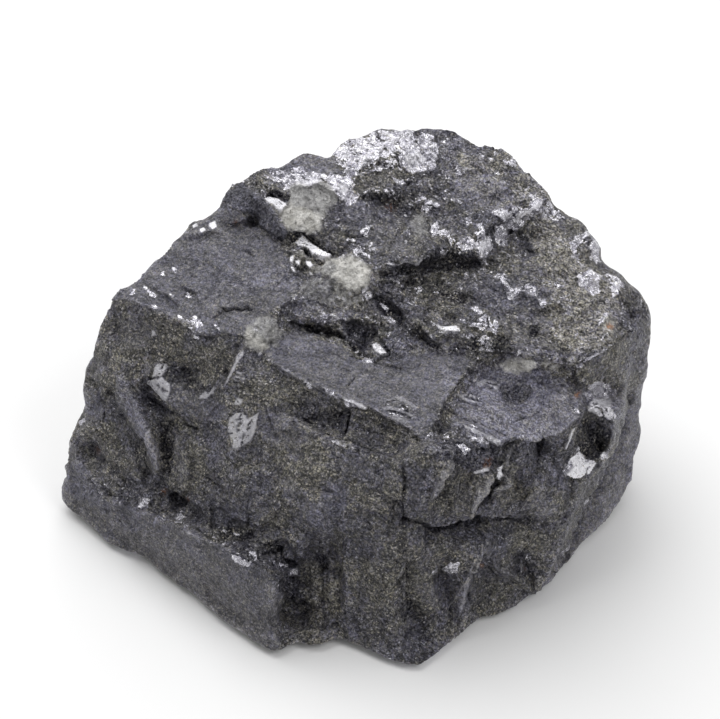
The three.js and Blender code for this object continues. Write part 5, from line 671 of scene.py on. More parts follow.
# ---- hairline cuts through the bright facets: (half width px, line)
CUTS = [
 (0.9, [(400,151),(397,158),(400,166),(407,172)]), (0.8, [(381,147),(388,153),(394,150)]), (0.9, [(361,172),(370,166),(380,164),(391,169)]),
 (0.7, [(411,139),(419,146),(423,155)]), (0.7, [(350,145),(356,153),(364,156)]), (0.7, [(376,131),(379,139),(385,143)]),
 (0.7, [(320,178),(326,184),(334,187)]), (0.7, [(300,174),(306,181),(312,183)]),
 (1.1, [(231,424),(237,421),(243,418)]), (1.1, [(241,423),(239,429),(240,434)]),
 (1.0, [(251,419),(248,426),(247,432)]), (1.1, [(230,434),(236,434)]), (1.0, [(246,433),(241,438)]),
 (0.8, [(243,440),(242,445)]), (1.0, [(241,414),(240,418)]),
 (0.9, [(303,242),(309,245)]), (0.9, [(279,203),(283,208)]),
 (1.2, [(163,376),(157,378),(150,380)]), (1.0, [(160,384),(165,389),(170,392)]), (1.0, [(164,364),(162,370)]),
 (0.8, [(584,470),(588,466)]),
 (1.1, [(600,405),(606,409),(608,415)]), (1.1, [(594,407),(601,412),(604,419)]), (1.0, [(592,402),(599,402)]),
 (0.8, [(386,402),(396,399),(408,404)]), (0.8, [(386,411),(400,413),(414,419)]), (0.7, [(401,404),(406,408)]),
 (0.8, [(390,419),(400,423)]), (1.2, [(474,320),(481,323),(489,320)]), (1.1, [(480,329),(488,327),(496,329)]), (1.1, [(487,316),(489,324),(486,333)]),
 
 
 
 
 (1.2, [(500,273),(507,282),(514,291)]), (1.1, [(504,281),(510,279)]), (1.1, [(520,290),(527,291),(533,288)]), (1.2, [(516,208),(524,210),(532,206)]),
 (1.2, [(512,214),(517,218)]), (1.1, [(478,228),(482,236),(479,246)]), (1.1, [(606,276),(612,281),(618,282)]),
 (1.1, [(449,433),(450,440),(446,445)]), (1.1, [(233,554),(240,558),(248,562)]), (1.0, [(238,552),(242,560)]), (1.0, [(250,553),(255,559)]),
 (1.1, [(485,382),(492,384),(499,384)]), (1.1, [(488,388),(495,389)]), (1.1, [(466,396),(474,399),(482,401)]),
]

# ---- narrow ribs with a painted highlight along the crest: (half width px, height mm, brightness of the painted highlight, line)
RIDGES = [
 (6.0, 0.7, 0.10, [(122,372),(128,388),(136,404),(145,424),(153,446),(158,468)]),
 (2.4, 0.4, 0.40, [(121,390),(126,396),(124,402)]),
 (2.4, 0.4, 0.30, [(132,378),(137,388),(142,396)]),
 (3.0, 0.4, 0.15, [(76,444),(84,462),(94,482),(108,497),(124,506)]),
 (2.4, 0.5, 0.35, [(480,545),(474,558),(471,566)]),
 (2.6, 0.5, 0.30, [(471,566),(465,580),(460,600),(454,618)]),
 (2.4, 0.4, 0.25, [(469,609),(463,618),(458,626)]),
 (2.6, 0.6, 0.35, [(483,468),(480,480),(476,492),(471,502),(469,512)]),
 (2.4, 0.5, 0.30, [(505,478),(500,488),(493,498)]),
 (2.4, 0.5, 0.30, [(538,480),(532,490),(526,498)]),
 (2.8, 0.6, 0.25, [(448,456),(442,470),(438,482),(430,498)]),
 (2.4, 0.4, 0.30, [(512,444),(511,460),(508,474)]),
 (2.4, 0.4, 0.30, [(437,142),(443,150),(450,160)]),
 (2.2, 0.4, 0.30, [(469,148),(472,156),(476,162)]),
 (2.4, 0.4, 0.35, [(399,263),(410,260),(420,255)]),
 (3.0, 0.4, 0.20, [(375,281),(390,279),(410,276)]),
 (2.4, 0.4, 0.30, [(548,243),(552,252),(557,262)]),
 (2.4, 0.4, 0.30, [(236,303),(243,301),(251,302)]),
 (2.2, 0.3, 0.20, [(322,390),(332,395),(341,402)]),
 (2.4, 0.4, 0.25, [(380,420),(390,419),(402,420)]),
 (2.8, 0.5, 0.25, [(616,425),(612,440),(604,458),(596,470)]),
 (2.8, 0.4, 0.20, [(586,496),(580,508),(572,528),(560,552),(546,572)]),
 (2.4, 0.3, 0.25, [(548,556),(556,560),(560,566)]),
 (2.2, 0.3, 0.25, [(404,562),(401,572),(398,582)]),
 (3.0, 0.4, 0.15, [(490,562),(504,570),(522,582)]),
 (2.2, 0.3, 0.20, [(296,422),(310,428),(324,434)]),
 (2.2, 0.3, 0.20, [(198,386),(205,382),(210,378)]),
 (2.2, 0.3, 0.25, [(225,446),(236,452),(246,458)]),
 (2.2, 0.3, 0.20, [(122,522),(128,528),(133,532)]),
 (2.4, 0.4, 0.20, [(340,214),(350,212),(358,218),(366,214)]),
 (2.4, 0.4, 0.20, [(376,212),(384,218),(392,222)]),
 (2.4, 0.4, 0.20, [(566,352),(572,358),(580,354)]),
 (2.4, 0.4, 0.15, [(540,342),(546,350),(556,356)]),
]

# ---- steps: (height mm, reach px, side, half width of the riser px, line).
# The side given stands proud (1 = right of travel, -1 = left) and eases back over the reach.
STEPS = [
 (0.7, 16, -1, 0.8, [(113,298),(131,303),(150,310),(170,320),(190,328),(207,336),(225,334)]),
 (0.8, 14, -1, 0.8, [(262,362),(285,372),(303,383),(322,391),(345,401),(370,410),(392,420),(424,440)]),
 (1.3, 16, -1, 4.0, [(400,322),(418,332),(436,342),(456,342),(476,346),(500,352),(524,356),(548,360),(566,366)]),
 (1.3, 18, -1, 7.0, [(376,275),(396,272),(414,266),(430,258),(450,256),(470,258),(482,262)]),
 (0.8, 14, -1, 3.0, [(356,198),(372,198),(390,196),(408,198)]),
 (0.7, 10, -1, 0.8, [(412,204),(426,205),(444,212)]),
 (0.8, 12, -1, 1.5, [(480,240),(490,230),(501,221),(513,212),(528,216)]),
 (0.7, 12, -1, 1.0, [(494,282),(503,284),(508,298),(524,299),(540,306)]),
 (0.6, 12, 1, 1.5, [(600,300),(586,312),(566,322),(544,326)]),
 (0.6, 12, -1, 1.0, [(560,262),(574,270),(590,282),(604,288)]),
 (0.8, 10, -1, 1.0, [(432,328),(440,334),(450,338),(462,338)]),
 (0.7, 12, -1, 1.0, [(468,330),(480,335),(498,338),(512,342)]),
 (0.25, 10, -1, 0.6, [(357,172),(372,164),(388,164),(400,167),(413,177),(428,170)]),
 (0.6, 12, -1, 1.0, [(284,192),(300,190),(318,187),(330,194),(346,202)]),
 (0.6, 12, -1, 1.0, [(450,162),(464,172),(480,170)]),
 (0.6, 12, -1, 1.0, [(530,206),(546,222),(560,236)]),
 (0.6, 14, -1, 1.0, [(184,240),(200,238),(218,233)]),
 (0.4, 10, -1, 0.8, [(150,290),(166,294),(176,304)]),
 (0.4, 10, -1, 0.8, [(180,286),(196,294),(200,306)]),
 (0.7, 12, -1, 0.8, [(444,446),(458,430),(466,428),(484,436),(500,444),(508,439),(522,441),(540,441),(546,436)]),
 (0.7, 12, -1, 0.8, [(546,436),(556,435),(566,429),(575,421),(581,415)]),
 (0.5, 12, 1, 1.5, [(100,496),(125,506),(150,514),(176,524),(200,535),(228,549)]),
 (0.7, 10, -1, 0.8, [(586,362),(600,352),(618,342),(640,326)]),
 (0.6, 13, -1, 1.0, [(223,204),(232,209),(244,212),(254,218),(264,228),(274,238),(286,242)]),
 (0.45, 13, 1, 1.0, [(234,185),(243,184),(256,191),(268,202),(280,217),(292,234)]),
]

# ---- hollows pressed into the surface: (depth mm, border px, outline)
HOLLOWS = [
 (0.8, 5, [(340,322),(352,321),(366,323),(378,327),(372,338),(364,348),(352,344)]),
 (0.5, 3, [(244,214),(252,212),(262,220),(262,227),(250,225)]),
 (0.25, 3, [(500,388),(506,380),(514,378),(524,382),(532,388),(530,395),(522,403),(513,404),(504,399)]),
 (0.5, 4, [(529,326),(540,326),(539,337),(530,337)]),
 (0.3, 5, [(510,250),(514,236),(521,230),(528,240),(534,256),(524,262)]),
 (0.6, 5, [(376,300),(386,298),(398,308),(404,322),(396,328),(384,314)]),
 (0.7, 3, [(166,498),(174,496),(182,501),(180,506),(172,504)]),
]

# the outline drawn out a little: where, which way (pixels) and how far around
RIM = [
 (418,130,0,-2.6,34), (384,129,0,-1.4,22), (310,153,-1.2,-2.8,26), (352,139,0,-1.2,16),
 (186,228,-1.5,-1.6,30), (146,266,-1.6,-1.6,26), (66,484,-2.2,0.4,22), (450,134,0.3,-1.2,26),
 (632,478,1.8,0.4,20), (452,140,0.4,-1.4,16), (553,212,0.3,-0.2,12), (402,130,0,-1.0,20), (288,170,-0.1,-0.2,16), (224,198,-0.8,-1.0,16), (212,214,-2.2,-2.6,18), (553,210,0.8,-0.6,12), (350,137,-0.5,-1.4,14),
 (287,172,-0.2,-0.4,16), (92,350,-1.5,0,16), (66,462,-1.6,0,14), (400,128,0,-1.0,22), (84,408,2.2,0,13), (112,302,1.0,0.7,13),
]

# ---- crests and valleys: lines of (u, v, height mm); between them the surface is made of flat facets
CREASES = [
 # upper front, right of the corner
 [(403,465,-0.5),(404,490,-0.6),(403,518,-0.8)],
 [(425,447,0.2),(421,480,0.5),(418,500,0.4),(415,517,0.4)],
 [(448,452,0.7),(442,468,0.8),(437,482,0.8),(430,498,0.6),(427,510,0.3)],
 [(446,470,-0.2),(445,486,-0.8),(439,499,-0.8),(434,509,-0.5)],
 [(451,462,0.2),(450,484,0.3),(445,503,0.5),(441,516,0.4)],
 [(460,476,0.3),(458,496,0.4),(456,510,0.5)],
 [(484,465,0.8),(480,480,1.0),(475,495,0.9),(471,509,0.7)],
 [(488,468,0.0),(485,484,-0.3),(480,498,-0.3),(476,509,-0.2)],
 [(507,477,0.7),(500,488,0.6),(495,498,0.4)],
 [(511,480,-0.2),(504,492,-0.4),(499,503,-0.3)],
 [(540,478,0.6),(533,488,0.6),(526,498,0.4)],
 [(545,481,-0.1),(538,492,-0.2),(531,502,-0.1)],
 [(509,444,-0.7),(508,460,-0.8),(507,473,-0.5)],
 [(516,446,0.4),(520,460,0.5),(522,474,0.4)],
 [(530,444,0.2),(531,458,0.3),(530,472,0.3)],
 [(545,439,-0.9),(543,455,-0.9),(540,470,-0.5)],
 [(552,441,0.3),(551,458,0.3),(549,472,0.2)],
 [(511,498,0.3),(519,508,0.4)],
 [(560,490,0.4),(556,512,0.4),(548,530,0.3)],
 # the ledge, and the undercut below it
 [(401,517,0.2),(418,519,0.25),(431,523,0.3),(447,522,0.4),(462,516,0.45),(478,512,0.4),(488,514,0.4),(500,516,0.3),(518,517,0.2),(534,517,0.1)],
 [(401,524,-0.35),(418,527,-0.4),(431,531,-0.6),(447,529,-0.6),(462,523,-0.65),(478,519,-0.7),(490,520,-0.5),(505,521,-0.3),(522,521,-0.15)],
 [(412,542,0.1),(430,547,0.3),(455,543,0.2),(470,538,0.3),(492,534,0.1),(512,531,0.3),(538,528,0.3)],
 # lower front
 [(405,556,0.4),(398,572,0.5),(392,588,0.2)],
 [(410,572,-0.7),(411,590,-0.9),(413,606,-1.0),(409,620,-0.9)],
 [(418,560,0.4),(425,575,0.6),(432,592,0.6),(438,610,0.5),(443,630,0.4)],
 [(422,612,-0.5),(424,625,-0.5),(426,640,-0.3)],
 [(440,565,-0.1),(445,580,-0.35),(448,595,-0.45),(450,608,-0.3)],
 [(478,545,0.7),(473,560,0.8),(466,575,0.8),(460,592,0.7),(455,607,0.5),(450,622,0.2)],
 [(477,561,-0.1),(479,573,-0.35),(478,588,-0.35),(472,602,-0.3),(467,611,-0.2)],
 [(470,603,0.1),(464,613,0.3),(459,622,0.2)],
 [(486,566,-0.3),(488,585,-0.5),(487,600,-0.5)],
 [(491,560,0.3),(505,570,0.5),(520,580,0.5)],
 [(505,584,-0.3),(518,590,-0.1)],
 [(516,560,-0.4),(526,563,-0.6),(532,573,-0.6)],
 [(562,541,0.6),(551,560,0.6),(541,576,0.5),(530,588,0.4)],
 # long face: left part
 [(115,313,0.1),(150,324,0.2),(190,338,0.2),(230,346,0.1)],
 [(110,345,0.4),(140,348,0.4),(165,352,0.3),(190,357,0.2)],
 [(90,376,0.4),(86,402,0.5),(88,426,0.4)],
 [(98,384,-0.3),(103,402,-0.5),(104,424,-0.5)],
 [(112,392,-0.2),(116,408,-0.5)],
 [(118,366,0.5),(128,388,0.8),(140,412,0.9),(150,438,0.9),(158,466,0.8)],
 [(145,390,-0.3),(158,409,-0.6),(161,430,-0.7),(166,450,-0.7),(170,475,-0.6)],
 [(120,404,0.0),(126,424,-0.4),(136,450,-0.6),(144,472,-0.6),(150,487,-0.4)],
 [(104,440,0.1),(114,462,-0.3),(128,482,-0.5)],
 [(90,448,-0.35),(94,451,-0.3)],
 [(75,441,0.4),(84,468,0.3),(98,489,0.3),(115,503,0.3)],
 [(84,456,-0.2),(94,484,-0.4),(107,494,-0.5),(126,503,-0.6)],
 [(158,368,0.5),(160,386,0.6),(166,398,0.4)],
 [(172,367,-0.6),(187,372,-0.6),(190,386,-0.4),(208,392,-0.4)],
 [(198,352,0.3),(212,362,0.3)],
 [(241,350,0.6),(236,363,0.7),(230,376,0.7),(225,387,0.5)],
 [(236,349,-0.3),(231,362,-0.4),(224,374,-0.5),(218,382,-0.3)],
 [(250,368,0.0),(262,376,0.1)],
 [(184,410,0.2),(200,420,0.3)],
 [(183,427,-0.4),(198,432,-0.4)],
 [(195,450,0.3),(215,462,0.4),(235,474,0.3)],
 [(200,478,-0.4),(213,487,-0.5),(223,490,-0.3)],
 [(231,420,0.5),(240,436,0.6),(236,450,0.5)],
 [(262,412,-0.2),(258,432,-0.3),(250,450,-0.2)],
 # long face: right part
 [(290,398,-0.3),(312,406,-0.5),(338,414,-0.5)],
 [(293,415,-0.5),(310,421,-0.7),(325,427,-0.7),(341,432,-0.7)],
 [(293,424,0.5),(308,430,0.6),(322,435,0.6),(340,442,0.6),(360,450,0.5),(378,460,0.3)],
 [(352,412,0.2),(349,430,0.2)],
 [(356,430,-0.3),(368,440,-0.4),(380,447,-0.3)],
 [(300,470,0.4),(320,480,0.5),(336,492,0.3)],
 [(270,450,0.0),(285,462,0.0)],
 [(250,500,-0.2),(275,510,-0.3),(300,522,-0.3)],
 [(310,505,0.3),(325,515,0.4)],
 [(345,470,-0.2),(352,500,-0.3),(350,530,-0.3)],
 [(375,480,0.3),(378,510,0.4),(376,540,0.3)],
 [(390,480,-0.2),(389,505,-0.5),(392,530,-0.5)],
 [(180,508,-0.6),(205,520,-0.6),(232,532,-0.6),(262,538,-0.3)],
 # recess and wedge
 [(300,562,-0.3),(303,580,-0.5),(302,605,-0.5),(300,632,-0.4)],
 [(311,560,-0.2),(313,590,-0.1),(312,630,-0.1)],
 [(321,560,-0.6),(322,590,-0.5),(322,630,-0.5)],
 [(330,566,-0.2),(331,600,-0.2),(330,632,-0.1)],
 [(337,562,-0.4),(338,600,-0.5),(337,630,-0.4)],
 [(345,556,0.5),(347,590,0.6),(348,620,0.5),(352,638,0.4)],
 [(368,560,0.1),(372,600,0.2),(374,640,0.1)],
 [(388,560,0.2),(384,600,0.3),(388,645,0.3)],
 [(396,606,-0.5),(400,630,-0.3),(404,652,-0.1)],
 # block
 [(236,540,0.3),(262,541,0.2),(285,552,0.2)],
 [(246,566,-0.2),(258,572,-0.5),(272,584,-0.6),(282,594,-0.5)],
 [(288,562,-0.6),(290,578,-0.7),(287,592,-0.6)],
 [(298,560,0.2),(297,574,0.3)],
 [(112,523,0.2),(130,534,0.3),(150,546,0.2)],
 [(126,541,-0.2),(135,547,-0.1)],
 [(180,548,0.2),(205,562,0.2)],
]
# where the creases fade out
FADE = [
 [(113,300),(131,304),(150,311),(170,321),(190,329),(207,337),(225,338),(243,341),(262,364),(285,374),(303,384),(322,392),(345,403),(370,413),(392,423),(424,441),(447,430),(466,428),(484,437),(500,444),(522,440),(545,438),(556,436),(566,430),(581,416),(600,420),(616,425),(612,446),(598,474),(584,500),(570,535),(556,562),(546,580),(534,596),(500,618),(470,632),(440,655),(418,668),(400,668),(370,655),(340,645),(315,646),(298,645),(280,654),(262,650),(222,621),(196,598),(170,581),(140,558),(109,547),(80,522),(58,504),(60,480),(64,455),(72,434),(78,418),(82,400),(84,380),(88,362),(100,330)],
]

# =====================================================================
# Noise, all repeatable
# =====================================================================
def _hash(i, j, k, seed):
    h = (i.astype(np.int64) * 374761393 + j.astype(np.int64) * 668265263
         + k.astype(np.int64) * 1442695041 + seed * 974634777) & 0xFFFFFFFF
    h = ((h ^ (h >> 13)) * 1274126177) & 0xFFFFFFFF
    h = ((h ^ (h >> 15)) * 2246822519) & 0xFFFFFFFF
    return (h ^ (h >> 16)) / 4294967295.0          # 0..1

def noise(p, scale, seed=0):
    """Value noise of p (N x 3, mm) with features of about scale mm, in -1..1."""
    q = p / scale
    f0 = np.floor(q)
    f = q - f0
    w = f * f * f * (f * (f * 6 - 15) + 10)
    i, j, k = f0[:, 0].astype(np.int64), f0[:, 1].astype(np.int64), f0[:, 2].astype(np.int64)
    s = 0.0
    for a in (0, 1):
        for b in (0, 1):
            for c in (0, 1):
                ww = ((w[:, 0] if a else 1 - w[:, 0]) * (w[:, 1] if b else 1 - w[:, 1])
                      * (w[:, 2] if c else 1 - w[:, 2]))
                s = s + ww * _hash(i + a, j + b, k + c, seed)
    return s * 2 - 1

def fbm(p, scale, octaves=3, seed=0, gain=0.5):
    s, a, t = 0.0, 1.0, 0.0
    for o in range(octaves):
        s = s + a * noise(p + 13.7 * o, scale / 2 ** o, seed + o)
        t += a
        a *= gain
    return s / t

def blocks(p, size, seed=0, warp=0.35):
    """Random level per brick of a wonky brick grid along the cleavage axes, in -1..1."""
    q = p @ AXES.T
    sx, sy, sz = size
    wq = q + warp * np.stack([noise(q, sx * 1.7, seed + 11) * sx, noise(q, sy * 1.7, seed + 12) * sy,
                              noise(q, sz * 1.7, seed + 13) * sz], 1)
    j = np.floor(wq[:, 1] / sy).astype(np.int64)
    zero = np.zeros_like(j)
    off = _hash(j, zero, zero, seed + 21)           # each row of bricks starts elsewhere
    i = np.floor(wq[:, 0] / sx + off).astype(np.int64)
    k = np.floor(wq[:, 2] / sz + 0.5 * off).astype(np.int64)
    return _hash(i, j, k, seed + 31) * 2 - 1

def facets(p, size, seed=0):
    """Random flat facets: height in -1..1 from the nearest point of a jittered grid and its own tilt."""
    q = p / size
    base = np.floor(q).astype(np.int64)
    best = np.full(len(p), 1e9)
    out = np.zeros(len(p))
    for a in (-1, 0, 1):
        for b in (-1, 0, 1):
            for c in (-1, 0, 1):
                ci = base + np.array([a, b, c])
                i, j, k = ci[:, 0], ci[:, 1], ci[:, 2]
                pt = ci + np.stack([_hash(i, j, k, seed + 1), _hash(i, j, k, seed + 2), _hash(i, j, k, seed + 3)], 1)
                d = q - pt
                r = (d ** 2).sum(1)
                tilt = np.stack([_hash(i, j, k, seed + 4), _hash(i, j, k, seed + 5), _hash(i, j, k, seed + 6)], 1) * 2 - 1
                h = (d * tilt).sum(1) * 1.1 + 0.5 * (_hash(i, j, k, seed + 7) * 2 - 1)
                m = r < best
                best = np.where(m, r, best)
                out = np.where(m, h, out)
    return np.clip(out, -1.3, 1.3)


def drawn(p, axis, ratio):
    """p squeezed along axis, so that noise of it comes out ratio times longer that way."""
    return p + np.outer(p @ axis, axis) * (1.0 / ratio - 1.0)

def smooth01(x, lo, hi):
    t = np.clip((x - lo) / (hi - lo), 0, 1)
    return t * t * (3 - 2 * t)

# =====================================================================
# Mesh: a copy of the CAD lump, cut finer
# =====================================================================
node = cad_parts["galena_mass"]
src = node.data
src.calc_loop_triangles()
co = np.zeros(len(src.vertices) * 3)
src.vertices.foreach_get("co", co)
co = co.reshape(-1, 3) * 1000.0
tri = np.zeros(len(src.loop_triangles) * 3, np.int64)
src.loop_triangles.foreach_get("vertices", tri)
tri = tri.reshape(-1, 3)
# shared corners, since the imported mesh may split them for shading
key = np.round(co * 500).astype(np.int64)
_, first, inv = np.unique(key, axis=0, return_index=True, return_inverse=True)
V = co[first]
T = inv.reshape(-1)[tri]
T = T[(T[:, 0] != T[:, 1]) & (T[:, 1] != T[:, 2]) & (T[:, 0] != T[:, 2])]

def project(P):
    q = P - CAM
    w = q @ AHEAD
    return np.stack([CX + F_PX * (q @ RIGHT) / w, CY - F_PX * (q @ UP) / w, w], 1)

def tri_normals(V, T):
    return np.cross(V[T[:, 1]] - V[T[:, 0]], V[T[:, 2]] - V[T[:, 0]])

def spread(index, values, count):
    """Sum of the values (N x 3) that fall on each index."""
    return np.stack([np.bincount(index, values[:, c], count) for c in range(3)], 1)

def vert_normals(V, T):
    n = tri_normals(V, T)
    out = np.zeros_like(V)
    for c in range(3):
        out += spread(T[:, c], n, len(V))
    return out / np.maximum(np.linalg.norm(out, axis=1, keepdims=True), 1e-12)

# map of the places that need crisp borders, one cell per pixel of the reference view
crisp = np.zeros((760, 760), bool)
def mark(points, reach, closed):
    pts = np.array(points, float)
    lo = np.floor(pts.min(0) - reach).astype(int)
    hi = np.ceil(pts.max(0) + reach).astype(int)
    u, v = np.meshgrid(np.arange(lo[0], hi[0] + 1), np.arange(lo[1], hi[1] + 1))
    d = np.full(u.shape, 1e9)
    a = pts if closed else pts[:-1]
    b = np.roll(pts, -1, 0) if closed else pts[1:]
    for s in range(len(a)):
        e = b[s] - a[s]
        t = np.clip(((u - a[s][0]) * e[0] + (v - a[s][1]) * e[1]) / max(e @ e, 1e-9), 0, 1)
        d = np.minimum(d, np.hypot(u - a[s][0] - t * e[0], v - a[s][1] - t * e[1]))
    crisp[v[d < reach] + 20, u[d < reach] + 20] = True
for f in FLATS:
    mark(f[4], 3.2, True)
for f in BLACK_SHADE:
    mark(f[1], 2.2, True)
for w, _, _, p in GROOVES:
    if w < 1.9:
        mark(p, 2.4, False)
for f in LINES:
    mark(f[4], 1.9, False)

def refine(V, T, rounds=10):
    """Halves every edge that is too long, the neighbours with it, until none is."""
    for _ in range(rounds):
        e = np.vstack([T[:, [0, 1]], T[:, [1, 2]], T[:, [2, 0]]])
        es = np.sort(e, 1)
        uniq, back = np.unique(es, axis=0, return_inverse=True)
        back = back.reshape(-1)
        nT = len(T)
        n = tri_normals(V, T)
        c = V[T].mean(1)
        seen_t = ((CAM - c) * n).sum(1) > 0
        seen = np.zeros(len(uniq), bool)
        for s in range(3):
            np.logical_or.at(seen, back[s * nT:(s + 1) * nT], seen_t)
        a, b = V[uniq[:, 0]], V[uniq[:, 1]]
        pa, pb = project(a), project(b)
        px = np.hypot(pa[:, 0] - pb[:, 0], pa[:, 1] - pb[:, 1])
        mm = np.linalg.norm(a - b, axis=1)
        flat = (a[:, 2] < 0.02) & (b[:, 2] < 0.02)
        mid = np.clip(np.round((pa + pb)[:, :2] / 2).astype(int) + 20, 0, 759)
        keen = crisp[mid[:, 1], mid[:, 0]]
        cut = ((seen & ((px > FINE_PX) | (keen & (px > SHARP_PX)))) | (mm > COARSE_MM)) & ~(flat & (mm < 6.0))
        # a triangle's longest edge is cut first, so that pieces stay well shaped
        k = np.stack([back[:nT], back[nT:2 * nT], back[2 * nT:]], 1)
        ln = mm[k]
        longest = k[np.arange(nT), ln.argmax(1)]
        for _ in range(6):
            need = cut[k].any(1)
            add = need & ~cut[longest]
            if not add.any():
                break
            cut[longest[add]] = True
        if not cut.any():
            break
        new = np.full(len(uniq), -1, np.int64)
        ids = np.where(cut)[0]
        new[ids] = len(V) + np.arange(len(ids))
        V = np.vstack([V, 0.5 * (V[uniq[ids, 0]] + V[uniq[ids, 1]])])
        m = new[k]                                   # midpoints of ab, bc, ca, or -1
        cnt = (m >= 0).sum(1)
        out = [T[cnt == 0]]
        for s in range(3):
            r = np.roll(T, -s, 1)
            q = np.roll(m, -s, 1)
            one = (cnt == 1) & (q[:, 0] >= 0)
            R, Q = r[one], q[one]
            out += [np.stack([R[:, 0], Q[:, 0], R[:, 2]], 1), np.stack([Q[:, 0], R[:, 1], R[:, 2]], 1)]
            two = (cnt == 2) & (q[:, 2] < 0)         # ab and bc cut
            R, Q = r[two], q[two]
            if len(R):
                d1 = np.linalg.norm(V[Q[:, 0]] - V[R[:, 2]], axis=1)
                d2 = np.linalg.norm(V[Q[:, 1]] - V[R[:, 0]], axis=1)
                out.append(np.stack([Q[:, 0], R[:, 1], Q[:, 1]], 1))
                u = d1 <= d2
                out += [np.stack([R[u, 0], Q[u, 0], R[u, 2]], 1), np.stack([Q[u, 0], Q[u, 1], R[u, 2]], 1)]
                w = ~u
                out += [np.stack([R[w, 0], Q[w, 0], Q[w, 1]], 1), np.stack([R[w, 0], Q[w, 1], R[w, 2]], 1)]
        al = cnt == 3
        R, Q = T[al], m[al]
        out += [np.stack([R[:, 0], Q[:, 0], Q[:, 2]], 1), np.stack([Q[:, 0], R[:, 1], Q[:, 1]], 1),
                np.stack([Q[:, 2], Q[:, 1], R[:, 2]], 1), np.stack([Q[:, 0], Q[:, 1], Q[:, 2]], 1)]
        T = np.vstack(out)
    return V, T

V, T = refine(V, T)
print("LUMP", len(V), "points", len(T), "triangles")

# =====================================================================
# Where every point falls in the reference view, and whether it is seen
# =====================================================================
EDGES = np.unique(np.sort(np.vstack([T[:, [0, 1]], T[:, [1, 2]], T[:, [2, 0]]]), 1), axis=0)
COUNT = np.bincount(EDGES.ravel(), minlength=len(V)).astype(float)
def soften(X, rounds, amount, hold=0.0):
    """Averages X (N x 3) with its neighbours. hold is 1 where a point must not move."""
    for _ in range(rounds):
        s = spread(EDGES[:, 0], X[EDGES[:, 1]], len(V)) + spread(EDGES[:, 1], X[EDGES[:, 0]], len(V))
        X = X + (amount * (1 - hold) * np.ones(len(V)))[:, None] * (s / COUNT[:, None] - X)
    return X

foot = (V[:, 2] < 0.05).astype(float)
V = soften(V, 5, 0.5, foot)
N = vert_normals(V, T)
UVW = project(V)
UV = UVW[:, :2]
look = CAM - V
look /= np.linalg.norm(look, axis=1, keepdims=True)
facing = (look * N).sum(1)
cell = np.clip((UV / 4).astype(int) + 8, 0, 220)
near = np.full((232, 232), 1e9)
np.minimum.at(near, (cell[:, 1], cell[:, 0]), UVW[:, 2])
seen = smooth01(facing, 0.0, 0.12) * (UVW[:, 2] < near[cell[:, 1], cell[:, 0]] + 3.2)

# ragged copies of the image position, for borders that follow the grain
RAG = UV + 2.6 * np.stack([fbm(V, 2.4, 3, 101), fbm(V, 2.4, 3, 102)], 1)
SOFTRAG = UV + 0.8 * np.stack([noise(V, 1.6, 103), noise(V, 1.6, 104)], 1)
WAVER = UV + 1.5 * np.stack([fbm(V, 3.2, 3, 105), fbm(V, 3.2, 3, 106)], 1)
wear = 0.5 + 0.5 * fbm(V, 4.5, 2, 107)           # 0..1, how worn a line is here

def _near(uv, pts, margin):
    lo, hi = pts.min(0) - margin, pts.max(0) + margin
    return np.where((seen > 0) & (uv[:, 0] > lo[0]) & (uv[:, 0] < hi[0]) & (uv[:, 1] > lo[1]) & (uv[:, 1] < hi[1]))[0]

def _segments(q, pts, closed):
    """Distance from every q to the polyline, its side (right of travel is positive) and the place along it."""
    a = pts if closed else pts[:-1]
    b = np.roll(pts, -1, 0) if closed else pts[1:]
    best = np.full(len(q), 1e9)
    side = np.zeros(len(q))
    along = np.zeros(len(q))
    run = 0.0
    for s in range(len(a)):
        d = b[s] - a[s]
        L = max(np.hypot(*d), 1e-9)
        t = np.clip(((q - a[s]) @ d) / L ** 2, 0, 1)
        r = q - a[s] - t[:, None] * d
        dist = np.hypot(r[:, 0], r[:, 1])
        cr = d[0] * (q[:, 1] - a[s][1]) - d[1] * (q[:, 0] - a[s][0])
        m = dist < best
        best = np.where(m, dist, best)
        side = np.where(m, np.sign(cr), side)
        along = np.where(m, run + t * L, along)
        run += L
    return best, side, along / run

def inside(q, pts):
    """True inside the polygon."""
    x, y = q[:, 0], q[:, 1]
    c = np.zeros(len(q), bool)
    for s in range(len(pts)):
        (x0, y0), (x1, y1) = pts[s], pts[s - 1]
        if y0 == y1:
            continue
        c ^= ((y0 > y) != (y1 > y)) & (x < (x1 - x0) * (y - y0) / (y1 - y0) + x0)
    return c

def region(points, soft=3.0, uv=None):
    """Smooth 0..1 field of a polygon of the reference view, on the points seen there."""
    uv = RAG if uv is None else uv
    pts = np.array(points, float)
    out = np.zeros(len(V))
    k = _near(uv, pts, soft)
    if len(k):
        q = uv[k]
        d, _, _ = _segments(q, pts, True)
        sd = np.where(inside(q, pts), d, -d)
        out[k] = smooth01(sd, -soft * 0.5, soft * 0.5) * (seen[k] > 0)
    return out

def stroke(points, width, uv=None):
    """Smooth 0..1 field along a polyline of the reference view, 1 on the line, thinner at its ends."""
    uv = SOFTRAG if uv is None else uv
    pts = np.array(points, float)
    out = np.zeros(len(V))
    k = _near(uv, pts, width * 1.3)
    if len(k):
        d, _, t = _segments(uv[k], pts, False)
        w = width * np.clip(np.minimum(t, 1 - t) * 6, 0.35, 1) * (0.7 + 0.6 * wear[k])
        out[k] = np.clip(1 - d / w, 0, 1) * seen[k]
    return out

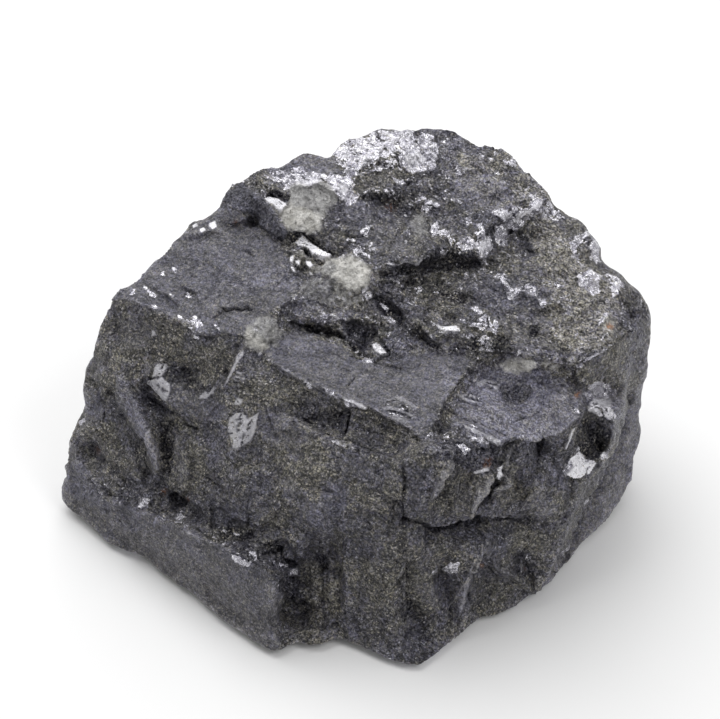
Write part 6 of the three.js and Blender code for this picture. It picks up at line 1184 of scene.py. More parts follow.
def step(points, reach, side=1, uv=None, half=0.8):
    """1 at the line falling to 0 over reach on the right (side 1) or left (-1) of travel, 0 on the other side."""
    uv = WAVER if uv is None else uv
    pts = np.array(points, float)
    out = np.zeros(len(V))
    k = _near(uv, pts, reach + half)
    if len(k):
        d, s, t = _segments(uv[k], pts, False)
        sd = d * s * side
        ends = np.clip(np.minimum(t, 1 - t) * 8, 0, 1)
        rise = smooth01(sd, -half, half)
        fall = np.clip(1 - (sd - half) / reach, 0, 1) ** 1.5
        out[k] = rise * fall * ends * seen[k] * (0.55 + 0.9 * wear[k])
    return out

def lie(du, dv, field):
    """Direction in space that lies in the mean plane of a field and is seen as (du, dv)."""
    n = (N * field[:, None]).sum(0)
    n /= np.linalg.norm(n)
    d = RIGHT * du - UP * dv
    d = d - AHEAD * (d @ n) / (AHEAD @ n)
    return d / np.linalg.norm(d)

Z0 = np.zeros(len(V))
lift = Z0.copy()                    # mm along the normal
calm = np.ones(len(V))              # 1 full grain and steps, 0 flat
M = {n: Z0.copy() for n in ("smooth", "cleave", "gangue", "glass", "dark_tone_and_shade", "pale", "warm", "grain",
                            "violet", "olive", "rust", "broken", "pit_shade_and_dust", "edge", "tone_and_painted_light")}
def put(name, field, amount=1.0):
    M[name] = np.maximum(M[name], field * amount)

def creased(uv, lines, fades):
    """Height over the reference view: flat facets strung between the lines, zero on the fading outline."""
    pts, hs, edges = [], [], []
    for ln in lines:
        for s, (u, v, h) in enumerate(ln):
            pts.append(Vector((u, v)))
            hs.append(h)
            if s:
                edges.append((len(pts) - 2, len(pts) - 1))
    for ln in fades:
        at = len(pts)
        for s, (u, v) in enumerate(ln):
            pts.append(Vector((u, v)))
            hs.append(0.0)
            edges.append((at + s, at + (s + 1) % len(ln)))
    vs, _, faces, back, _, _ = delaunay_2d_cdt(pts, edges, [], 0, 1e-5, True)
    vh = [max((hs[i] for i in b), key=abs) if b else 0.0 for b in back]
    out = np.zeros(len(uv))
    rim = np.array(fades[0], float)
    for f in faces:
        a, b, c = (np.array(vs[i][:]) for i in f)
        ha, hb, hc = (vh[i] for i in f)
        if ha == 0 and hb == 0 and hc == 0:
            continue
        mid = (a + b + c) / 3
        if not inside(mid[None, :], rim)[0]:
            continue
        lo, hi = np.minimum(np.minimum(a, b), c), np.maximum(np.maximum(a, b), c)
        k = np.where((uv[:, 0] >= lo[0]) & (uv[:, 0] <= hi[0]) & (uv[:, 1] >= lo[1]) & (uv[:, 1] <= hi[1]))[0]
        if not len(k):
            continue
        det = (b[1] - c[1]) * (a[0] - c[0]) + (c[0] - b[0]) * (a[1] - c[1])
        if abs(det) < 1e-6:
            continue
        x, y = uv[k, 0] - c[0], uv[k, 1] - c[1]
        wa = ((b[1] - c[1]) * x + (c[0] - b[0]) * y) / det
        wb = ((c[1] - a[1]) * x + (a[0] - c[0]) * y) / det
        wc = 1 - wa - wb
        g = (wa >= 0) & (wb >= 0) & (wc >= 0)
        out[k[g]] = wa[g] * ha + wb[g] * hb + wc[g] * hc
    return out

# =====================================================================
# The large faces
# =====================================================================
r_plateau, r_centre, r_right = region(R_PLATEAU, 4), region(R_CENTRE, 4), region(R_RIGHT, 4)
r_farwall, r_side, r_block = region(R_FARWALL, 5), region(R_SIDE, 5), region(R_BLOCK, 4)
r_long, r_wedge, r_front = region(R_LONGFACE, 5), region(R_WEDGE, 5), region(R_FRONT, 5)
r_bar = region(R_BAR, 2.5)
front_any = np.clip(r_long + r_wedge + r_front + r_block + r_farwall + r_side, 0, 1)
flat_any = np.clip(r_plateau + r_centre + r_right, 0, 1)
r_top = np.clip(seen - front_any - flat_any - r_bar, 0, 1)
hidden = 1 - np.clip(seen, 0, 1)

for f, a in ((r_plateau, 0.80), (r_centre, 0.82), (r_right, 0.66), (r_farwall, 0.80), (r_block, 0.62), (r_side, 0.50), (r_bar, 0.80), (r_long, 0.40), (r_wedge, 0.40), (r_front, 0.50)):
    calm = np.minimum(calm, 1 - a * f)
put("smooth", r_plateau, 0.85); put("smooth", r_centre, 0.95); put("smooth", r_right, 0.8); put("smooth", r_bar, 0.9); put("smooth", r_farwall, 0.95); put("smooth", r_block, 0.75)
put("grain", r_long, 1.0); put("grain", r_wedge, 1.0); put("grain", r_front, 0.8); put("grain", r_top, 0.5); put("grain", r_block, 0.25); put("grain", r_side, 0.5); put("grain", r_plateau, 0.3); put("grain", r_centre, 0.2)
put("dark_tone_and_shade", r_long, 0.10); put("dark_tone_and_shade", r_wedge, 0.18); put("dark_tone_and_shade", r_front, 0.31); put("dark_tone_and_shade", r_block, 0.05); put("dark_tone_and_shade", r_bar, 0.66); put("violet", r_bar, 0.8)
put("warm", r_front, 0.5); put("warm", r_wedge, 0.4); put("warm", r_side, 0.9); put("warm", r_farwall, 0.6); put("warm", r_long, 0.35); put("warm", r_top, 0.35)
put("broken", r_top, 1.0); put("broken", r_right, 0.3)
for a, p in VIOLET:
    put("violet", region(p, 7), a)
for a, p in OLIVE:
    put("olive", region(p, 9), a)
for u, v, r in RUST:
    put("rust", np.clip(1.4 - np.hypot(RAG[:, 0] - u, RAG[:, 1] - v) / r, 0, 1) * (seen > 0), 1.0)

# ------------------------------------------------------------ the fine tables
for a, p in BRIGHT:
    put("cleave", region(p, 2.2), a)
for a, h, p in GANGUE:
    g = region(p, 9)
    put("gangue", g, a)
    lift += h * region(p, 12)
    calm = np.minimum(calm, 1 - 0.35 * g)
for p in GREYGLASS:
    put("glass", region(p, 4.0), 1.0)
# hollows, ledges and risers get painted shade; dull dark faces get their own darker tone
for a, p in DARK_AND_SHADE:
    put("dark_tone_and_shade", region(p, 5), a)
# crevices and mirror-dark facets are painted black as shade and dark reflection, and pressed in a little
black_shade = Z0.copy()
for a, p in BLACK_SHADE:
    f = region(p, 1.6, UV + 0.6 * (SOFTRAG - UV))
    black_shade = np.maximum(black_shade, a * f)
    lift -= 0.30 * a * region(p, 3.0)
for a, p in SHEEN:
    f = region(p, 8)
    put("smooth", f, a)
    calm = np.minimum(calm, 1 - 0.45 * a * f)
# each crack is cut in and darkened with painted shade
for w, d, k, p in GROOVES:
    f = stroke(p, w)
    lift -= d * f
    put("dark_tone_and_shade", smooth01(f, 0.1, 0.8), k * 0.75)
crest_highlight = Z0.copy()
# the crest of every rib is painted lighter as a highlight
for w, h, b, p in RIDGES:
    f = stroke(p, w, WAVER)
    lift += h * f
    put("pale", smooth01(f, 0.35, 0.95), b)
    crest_highlight = np.maximum(crest_highlight, smooth01(f, 0.10, 0.70) * min(1.0, 0.55 + b))
for h, r, s, half, p in STEPS:
    lift += h * step(p, r, s, half=half)
for d, b, p in HOLLOWS:
    lift -= d * region(p, b)
# dark lines get painted shade, light lines a painted highlight
for w, h, k, b, p in LINES:
    f = stroke(p, w, SOFTRAG) * (0.55 + 0.45 * wear)
    lift += h * f
    crisp_f = smooth01(f, 0.25, 0.75)
    put("dark_tone_and_shade", crisp_f, k)
    put("pale", crisp_f * (0.4 + 0.6 * wear), b)
for a, b, p in CALM:
    f = region(p, 5)
    put("smooth", f, a)
    put("tone_and_painted_light", f, b)
    calm = np.minimum(calm, 1 - 0.4 * a * f)
crease = creased(WAVER, CREASES, FADE) * seen
lift += (1.22 + 0.42 * r_front) * crease
# painted highlight on the crease crests and painted shade in the valleys
put("tone_and_painted_light", smooth01(crease, 0.15, 0.85), 0.30 + 0.15 * r_front)
put("dark_tone_and_shade", smooth01(-crease, 0.15, 0.90), 0.50)
put("tone_and_painted_light", r_farwall, 0.28)
# broad lighter ground: lighter tone and painted light
for a, p in LIGHTER_TONE_AND_LIGHT:
    put("tone_and_painted_light", region(p, 9), a)
put("olive", r_farwall, 0.45)

# the far wall stands back from the front corner
lift -= 0.9 * region([(617,412),(624,408),(628,432),(616,470),(600,500),(584,530),(570,556),(554,578),(547,572),(562,541),(580,501),(598,472),(612,442)], 6, UV)

# hairline cuts darken and interrupt the bright facets
cut = Z0.copy()
for w, p in CUTS:
    cut = np.maximum(cut, smooth01(stroke(p, w * 1.25, UV + 0.6 * (SOFTRAG - UV)), 0.05, 0.60))

# flat facets, crisp at the border and free of grain, painted near-white as a highlight
flat_mask = Z0.copy()
flat_lift = Z0.copy()
for h, gx, gy, b, p in FLATS:
    f = region(p, 1.3, UV + 0.5 * (SOFTRAG - UV))
    c = np.mean(np.array(p, float), 0)
    flat_lift = np.where(f > 0.5, h + gx * (UV[:, 0] - c[0]) + gy * (UV[:, 1] - c[1]), flat_lift)
    flat_mask = np.maximum(flat_mask, f)
    put("pale", f, b)

# =====================================================================
# Relief of the whole lump
# =====================================================================
# where the hidden sides are dull or bright, in patches
patch = fbm(V, 17.0, 3, 301)
patch2 = fbm(V, 9.0, 3, 305)
put("cleave", hidden * smooth01(patch2 + 0.25 * noise(V, 1.8, 306), 0.30, 0.42), 0.85)
put("smooth", hidden * smooth01(-patch, 0.10, 0.30), 0.8)
put("grain", hidden * smooth01(patch, -0.25, 0.10), 0.9)
put("dark_tone_and_shade", hidden * smooth01(fbm(V, 12.0, 3, 309), 0.0, 0.5), 0.45)
put("warm", hidden * smooth01(fbm(V, 14.0, 2, 313), 0.1, 0.5), 0.7)
put("broken", hidden * smooth01(fbm(V, 15.0, 2, 315), 0.0, 0.3), 0.9)
put("violet", smooth01(fbm(V, 7.0, 3, 317), 0.15, 0.40), 0.55)
put("olive", smooth01(-fbm(V, 7.0, 3, 317), 0.15, 0.40), 0.55)
calm = np.minimum(calm, 1 - 0.55 * M["smooth"] * hidden)
# scattered bright patches in the broken top
put("cleave", r_top * (1 - 0.8 * M["smooth"]) * smooth01(fbm(V, 3.0, 3, 321), 0.32, 0.46), 0.55)
put("cleave", r_top * (1 - 0.7 * M["smooth"]), 0.20)
put("cleave", r_right, 0.14)
put("cleave", r_plateau, 0.08)
put("cleave", r_centre, 0.06)
put("smooth", r_top * smooth01(-patch2, 0.18, 0.36), 0.5)

along_g = lie(-0.31, 0.95, r_front)
along_p = lie(0.90, 0.43, r_centre)
along_h = lie(-0.20, 0.98, r_farwall)
Vg = drawn(V, along_g, 3.2)
Vp = drawn(V, along_p, 5.0)
Vh = drawn(V, along_h, 3.5)

def pick(field, a, b):
    return a * (1 - field) + b * field
big = pick(r_front, facets(V, 6.4, 425), facets(Vg, 4.4, 426))
mid = pick(r_front, facets(V, 3.1, 421), facets(Vg, 2.3, 427))
small = pick(r_front, facets(V, 1.6, 422), facets(Vg, 1.35, 428))
coarse_w = np.clip(calm + 0.25 * front_any, 0, 1)
tight = 0.35 + 0.65 * np.clip(seen, 0, 1) * smooth01(facing, 0.05, 0.35)      # the mesh is coarser out of view
grazing = 0.25 + 0.75 * smooth01(np.abs(facing), 0.10, 0.45)
relief = (
    0.30 * blocks(V, (8.5, 7.0, 4.6), 401, 0.30)
    + 0.24 * blocks(V, (4.3, 3.4, 2.7), 402, 0.32)
    + 0.13 * grazing * blocks(V, (2.1, 1.7, 1.5), 403, 0.35)
    + 0.22 * fbm(V, 5.0, 3, 411)
)
lift = lift + calm * relief
lift = lift + coarse_w * (0.40 * big + 0.27 * mid) + np.clip(calm, 0.22, 1) * tight * (0.17 * small + 0.09 * noise(V, 0.95, 423))
lift = lift + tight * M["grain"] * (0.10 * noise(V, 1.1, 431) + 0.07 * noise(V, 0.75, 432))
# fine lines along the long edge of the middle plane and down the far wall
lift = lift + r_centre * 0.16 * noise(Vp, 1.0, 451) + r_right * 0.10 * noise(Vp, 0.9, 452)
lift = lift + (r_farwall + 0.8 * r_side) * 0.14 * noise(Vh, 1.3, 453)
# the outline keeps its reach: the facets would otherwise eat into it
rimmed = 1 - smooth01(np.abs(facing), 0.10, 0.50)
lift = lift - 0.10 + rimmed * (0.42 + 0.40 * smooth01(-UV[:, 1], -215, -150))
# the crisp facets keep the large forms below them only
base = (soften(np.stack([lift, Z0, Z0], 1), 34, 0.6))[:, 0]
lift = lift * (1 - flat_mask) + flat_mask * (base + flat_lift)
lift = lift - 0.16 * cut
M["pale"] *= 1 - 0.95 * cut
M["cleave"] *= 1 - 0.95 * cut
put("dark_tone_and_shade", cut, 0.8)
M["pale"] *= 1 - black_shade
M["cleave"] *= 1 - black_shade
M["gangue"] *= 1 - black_shade
put("dark_tone_and_shade", black_shade, 1.0)

# the rest face stays flat and nothing leaves the box of the CAD lump
near_foot = smooth01(V[:, 2], 0.3, 3.0)
low_side = np.where(foot > 0, 0.0, np.clip(near_foot, 0.12, 1))
back = smooth01(-facing, 0.22, 0.55)
lift += back * (0.55 * noise(V, 9.0, 461) + 0.75 * np.abs(noise(V, 6.0, 462)) + 0.35 * blocks(V, (10.0, 8.0, 6.0), 463, 0.25) - 0.15)
P = V + N * (lift * low_side)[:, None]
# the rim of the rest face follows its walls outward a little, in its own plane
edge_on = (1 - smooth01(np.abs(facing), 0.12, 0.42)) * (UV[:, 1] < 560)
P = P + (0.85 * edge_on)[:, None] * (soften(P, 4, 0.6) - P)
level = np.stack([N[:, 0], N[:, 1], Z0], 1)
level /= np.maximum(np.linalg.norm(level, axis=1, keepdims=True), 1e-9)
at_rim = smooth01(np.hypot(N[:, 0], N[:, 1]), 0.3, 0.6) * (1 - smooth01(V[:, 2], 0.5, 3.5))
P += level * (0.40 * at_rim)[:, None]
for x, y, du, dv, reach in RIM:
    near_rim = np.exp(-((UV[:, 0] - x) ** 2 + (UV[:, 1] - y) ** 2) / reach ** 2) * UVW[:, 2] / F_PX
    P += (near_rim * (foot == 0))[:, None] * (RIGHT * du - UP * dv)
lo = np.array(CAD_LO) * 1000.0
hi = np.array(CAD_HI) * 1000.0
P[:, 2] = np.where(foot > 0, V[:, 2], np.maximum(P[:, 2], 0.04))
out_of = (P < lo).any(1) | (P > hi - 0.02).any(1)
print("CLIPPED", int((out_of & (foot == 0)).sum()), "points")
P = np.clip(P, lo + [0.02, 0.02, 0.0], hi - 0.02)

# how deep or how proud every point lies among its neighbours, at two sizes
n_now = vert_normals(P, T)
s1 = soften(P, 5, 0.6)
s2 = soften(s1, 22, 0.7)
d1 = ((P - s1) * n_now).sum(1)
d2 = ((s1 - s2) * n_now).sum(1)
# places where the painted shade of hollows and dark faces is mostly held back
filled = region([(584,384),(592,380),(604,377),(614,381),(621,392),(622,408),(620,417),(606,418),(594,412),(587,402)], 5)
filled = np.maximum(filled, 0.6 * region([(284,316),(300,312),(320,316),(346,322),(344,331),(322,329),(300,326),(284,326)], 4))
filled = np.maximum(filled, 0.6 * region([(478,358),(500,354),(530,352),(560,354),(582,360),(584,380),(566,392),(545,384),(520,378),(498,376),(480,370)], 6))
M["dark_tone_and_shade"] *= 1 - 0.75 * filled
# hollows: painted shade, and where the ochre dust gathers
M["pit_shade_and_dust"] = (1 - 0.8 * filled) * np.clip(smooth01(-d1, 0.03, 0.20) * 0.6 + smooth01(-d2, 0.08, 0.55) * 0.7, 0, 1) * (1 - flat_mask)
# proud points are worn edges; rib crests and crease crests add a painted highlight to the same field
M["edge"] = np.clip(smooth01(d1, 0.04, 0.20) * 0.7 + smooth01(d2, 0.10, 0.5) * 0.4, 0, 1)
M["edge"] = np.maximum(M["edge"] * (1 - 0.35 * r_top), crest_highlight)
M["edge"] = np.maximum(M["edge"], 0.85 * smooth01(crease, 0.30, 0.85))
around = soften(np.stack([black_shade, M["gangue"], Z0], 1), 8, 0.6)
M["edge"] *= (1 - black_shade) * (1 - smooth01(around[:, 0], 0.06, 0.35)) * (1 - 0.8 * smooth01(around[:, 1], 0.1, 0.5)) * (1 - 0.9 * r_bar)
print("TRIS", len(T))
print("PIT", float(M["pit_shade_and_dust"].mean()), "EDGE", float(M["edge"].mean()))

me = bpy.data.meshes.new("galena_cluster")
me.from_pydata((P / 1000.0).tolist(), [], T.tolist())
me.validate()
me.update()
lump = bpy.data.objects.new("galena_cluster", me)
bpy.context.scene.collection.objects.link(lump)
for n in M:
    at = me.attributes.new(n, 'FLOAT', 'POINT')
    at.data.foreach_set("value", np.clip(M[n], 0, 1).astype(np.float32))
me.shade_flat()

# =====================================================================
# Material
# =====================================================================
class Tree:
    def __init__(self, mat):
        self.t = mat.node_tree
        self.n = self.t.nodes
        self.x = 0
    def add(self, kind, **kw):
        nd = self.n.new(kind)
        self.x += 1
        nd.location = (self.x * 40, -(self.x % 9) * 120)
        for k, v in kw.items():
            setattr(nd, k, v)
        return nd
    def put(self, sock, v):
        if hasattr(v, "is_linked") or isinstance(v, bpy.types.NodeSocket):
            self.t.links.new(v, sock)
        else:
            sock.default_value = v
    def math(self, op, a, b=None, c=None, clamp=False):
        nd = self.add("ShaderNodeMath", operation=op, use_clamp=clamp)
        self.put(nd.inputs[0], a)
        if b is not None:
            self.put(nd.inputs[1], b)
        if c is not None:
            self.put(nd.inputs[2], c)
        return nd.outputs[0]
    def vmath(self, op, a, b=None, scale=None):
        nd = self.add("ShaderNodeVectorMath", operation=op)
        self.put(nd.inputs[0], a)
        if b is not None:
            self.put(nd.inputs[1], b)
        if scale is not None:
            self.put(nd.inputs["Scale"], scale)
        return nd.outputs["Value"] if op in ("DOT_PRODUCT", "LENGTH") else nd.outputs[0]
    def attr(self, name):
        return self.add("ShaderNodeAttribute", attribute_type='GEOMETRY', attribute_name=name).outputs["Fac"]
    def noise(self, vec, size, detail=2.0, rough=0.5, dist=0.0):
        nd = self.add("ShaderNodeTexNoise", noise_dimensions='3D')
        self.put(nd.inputs["Vector"], vec)
        nd.inputs["Scale"].default_value = 1.0 / size
        nd.inputs["Detail"].default_value = detail
        nd.inputs["Roughness"].default_value = rough
        nd.inputs["Distortion"].default_value = dist
        return nd.outputs["Fac"]
    def voronoi(self, vec, size, feature='F1', randomness=1.0):
        nd = self.add("ShaderNodeTexVoronoi", voronoi_dimensions='3D', feature=feature)
        self.put(nd.inputs["Vector"], vec)
        nd.inputs["Scale"].default_value = 1.0 / size
        nd.inputs["Randomness"].default_value = randomness
        return nd
    def ramp(self, v, lo, hi, a=0.0, b=1.0, kind='LINEAR'):
        nd = self.add("ShaderNodeMapRange", interpolation_type=kind)
        self.put(nd.inputs["Value"], v)
        nd.inputs["From Min"].default_value = lo
        nd.inputs["From Max"].default_value = hi
        nd.inputs["To Min"].default_value = a
        nd.inputs["To Max"].default_value = b
        return nd.outputs["Result"]
    def mix(self, f, a, b):
        nd = self.add("ShaderNodeMix", data_type='RGBA')
        self.put(nd.inputs["Factor"], f)
        self.put(nd.inputs[6], a)
        self.put(nd.inputs[7], b)
        return nd.outputs[2]
    def fmix(self, f, a, b):
        nd = self.add("ShaderNodeMix", data_type='FLOAT')
        self.put(nd.inputs[0], f)
        self.put(nd.inputs[2], a)
        self.put(nd.inputs[3], b)
        return nd.outputs[0]
    def tilted(self, vec, size):
        """Height of random flat facets of about size mm, in mm."""
        v = self.voronoi(vec, size)
        away = self.vmath('SUBTRACT', vec, v.outputs["Position"])
        dirn = self.vmath('SUBTRACT', v.outputs["Color"], (0.5, 0.5, 0.5))
        return self.vmath('DOT_PRODUCT', away, dirn), v
    def bump(self, height, mm, strength, normal=None):
        nd = self.add("ShaderNodeBump")
        nd.inputs["Distance"].default_value = mm / 1000.0
        self.put(nd.inputs["Strength"], strength)
        self.put(nd.inputs["Height"], height)
        if normal is not None:
            self.put(nd.inputs["Normal"], normal)
        return nd.outputs[0]

def galena_material():
    mat = bpy.data.materials.new("galena_stone")
    mat.use_nodes = True
    mat.node_tree.nodes.clear()
    t = Tree(mat)
    mm = t.vmath('SCALE', t.add("ShaderNodeTexCoord").outputs["Object"], scale=1000.0)
    # the same place measured along the cleavage axes, squeezed along the first for streaks
    cube = t.add("ShaderNodeCombineXYZ")
    for s in range(3):
        t.put(cube.inputs[s], t.vmath('DOT_PRODUCT', mm, tuple(float(v) for v in AXES[s] * (0.34, 1.0, 1.0)[s])))
    streak = cube.outputs[0]
    a = {n: t.attr(n) for n in M}
    one_minus = lambda v: t.math('SUBTRACT', 1.0, v, clamp=True)
    def line(size, seed, lo, hi):
        """1 on thin winding lines, spaced about size mm."""
        n = t.noise(t.vmath('ADD', mm, (seed, -seed, 2.0 * seed)), size, 3, 0.58)
        return one_minus(t.ramp(t.math('ABSOLUTE', t.math('SUBTRACT', n, 0.5)), lo, hi))

    # tone: grain of 0.25 and 0.5 mm, mottling of 1.2 mm and clouds of 5 mm
    fine = t.ramp(t.noise(mm, 0.40, 1.0, 0.6), 0.40, 0.60)
    finer = t.ramp(t.noise(mm, 0.23, 0.5, 0.5), 0.40, 0.60)
    fine2 = t.ramp(t.noise(streak, 0.46, 1.0, 0.5), 0.39, 0.61)
    mid = t.ramp(t.noise(mm, 1.10, 2, 0.6), 0.38, 0.62)
    broad = t.ramp(t.noise(mm, 4.2, 2, 0.5), 0.37, 0.63)
    tone = t.math('MULTIPLY', fine, 0.34)
    tone = t.math('MULTIPLY_ADD', finer, 0.28, tone)
    tone = t.math('MULTIPLY_ADD', fine2, 0.16, tone)
    tone = t.math('MULTIPLY_ADD', mid, 0.17, tone)
    tone = t.math('MULTIPLY_ADD', broad, 0.09, tone)
    tone = t.math('SUBTRACT', tone, 0.02, clamp=True)
    lean = t.math('SUBTRACT', a["violet"], a["olive"])
    # two kinds of broken surface in ragged patches: 0 dull olive grains, 1 glossy violet grey
    phase = t.math('MULTIPLY_ADD', lean, 0.20, t.noise(mm, 2.9, 4, 0.62))
    phase = t.ramp(phase, 0.44, 0.56)
    dull = t.mix(t.math('POWER', tone, 2.3), (0.005, 0.005, 0.006, 1), (0.398, 0.387, 0.379, 1))
    gloss = t.mix(t.math('POWER', tone, 1.8), (0.010, 0.010, 0.014, 1), (0.305, 0.300, 0.332, 1))
    long = t.ramp(t.noise(streak, 1.7, 3, 0.62), 0.36, 0.64)
    calm = t.fmix(0.24, tone, long)
    flatc = t.mix(t.math('POWER', calm, 1.6), (0.018, 0.018, 0.027, 1), (0.286, 0.283, 0.333, 1))
    col = t.mix(a["smooth"], t.mix(phase, dull, gloss), flatc)

    # casts: olive and violet patches, then grains of one or the other
    hue = t.ramp(t.noise(mm, 0.62, 3, 0.7), 0.38, 0.62)
    hue = t.math('MULTIPLY_ADD', lean, 0.30, hue)
    hue = t.math('MULTIPLY_ADD', t.math('SUBTRACT', phase, 0.5), 0.12, hue, clamp=True)
    cast = t.mix(hue, (1.08, 1.04, 0.78, 1), (0.94, 0.94, 1.18, 1))
    hue2 = t.ramp(t.noise(mm, 0.50, 2, 0.6), 0.58, 0.70)
    cast = t.mix(t.math('MULTIPLY', hue2, 0.6), cast, (1.22, 0.93, 0.80, 1))
    amount = t.math('MULTIPLY_ADD', a["warm"], 0.25, 0.62)
    amount = t.math('SUBTRACT', amount, t.math('MULTIPLY', a["smooth"], 0.12), clamp=True)
    tinted = t.add("ShaderNodeMix", data_type='RGBA', blend_type='MULTIPLY')
    t.put(tinted.inputs[0], amount)
    t.put(tinted.inputs[6], col)
    t.put(tinted.inputs[7], cast)
    col = tinted.outputs[2]
    # ochre dust, most of it in the small hollows
    dust = t.ramp(t.noise(mm, 0.55, 4, 0.75), 0.57, 0.68)
    dust_w = t.math('MULTIPLY_ADD', a["pit_shade_and_dust"], 0.35, t.math('MULTIPLY', a["warm"], 0.28))
    col = t.mix(t.math('MULTIPLY', dust, dust_w, clamp=True), col, (0.130, 0.110, 0.070, 1))
    col = t.mix(t.math('MULTIPLY', a["rust"], t.ramp(t.noise(mm, 0.6, 3, 0.6), 0.42, 0.56), clamp=True), col, (0.17, 0.070, 0.026, 1))
    # lighter ground (lighter tone and painted light), painted highlight on crests, and worn edges
    light = t.math('MULTIPLY_ADD', a["tone_and_painted_light"], 1.05, t.math('MULTIPLY_ADD', a["edge"], 0.28, 1.0))
    col = t.vmath('SCALE', col, scale=light)
    # painted shade in hollows and creases, darker faces, and hairline cracks
    shade_dark_and_cracks = t.math('MULTIPLY_ADD', a["pit_shade_and_dust"], 0.45, a["dark_tone_and_shade"], clamp=True)
    ragged = t.math('MULTIPLY_ADD', t.math('SUBTRACT', t.noise(mm, 0.85, 4, 0.7), 0.5), 2.2, shade_dark_and_cracks)
    ragged = t.ramp(ragged, 0.36, 0.66)
    shade_dark_and_cracks = t.math('MULTIPLY_ADD', ragged, 0.55, t.math('MULTIPLY', shade_dark_and_cracks, 0.45), clamp=True)
    shade_dark_and_cracks = t.math('MULTIPLY', shade_dark_and_cracks, t.math('MULTIPLY_ADD', fine, -0.30, 1.0), clamp=True)
    hair = t.math('MULTIPLY', line(2.6, 3.1, 0.004, 0.016), 0.55)
    hair = t.math('MULTIPLY', hair, t.ramp(t.noise(mm, 3.4, 1, 0.5), 0.46, 0.58))
    shade_dark_and_cracks = t.math('MAXIMUM', shade_dark_and_cracks, hair)
    col = t.mix(t.math('MULTIPLY', shade_dark_and_cracks, 0.88), col, (0.009, 0.0085, 0.015, 1))

    # clean lead-grey metal where the cleavage is fresh: torn along the cleavage, each facet its own tone
    warp = t.add("ShaderNodeTexNoise", noise_dimensions='3D')
    t.put(warp.inputs["Vector"], mm)
    warp.inputs["Scale"].default_value = 1.1
    bent = t.vmath('ADD', mm, t.vmath('SCALE', warp.outputs["Color"], scale=1.3))
    plates = t.voronoi(bent, 0.85)
    psep = t.add("ShaderNodeSeparateColor")
    t.put(psep.inputs[0], plates.outputs["Color"])
    torn = t.math('MULTIPLY_ADD', t.noise(streak, 0.95, 4, 0.66), 0.55, t.math('MULTIPLY', t.noise(mm, 0.52, 3, 0.65), 0.45))
    torn = t.math('SUBTRACT', torn, 0.5)
    fleck = t.ramp(t.math('MULTIPLY_ADD', torn, 3.2, a["cleave"]), 0.46, 0.56)
    fleck = t.math('MULTIPLY', fleck, one_minus(t.math('MULTIPLY', line(2.2, 7.7, 0.004, 0.014), 0.45)))
    metal = t.math('MULTIPLY', fleck, t.ramp(a["cleave"], 0.03, 0.20))
    # scraps of it over the broken faces and on worn edges
    scrap = t.ramp(t.noise(streak, 0.48, 3, 0.7), 0.60, 0.64)
    scrap = t.math('MULTIPLY', scrap, t.ramp(t.noise(mm, 2.2, 2, 0.6), 0.44, 0.60))
    where = t.math('MULTIPLY_ADD', a["edge"], 0.50, t.math('MULTIPLY', a["broken"], 0.65), clamp=True)
    where = t.math('MULTIPLY', where, one_minus(a["dark_tone_and_shade"]))
    metal = t.math('MAXIMUM', metal, t.math('MULTIPLY', scrap, where))
    worn = t.ramp(t.math('MULTIPLY_ADD', torn, 3.4, a["edge"]), 1.00, 1.10)
    metal = t.math('MAXIMUM', metal, t.math('MULTIPLY', worn, t.math('MULTIPLY_ADD', a["broken"], 0.35, 0.25)))
    # painted highlight: near-white colour, almost without metal, on the glinting facets, rib crests and light lines
    flake = t.ramp(t.noise(mm, 0.75, 4, 0.7), 0.36, 0.41)
    metal = t.math('MAXIMUM', metal, t.math('MULTIPLY', t.math('POWER', a["pale"], 1.15), flake))
    metal = t.math('MAXIMUM', metal, t.ramp(a["pale"], 0.70, 0.92))
    shade = t.math('MULTIPLY_ADD', psep.outputs[0], 0.55, t.math('MULTIPLY', t.ramp(t.noise(mm, 0.8, 3, 0.6), 0.36, 0.62), 0.45))
    bare = t.mix(t.math('MAXIMUM', shade, t.math('MULTIPLY', a["pale"], 1.25, clamp=True)), (0.30, 0.29, 0.35, 1), (0.95, 0.94, 0.99, 1))
    col = t.mix(metal, col, bare)
    # pinpoint grains of bare metal
    grains = t.voronoi(mm, 0.23)
    sep = t.add("ShaderNodeSeparateColor")
    t.put(sep.inputs[0], grains.outputs["Color"])
    bare_patch = t.ramp(t.noise(mm, 3.1, 3, 0.65), 0.42, 0.60)
    pick = t.math('GREATER_THAN', sep.outputs[0], t.math('MULTIPLY_ADD', bare_patch, 0.10, t.math('MULTIPLY_ADD', phase, 0.06, 0.84)))
    less = t.math('MAXIMUM', a["gangue"], t.math('MULTIPLY', a["smooth"], 0.70))
    less = t.math('MAXIMUM', less, t.math('MULTIPLY', shade_dark_and_cracks, 0.35))
    spark = t.math('MULTIPLY', pick, one_minus(less))
    tint = t.mix(t.math('MULTIPLY_ADD', phase, 0.45, t.math('MULTIPLY', sep.outputs[1], 0.6), clamp=True), (0.60, 0.545, 0.42, 1), (0.50, 0.505, 0.60, 1))
    col = t.mix(t.math('MULTIPLY', spark, t.math('MULTIPLY', sep.outputs[2], 0.85)), col, tint)

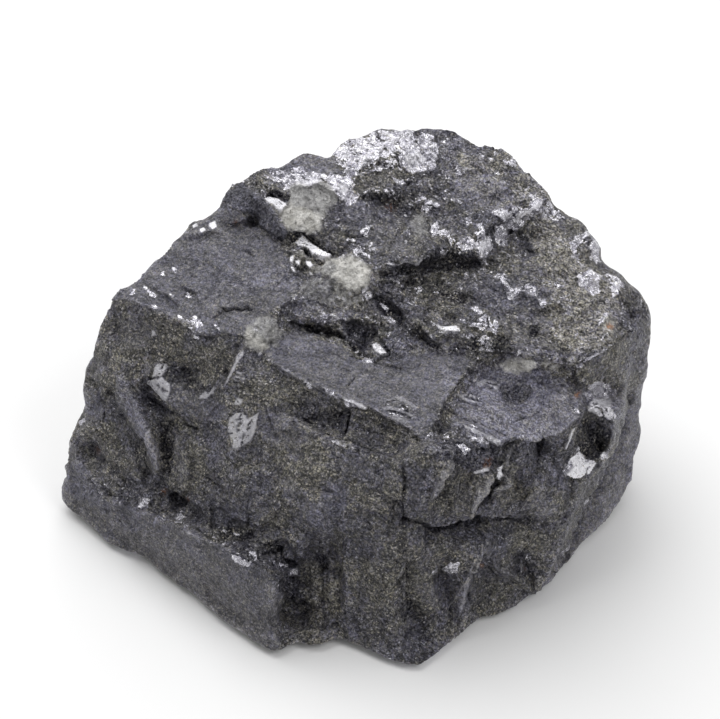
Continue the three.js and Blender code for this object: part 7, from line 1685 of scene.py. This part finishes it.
    # gangue: clouded cream and grey, glassy, broken into small facets
    gmix = t.ramp(t.noise(mm, 1.7, 3, 0.62), 0.36, 0.64)
    gmix = t.math('MULTIPLY_ADD', psep.outputs[1], 0.22, t.math('MULTIPLY', gmix, 0.80), clamp=True)
    cream = t.mix(gmix, (0.32, 0.308, 0.280, 1), (0.78, 0.765, 0.735, 1))
    grey = t.mix(gmix, (0.20, 0.197, 0.195, 1), (0.48, 0.475, 0.475, 1))
    gcol = t.mix(a["glass"], cream, grey)
    speck = t.ramp(t.noise(mm, 0.45, 3, 0.7), 0.34, 0.40)
    gcol = t.mix(t.math('MULTIPLY', one_minus(speck), 0.80), gcol, (0.12, 0.113, 0.105, 1))
    milk = t.ramp(t.noise(mm, 0.75, 3, 0.7), 0.58, 0.70)
    gcol = t.mix(t.math('MULTIPLY', milk, 0.75), gcol, (0.80, 0.79, 0.77, 1))
    # the same lighter tone and painted light brighten the gangue
    gcol = t.vmath('SCALE', gcol, scale=t.math('MULTIPLY_ADD', a["tone_and_painted_light"], 0.40, 1.0))
    gmask = t.ramp(t.math('MULTIPLY_ADD', t.noise(mm, 1.1, 4, 0.7), 2.0, a["gangue"]), 1.10, 1.95)
    gmask = t.math('MULTIPLY', gmask, t.ramp(a["gangue"], 0.02, 0.35), clamp=True)
    col = t.mix(gmask, col, gcol)

    metallic = t.fmix(a["smooth"], t.fmix(phase, 0.10, 0.38), 0.30)
    metallic = t.fmix(metal, metallic, t.fmix(a["pale"], 0.80, 0.06))
    metallic = t.math('MAXIMUM', metallic, t.math('MULTIPLY', spark, 0.8))
    metallic = t.math('MAXIMUM', metallic, t.math('MULTIPLY', t.ramp(shade_dark_and_cracks, 0.55, 0.95), 0.9))
    metallic = t.math('MULTIPLY', metallic, one_minus(gmask))
    rgh = t.ramp(t.noise(mm, 0.8, 3, 0.6), 0.25, 0.75, 0.40, 0.66)
    rgh = t.math('MULTIPLY_ADD', t.math('MULTIPLY', phase, one_minus(a["smooth"])), -0.18, rgh)
    rgh = t.fmix(metal, rgh, 0.25)
    rgh = t.fmix(t.math('MULTIPLY', spark, 0.7), rgh, 0.25)
    rgh = t.fmix(gmask, rgh, t.fmix(a["glass"], 0.40, 0.22))

    # relief finer than the mesh
    h1, _ = t.tilted(bent, 1.40)
    h2, _ = t.tilted(bent, 0.48)
    loud = t.math('MAXIMUM', a["cleave"], t.math('MULTIPLY', a["broken"], 0.6))
    nrm = t.bump(h1, 1.0, t.math('MULTIPLY_ADD', loud, 0.45, 0.32, clamp=True))
    keen = t.math('MULTIPLY_ADD', loud, 0.30, t.math('MULTIPLY_ADD', phase, 0.25, 0.42), clamp=True)
    nrm = t.bump(h2, 1.0, keen, nrm)
    calmness = t.ramp(a["smooth"], 0.0, 1.0, 1.0, 0.72)
    calmness = t.math('MULTIPLY', calmness, t.math('MULTIPLY_ADD', metal, -0.5, 1.0))
    nrm = t.bump(t.noise(mm, 0.48, 3, 0.75), 0.42, calmness, nrm)

    bs = t.add("ShaderNodeBsdfPrincipled")
    t.put(bs.inputs["Base Color"], col)
    t.put(bs.inputs["Metallic"], metallic)
    t.put(bs.inputs["Roughness"], rgh)
    t.put(bs.inputs["Normal"], nrm)
    bs.inputs["IOR"].default_value = 1.6
    out = t.add("ShaderNodeOutputMaterial")
    t.t.links.new(bs.outputs[0], out.inputs[0])
    return mat

me.materials.append(galena_material())
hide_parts("galena_mass")
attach(lump, "root")

# =====================================================================
# Floor, light and camera
# =====================================================================
fm = bpy.data.materials.new("pale_floor")
fm.use_nodes = True
fb = fm.node_tree.nodes["Principled BSDF"]
fb.inputs["Base Color"].default_value = (0.90, 0.90, 0.90, 1)
fb.inputs["Roughness"].default_value = 0.9
gm = bpy.data.meshes.new("floor")
gm.from_pydata([(-3, -3, -0.0002), (3, -3, -0.0002), (3, 3, -0.0002), (-3, 3, -0.0002)], [], [(0, 1, 2, 3)])
gm.materials.append(fm)
floor = bpy.data.objects.new("floor", gm)
bpy.context.scene.collection.objects.link(floor)

def soft_light(name, place, aim, size, watts):
    d = bpy.data.lights.new(name, 'AREA')
    d.shape = 'SQUARE'
    d.size = size
    d.energy = watts
    o = bpy.data.objects.new(name, d)
    o.location = place
    o.rotation_euler = (Vector(aim) - Vector(place)).to_track_quat('-Z', 'Y').to_euler()
    bpy.context.scene.collection.objects.link(o)
    return o

soft_light("top_box", (-0.15, 0.31, 0.55), (0, 0, 0.02), 0.80, 4.75)
soft_light("right_box", (0.35, -0.24, 0.50), (0, 0, 0.02), 0.30, 1.0)

world = bpy.data.worlds.new("studio")
world.use_nodes = True
world.node_tree.nodes["Background"].inputs["Color"].default_value = (1, 1, 1, 1)
world.node_tree.nodes["Background"].inputs["Strength"].default_value = 0.40
bpy.context.scene.world = world
bpy.context.scene.view_settings.view_transform = 'Standard'

cam_data = bpy.data.cameras.new("camera")
cam_data.lens = 100.0
cam_data.sensor_width = 36.0
cam_data.clip_start = 0.01
cam = bpy.data.objects.new("camera", cam_data)
cam.location = (CAM / 1000.0).tolist()
cam.rotation_euler = (math.radians(90) - ELEV, 0, 0)
bpy.context.scene.collection.objects.link(cam)
bpy.context.scene.camera = cam

bpy.context.view_layer.update()
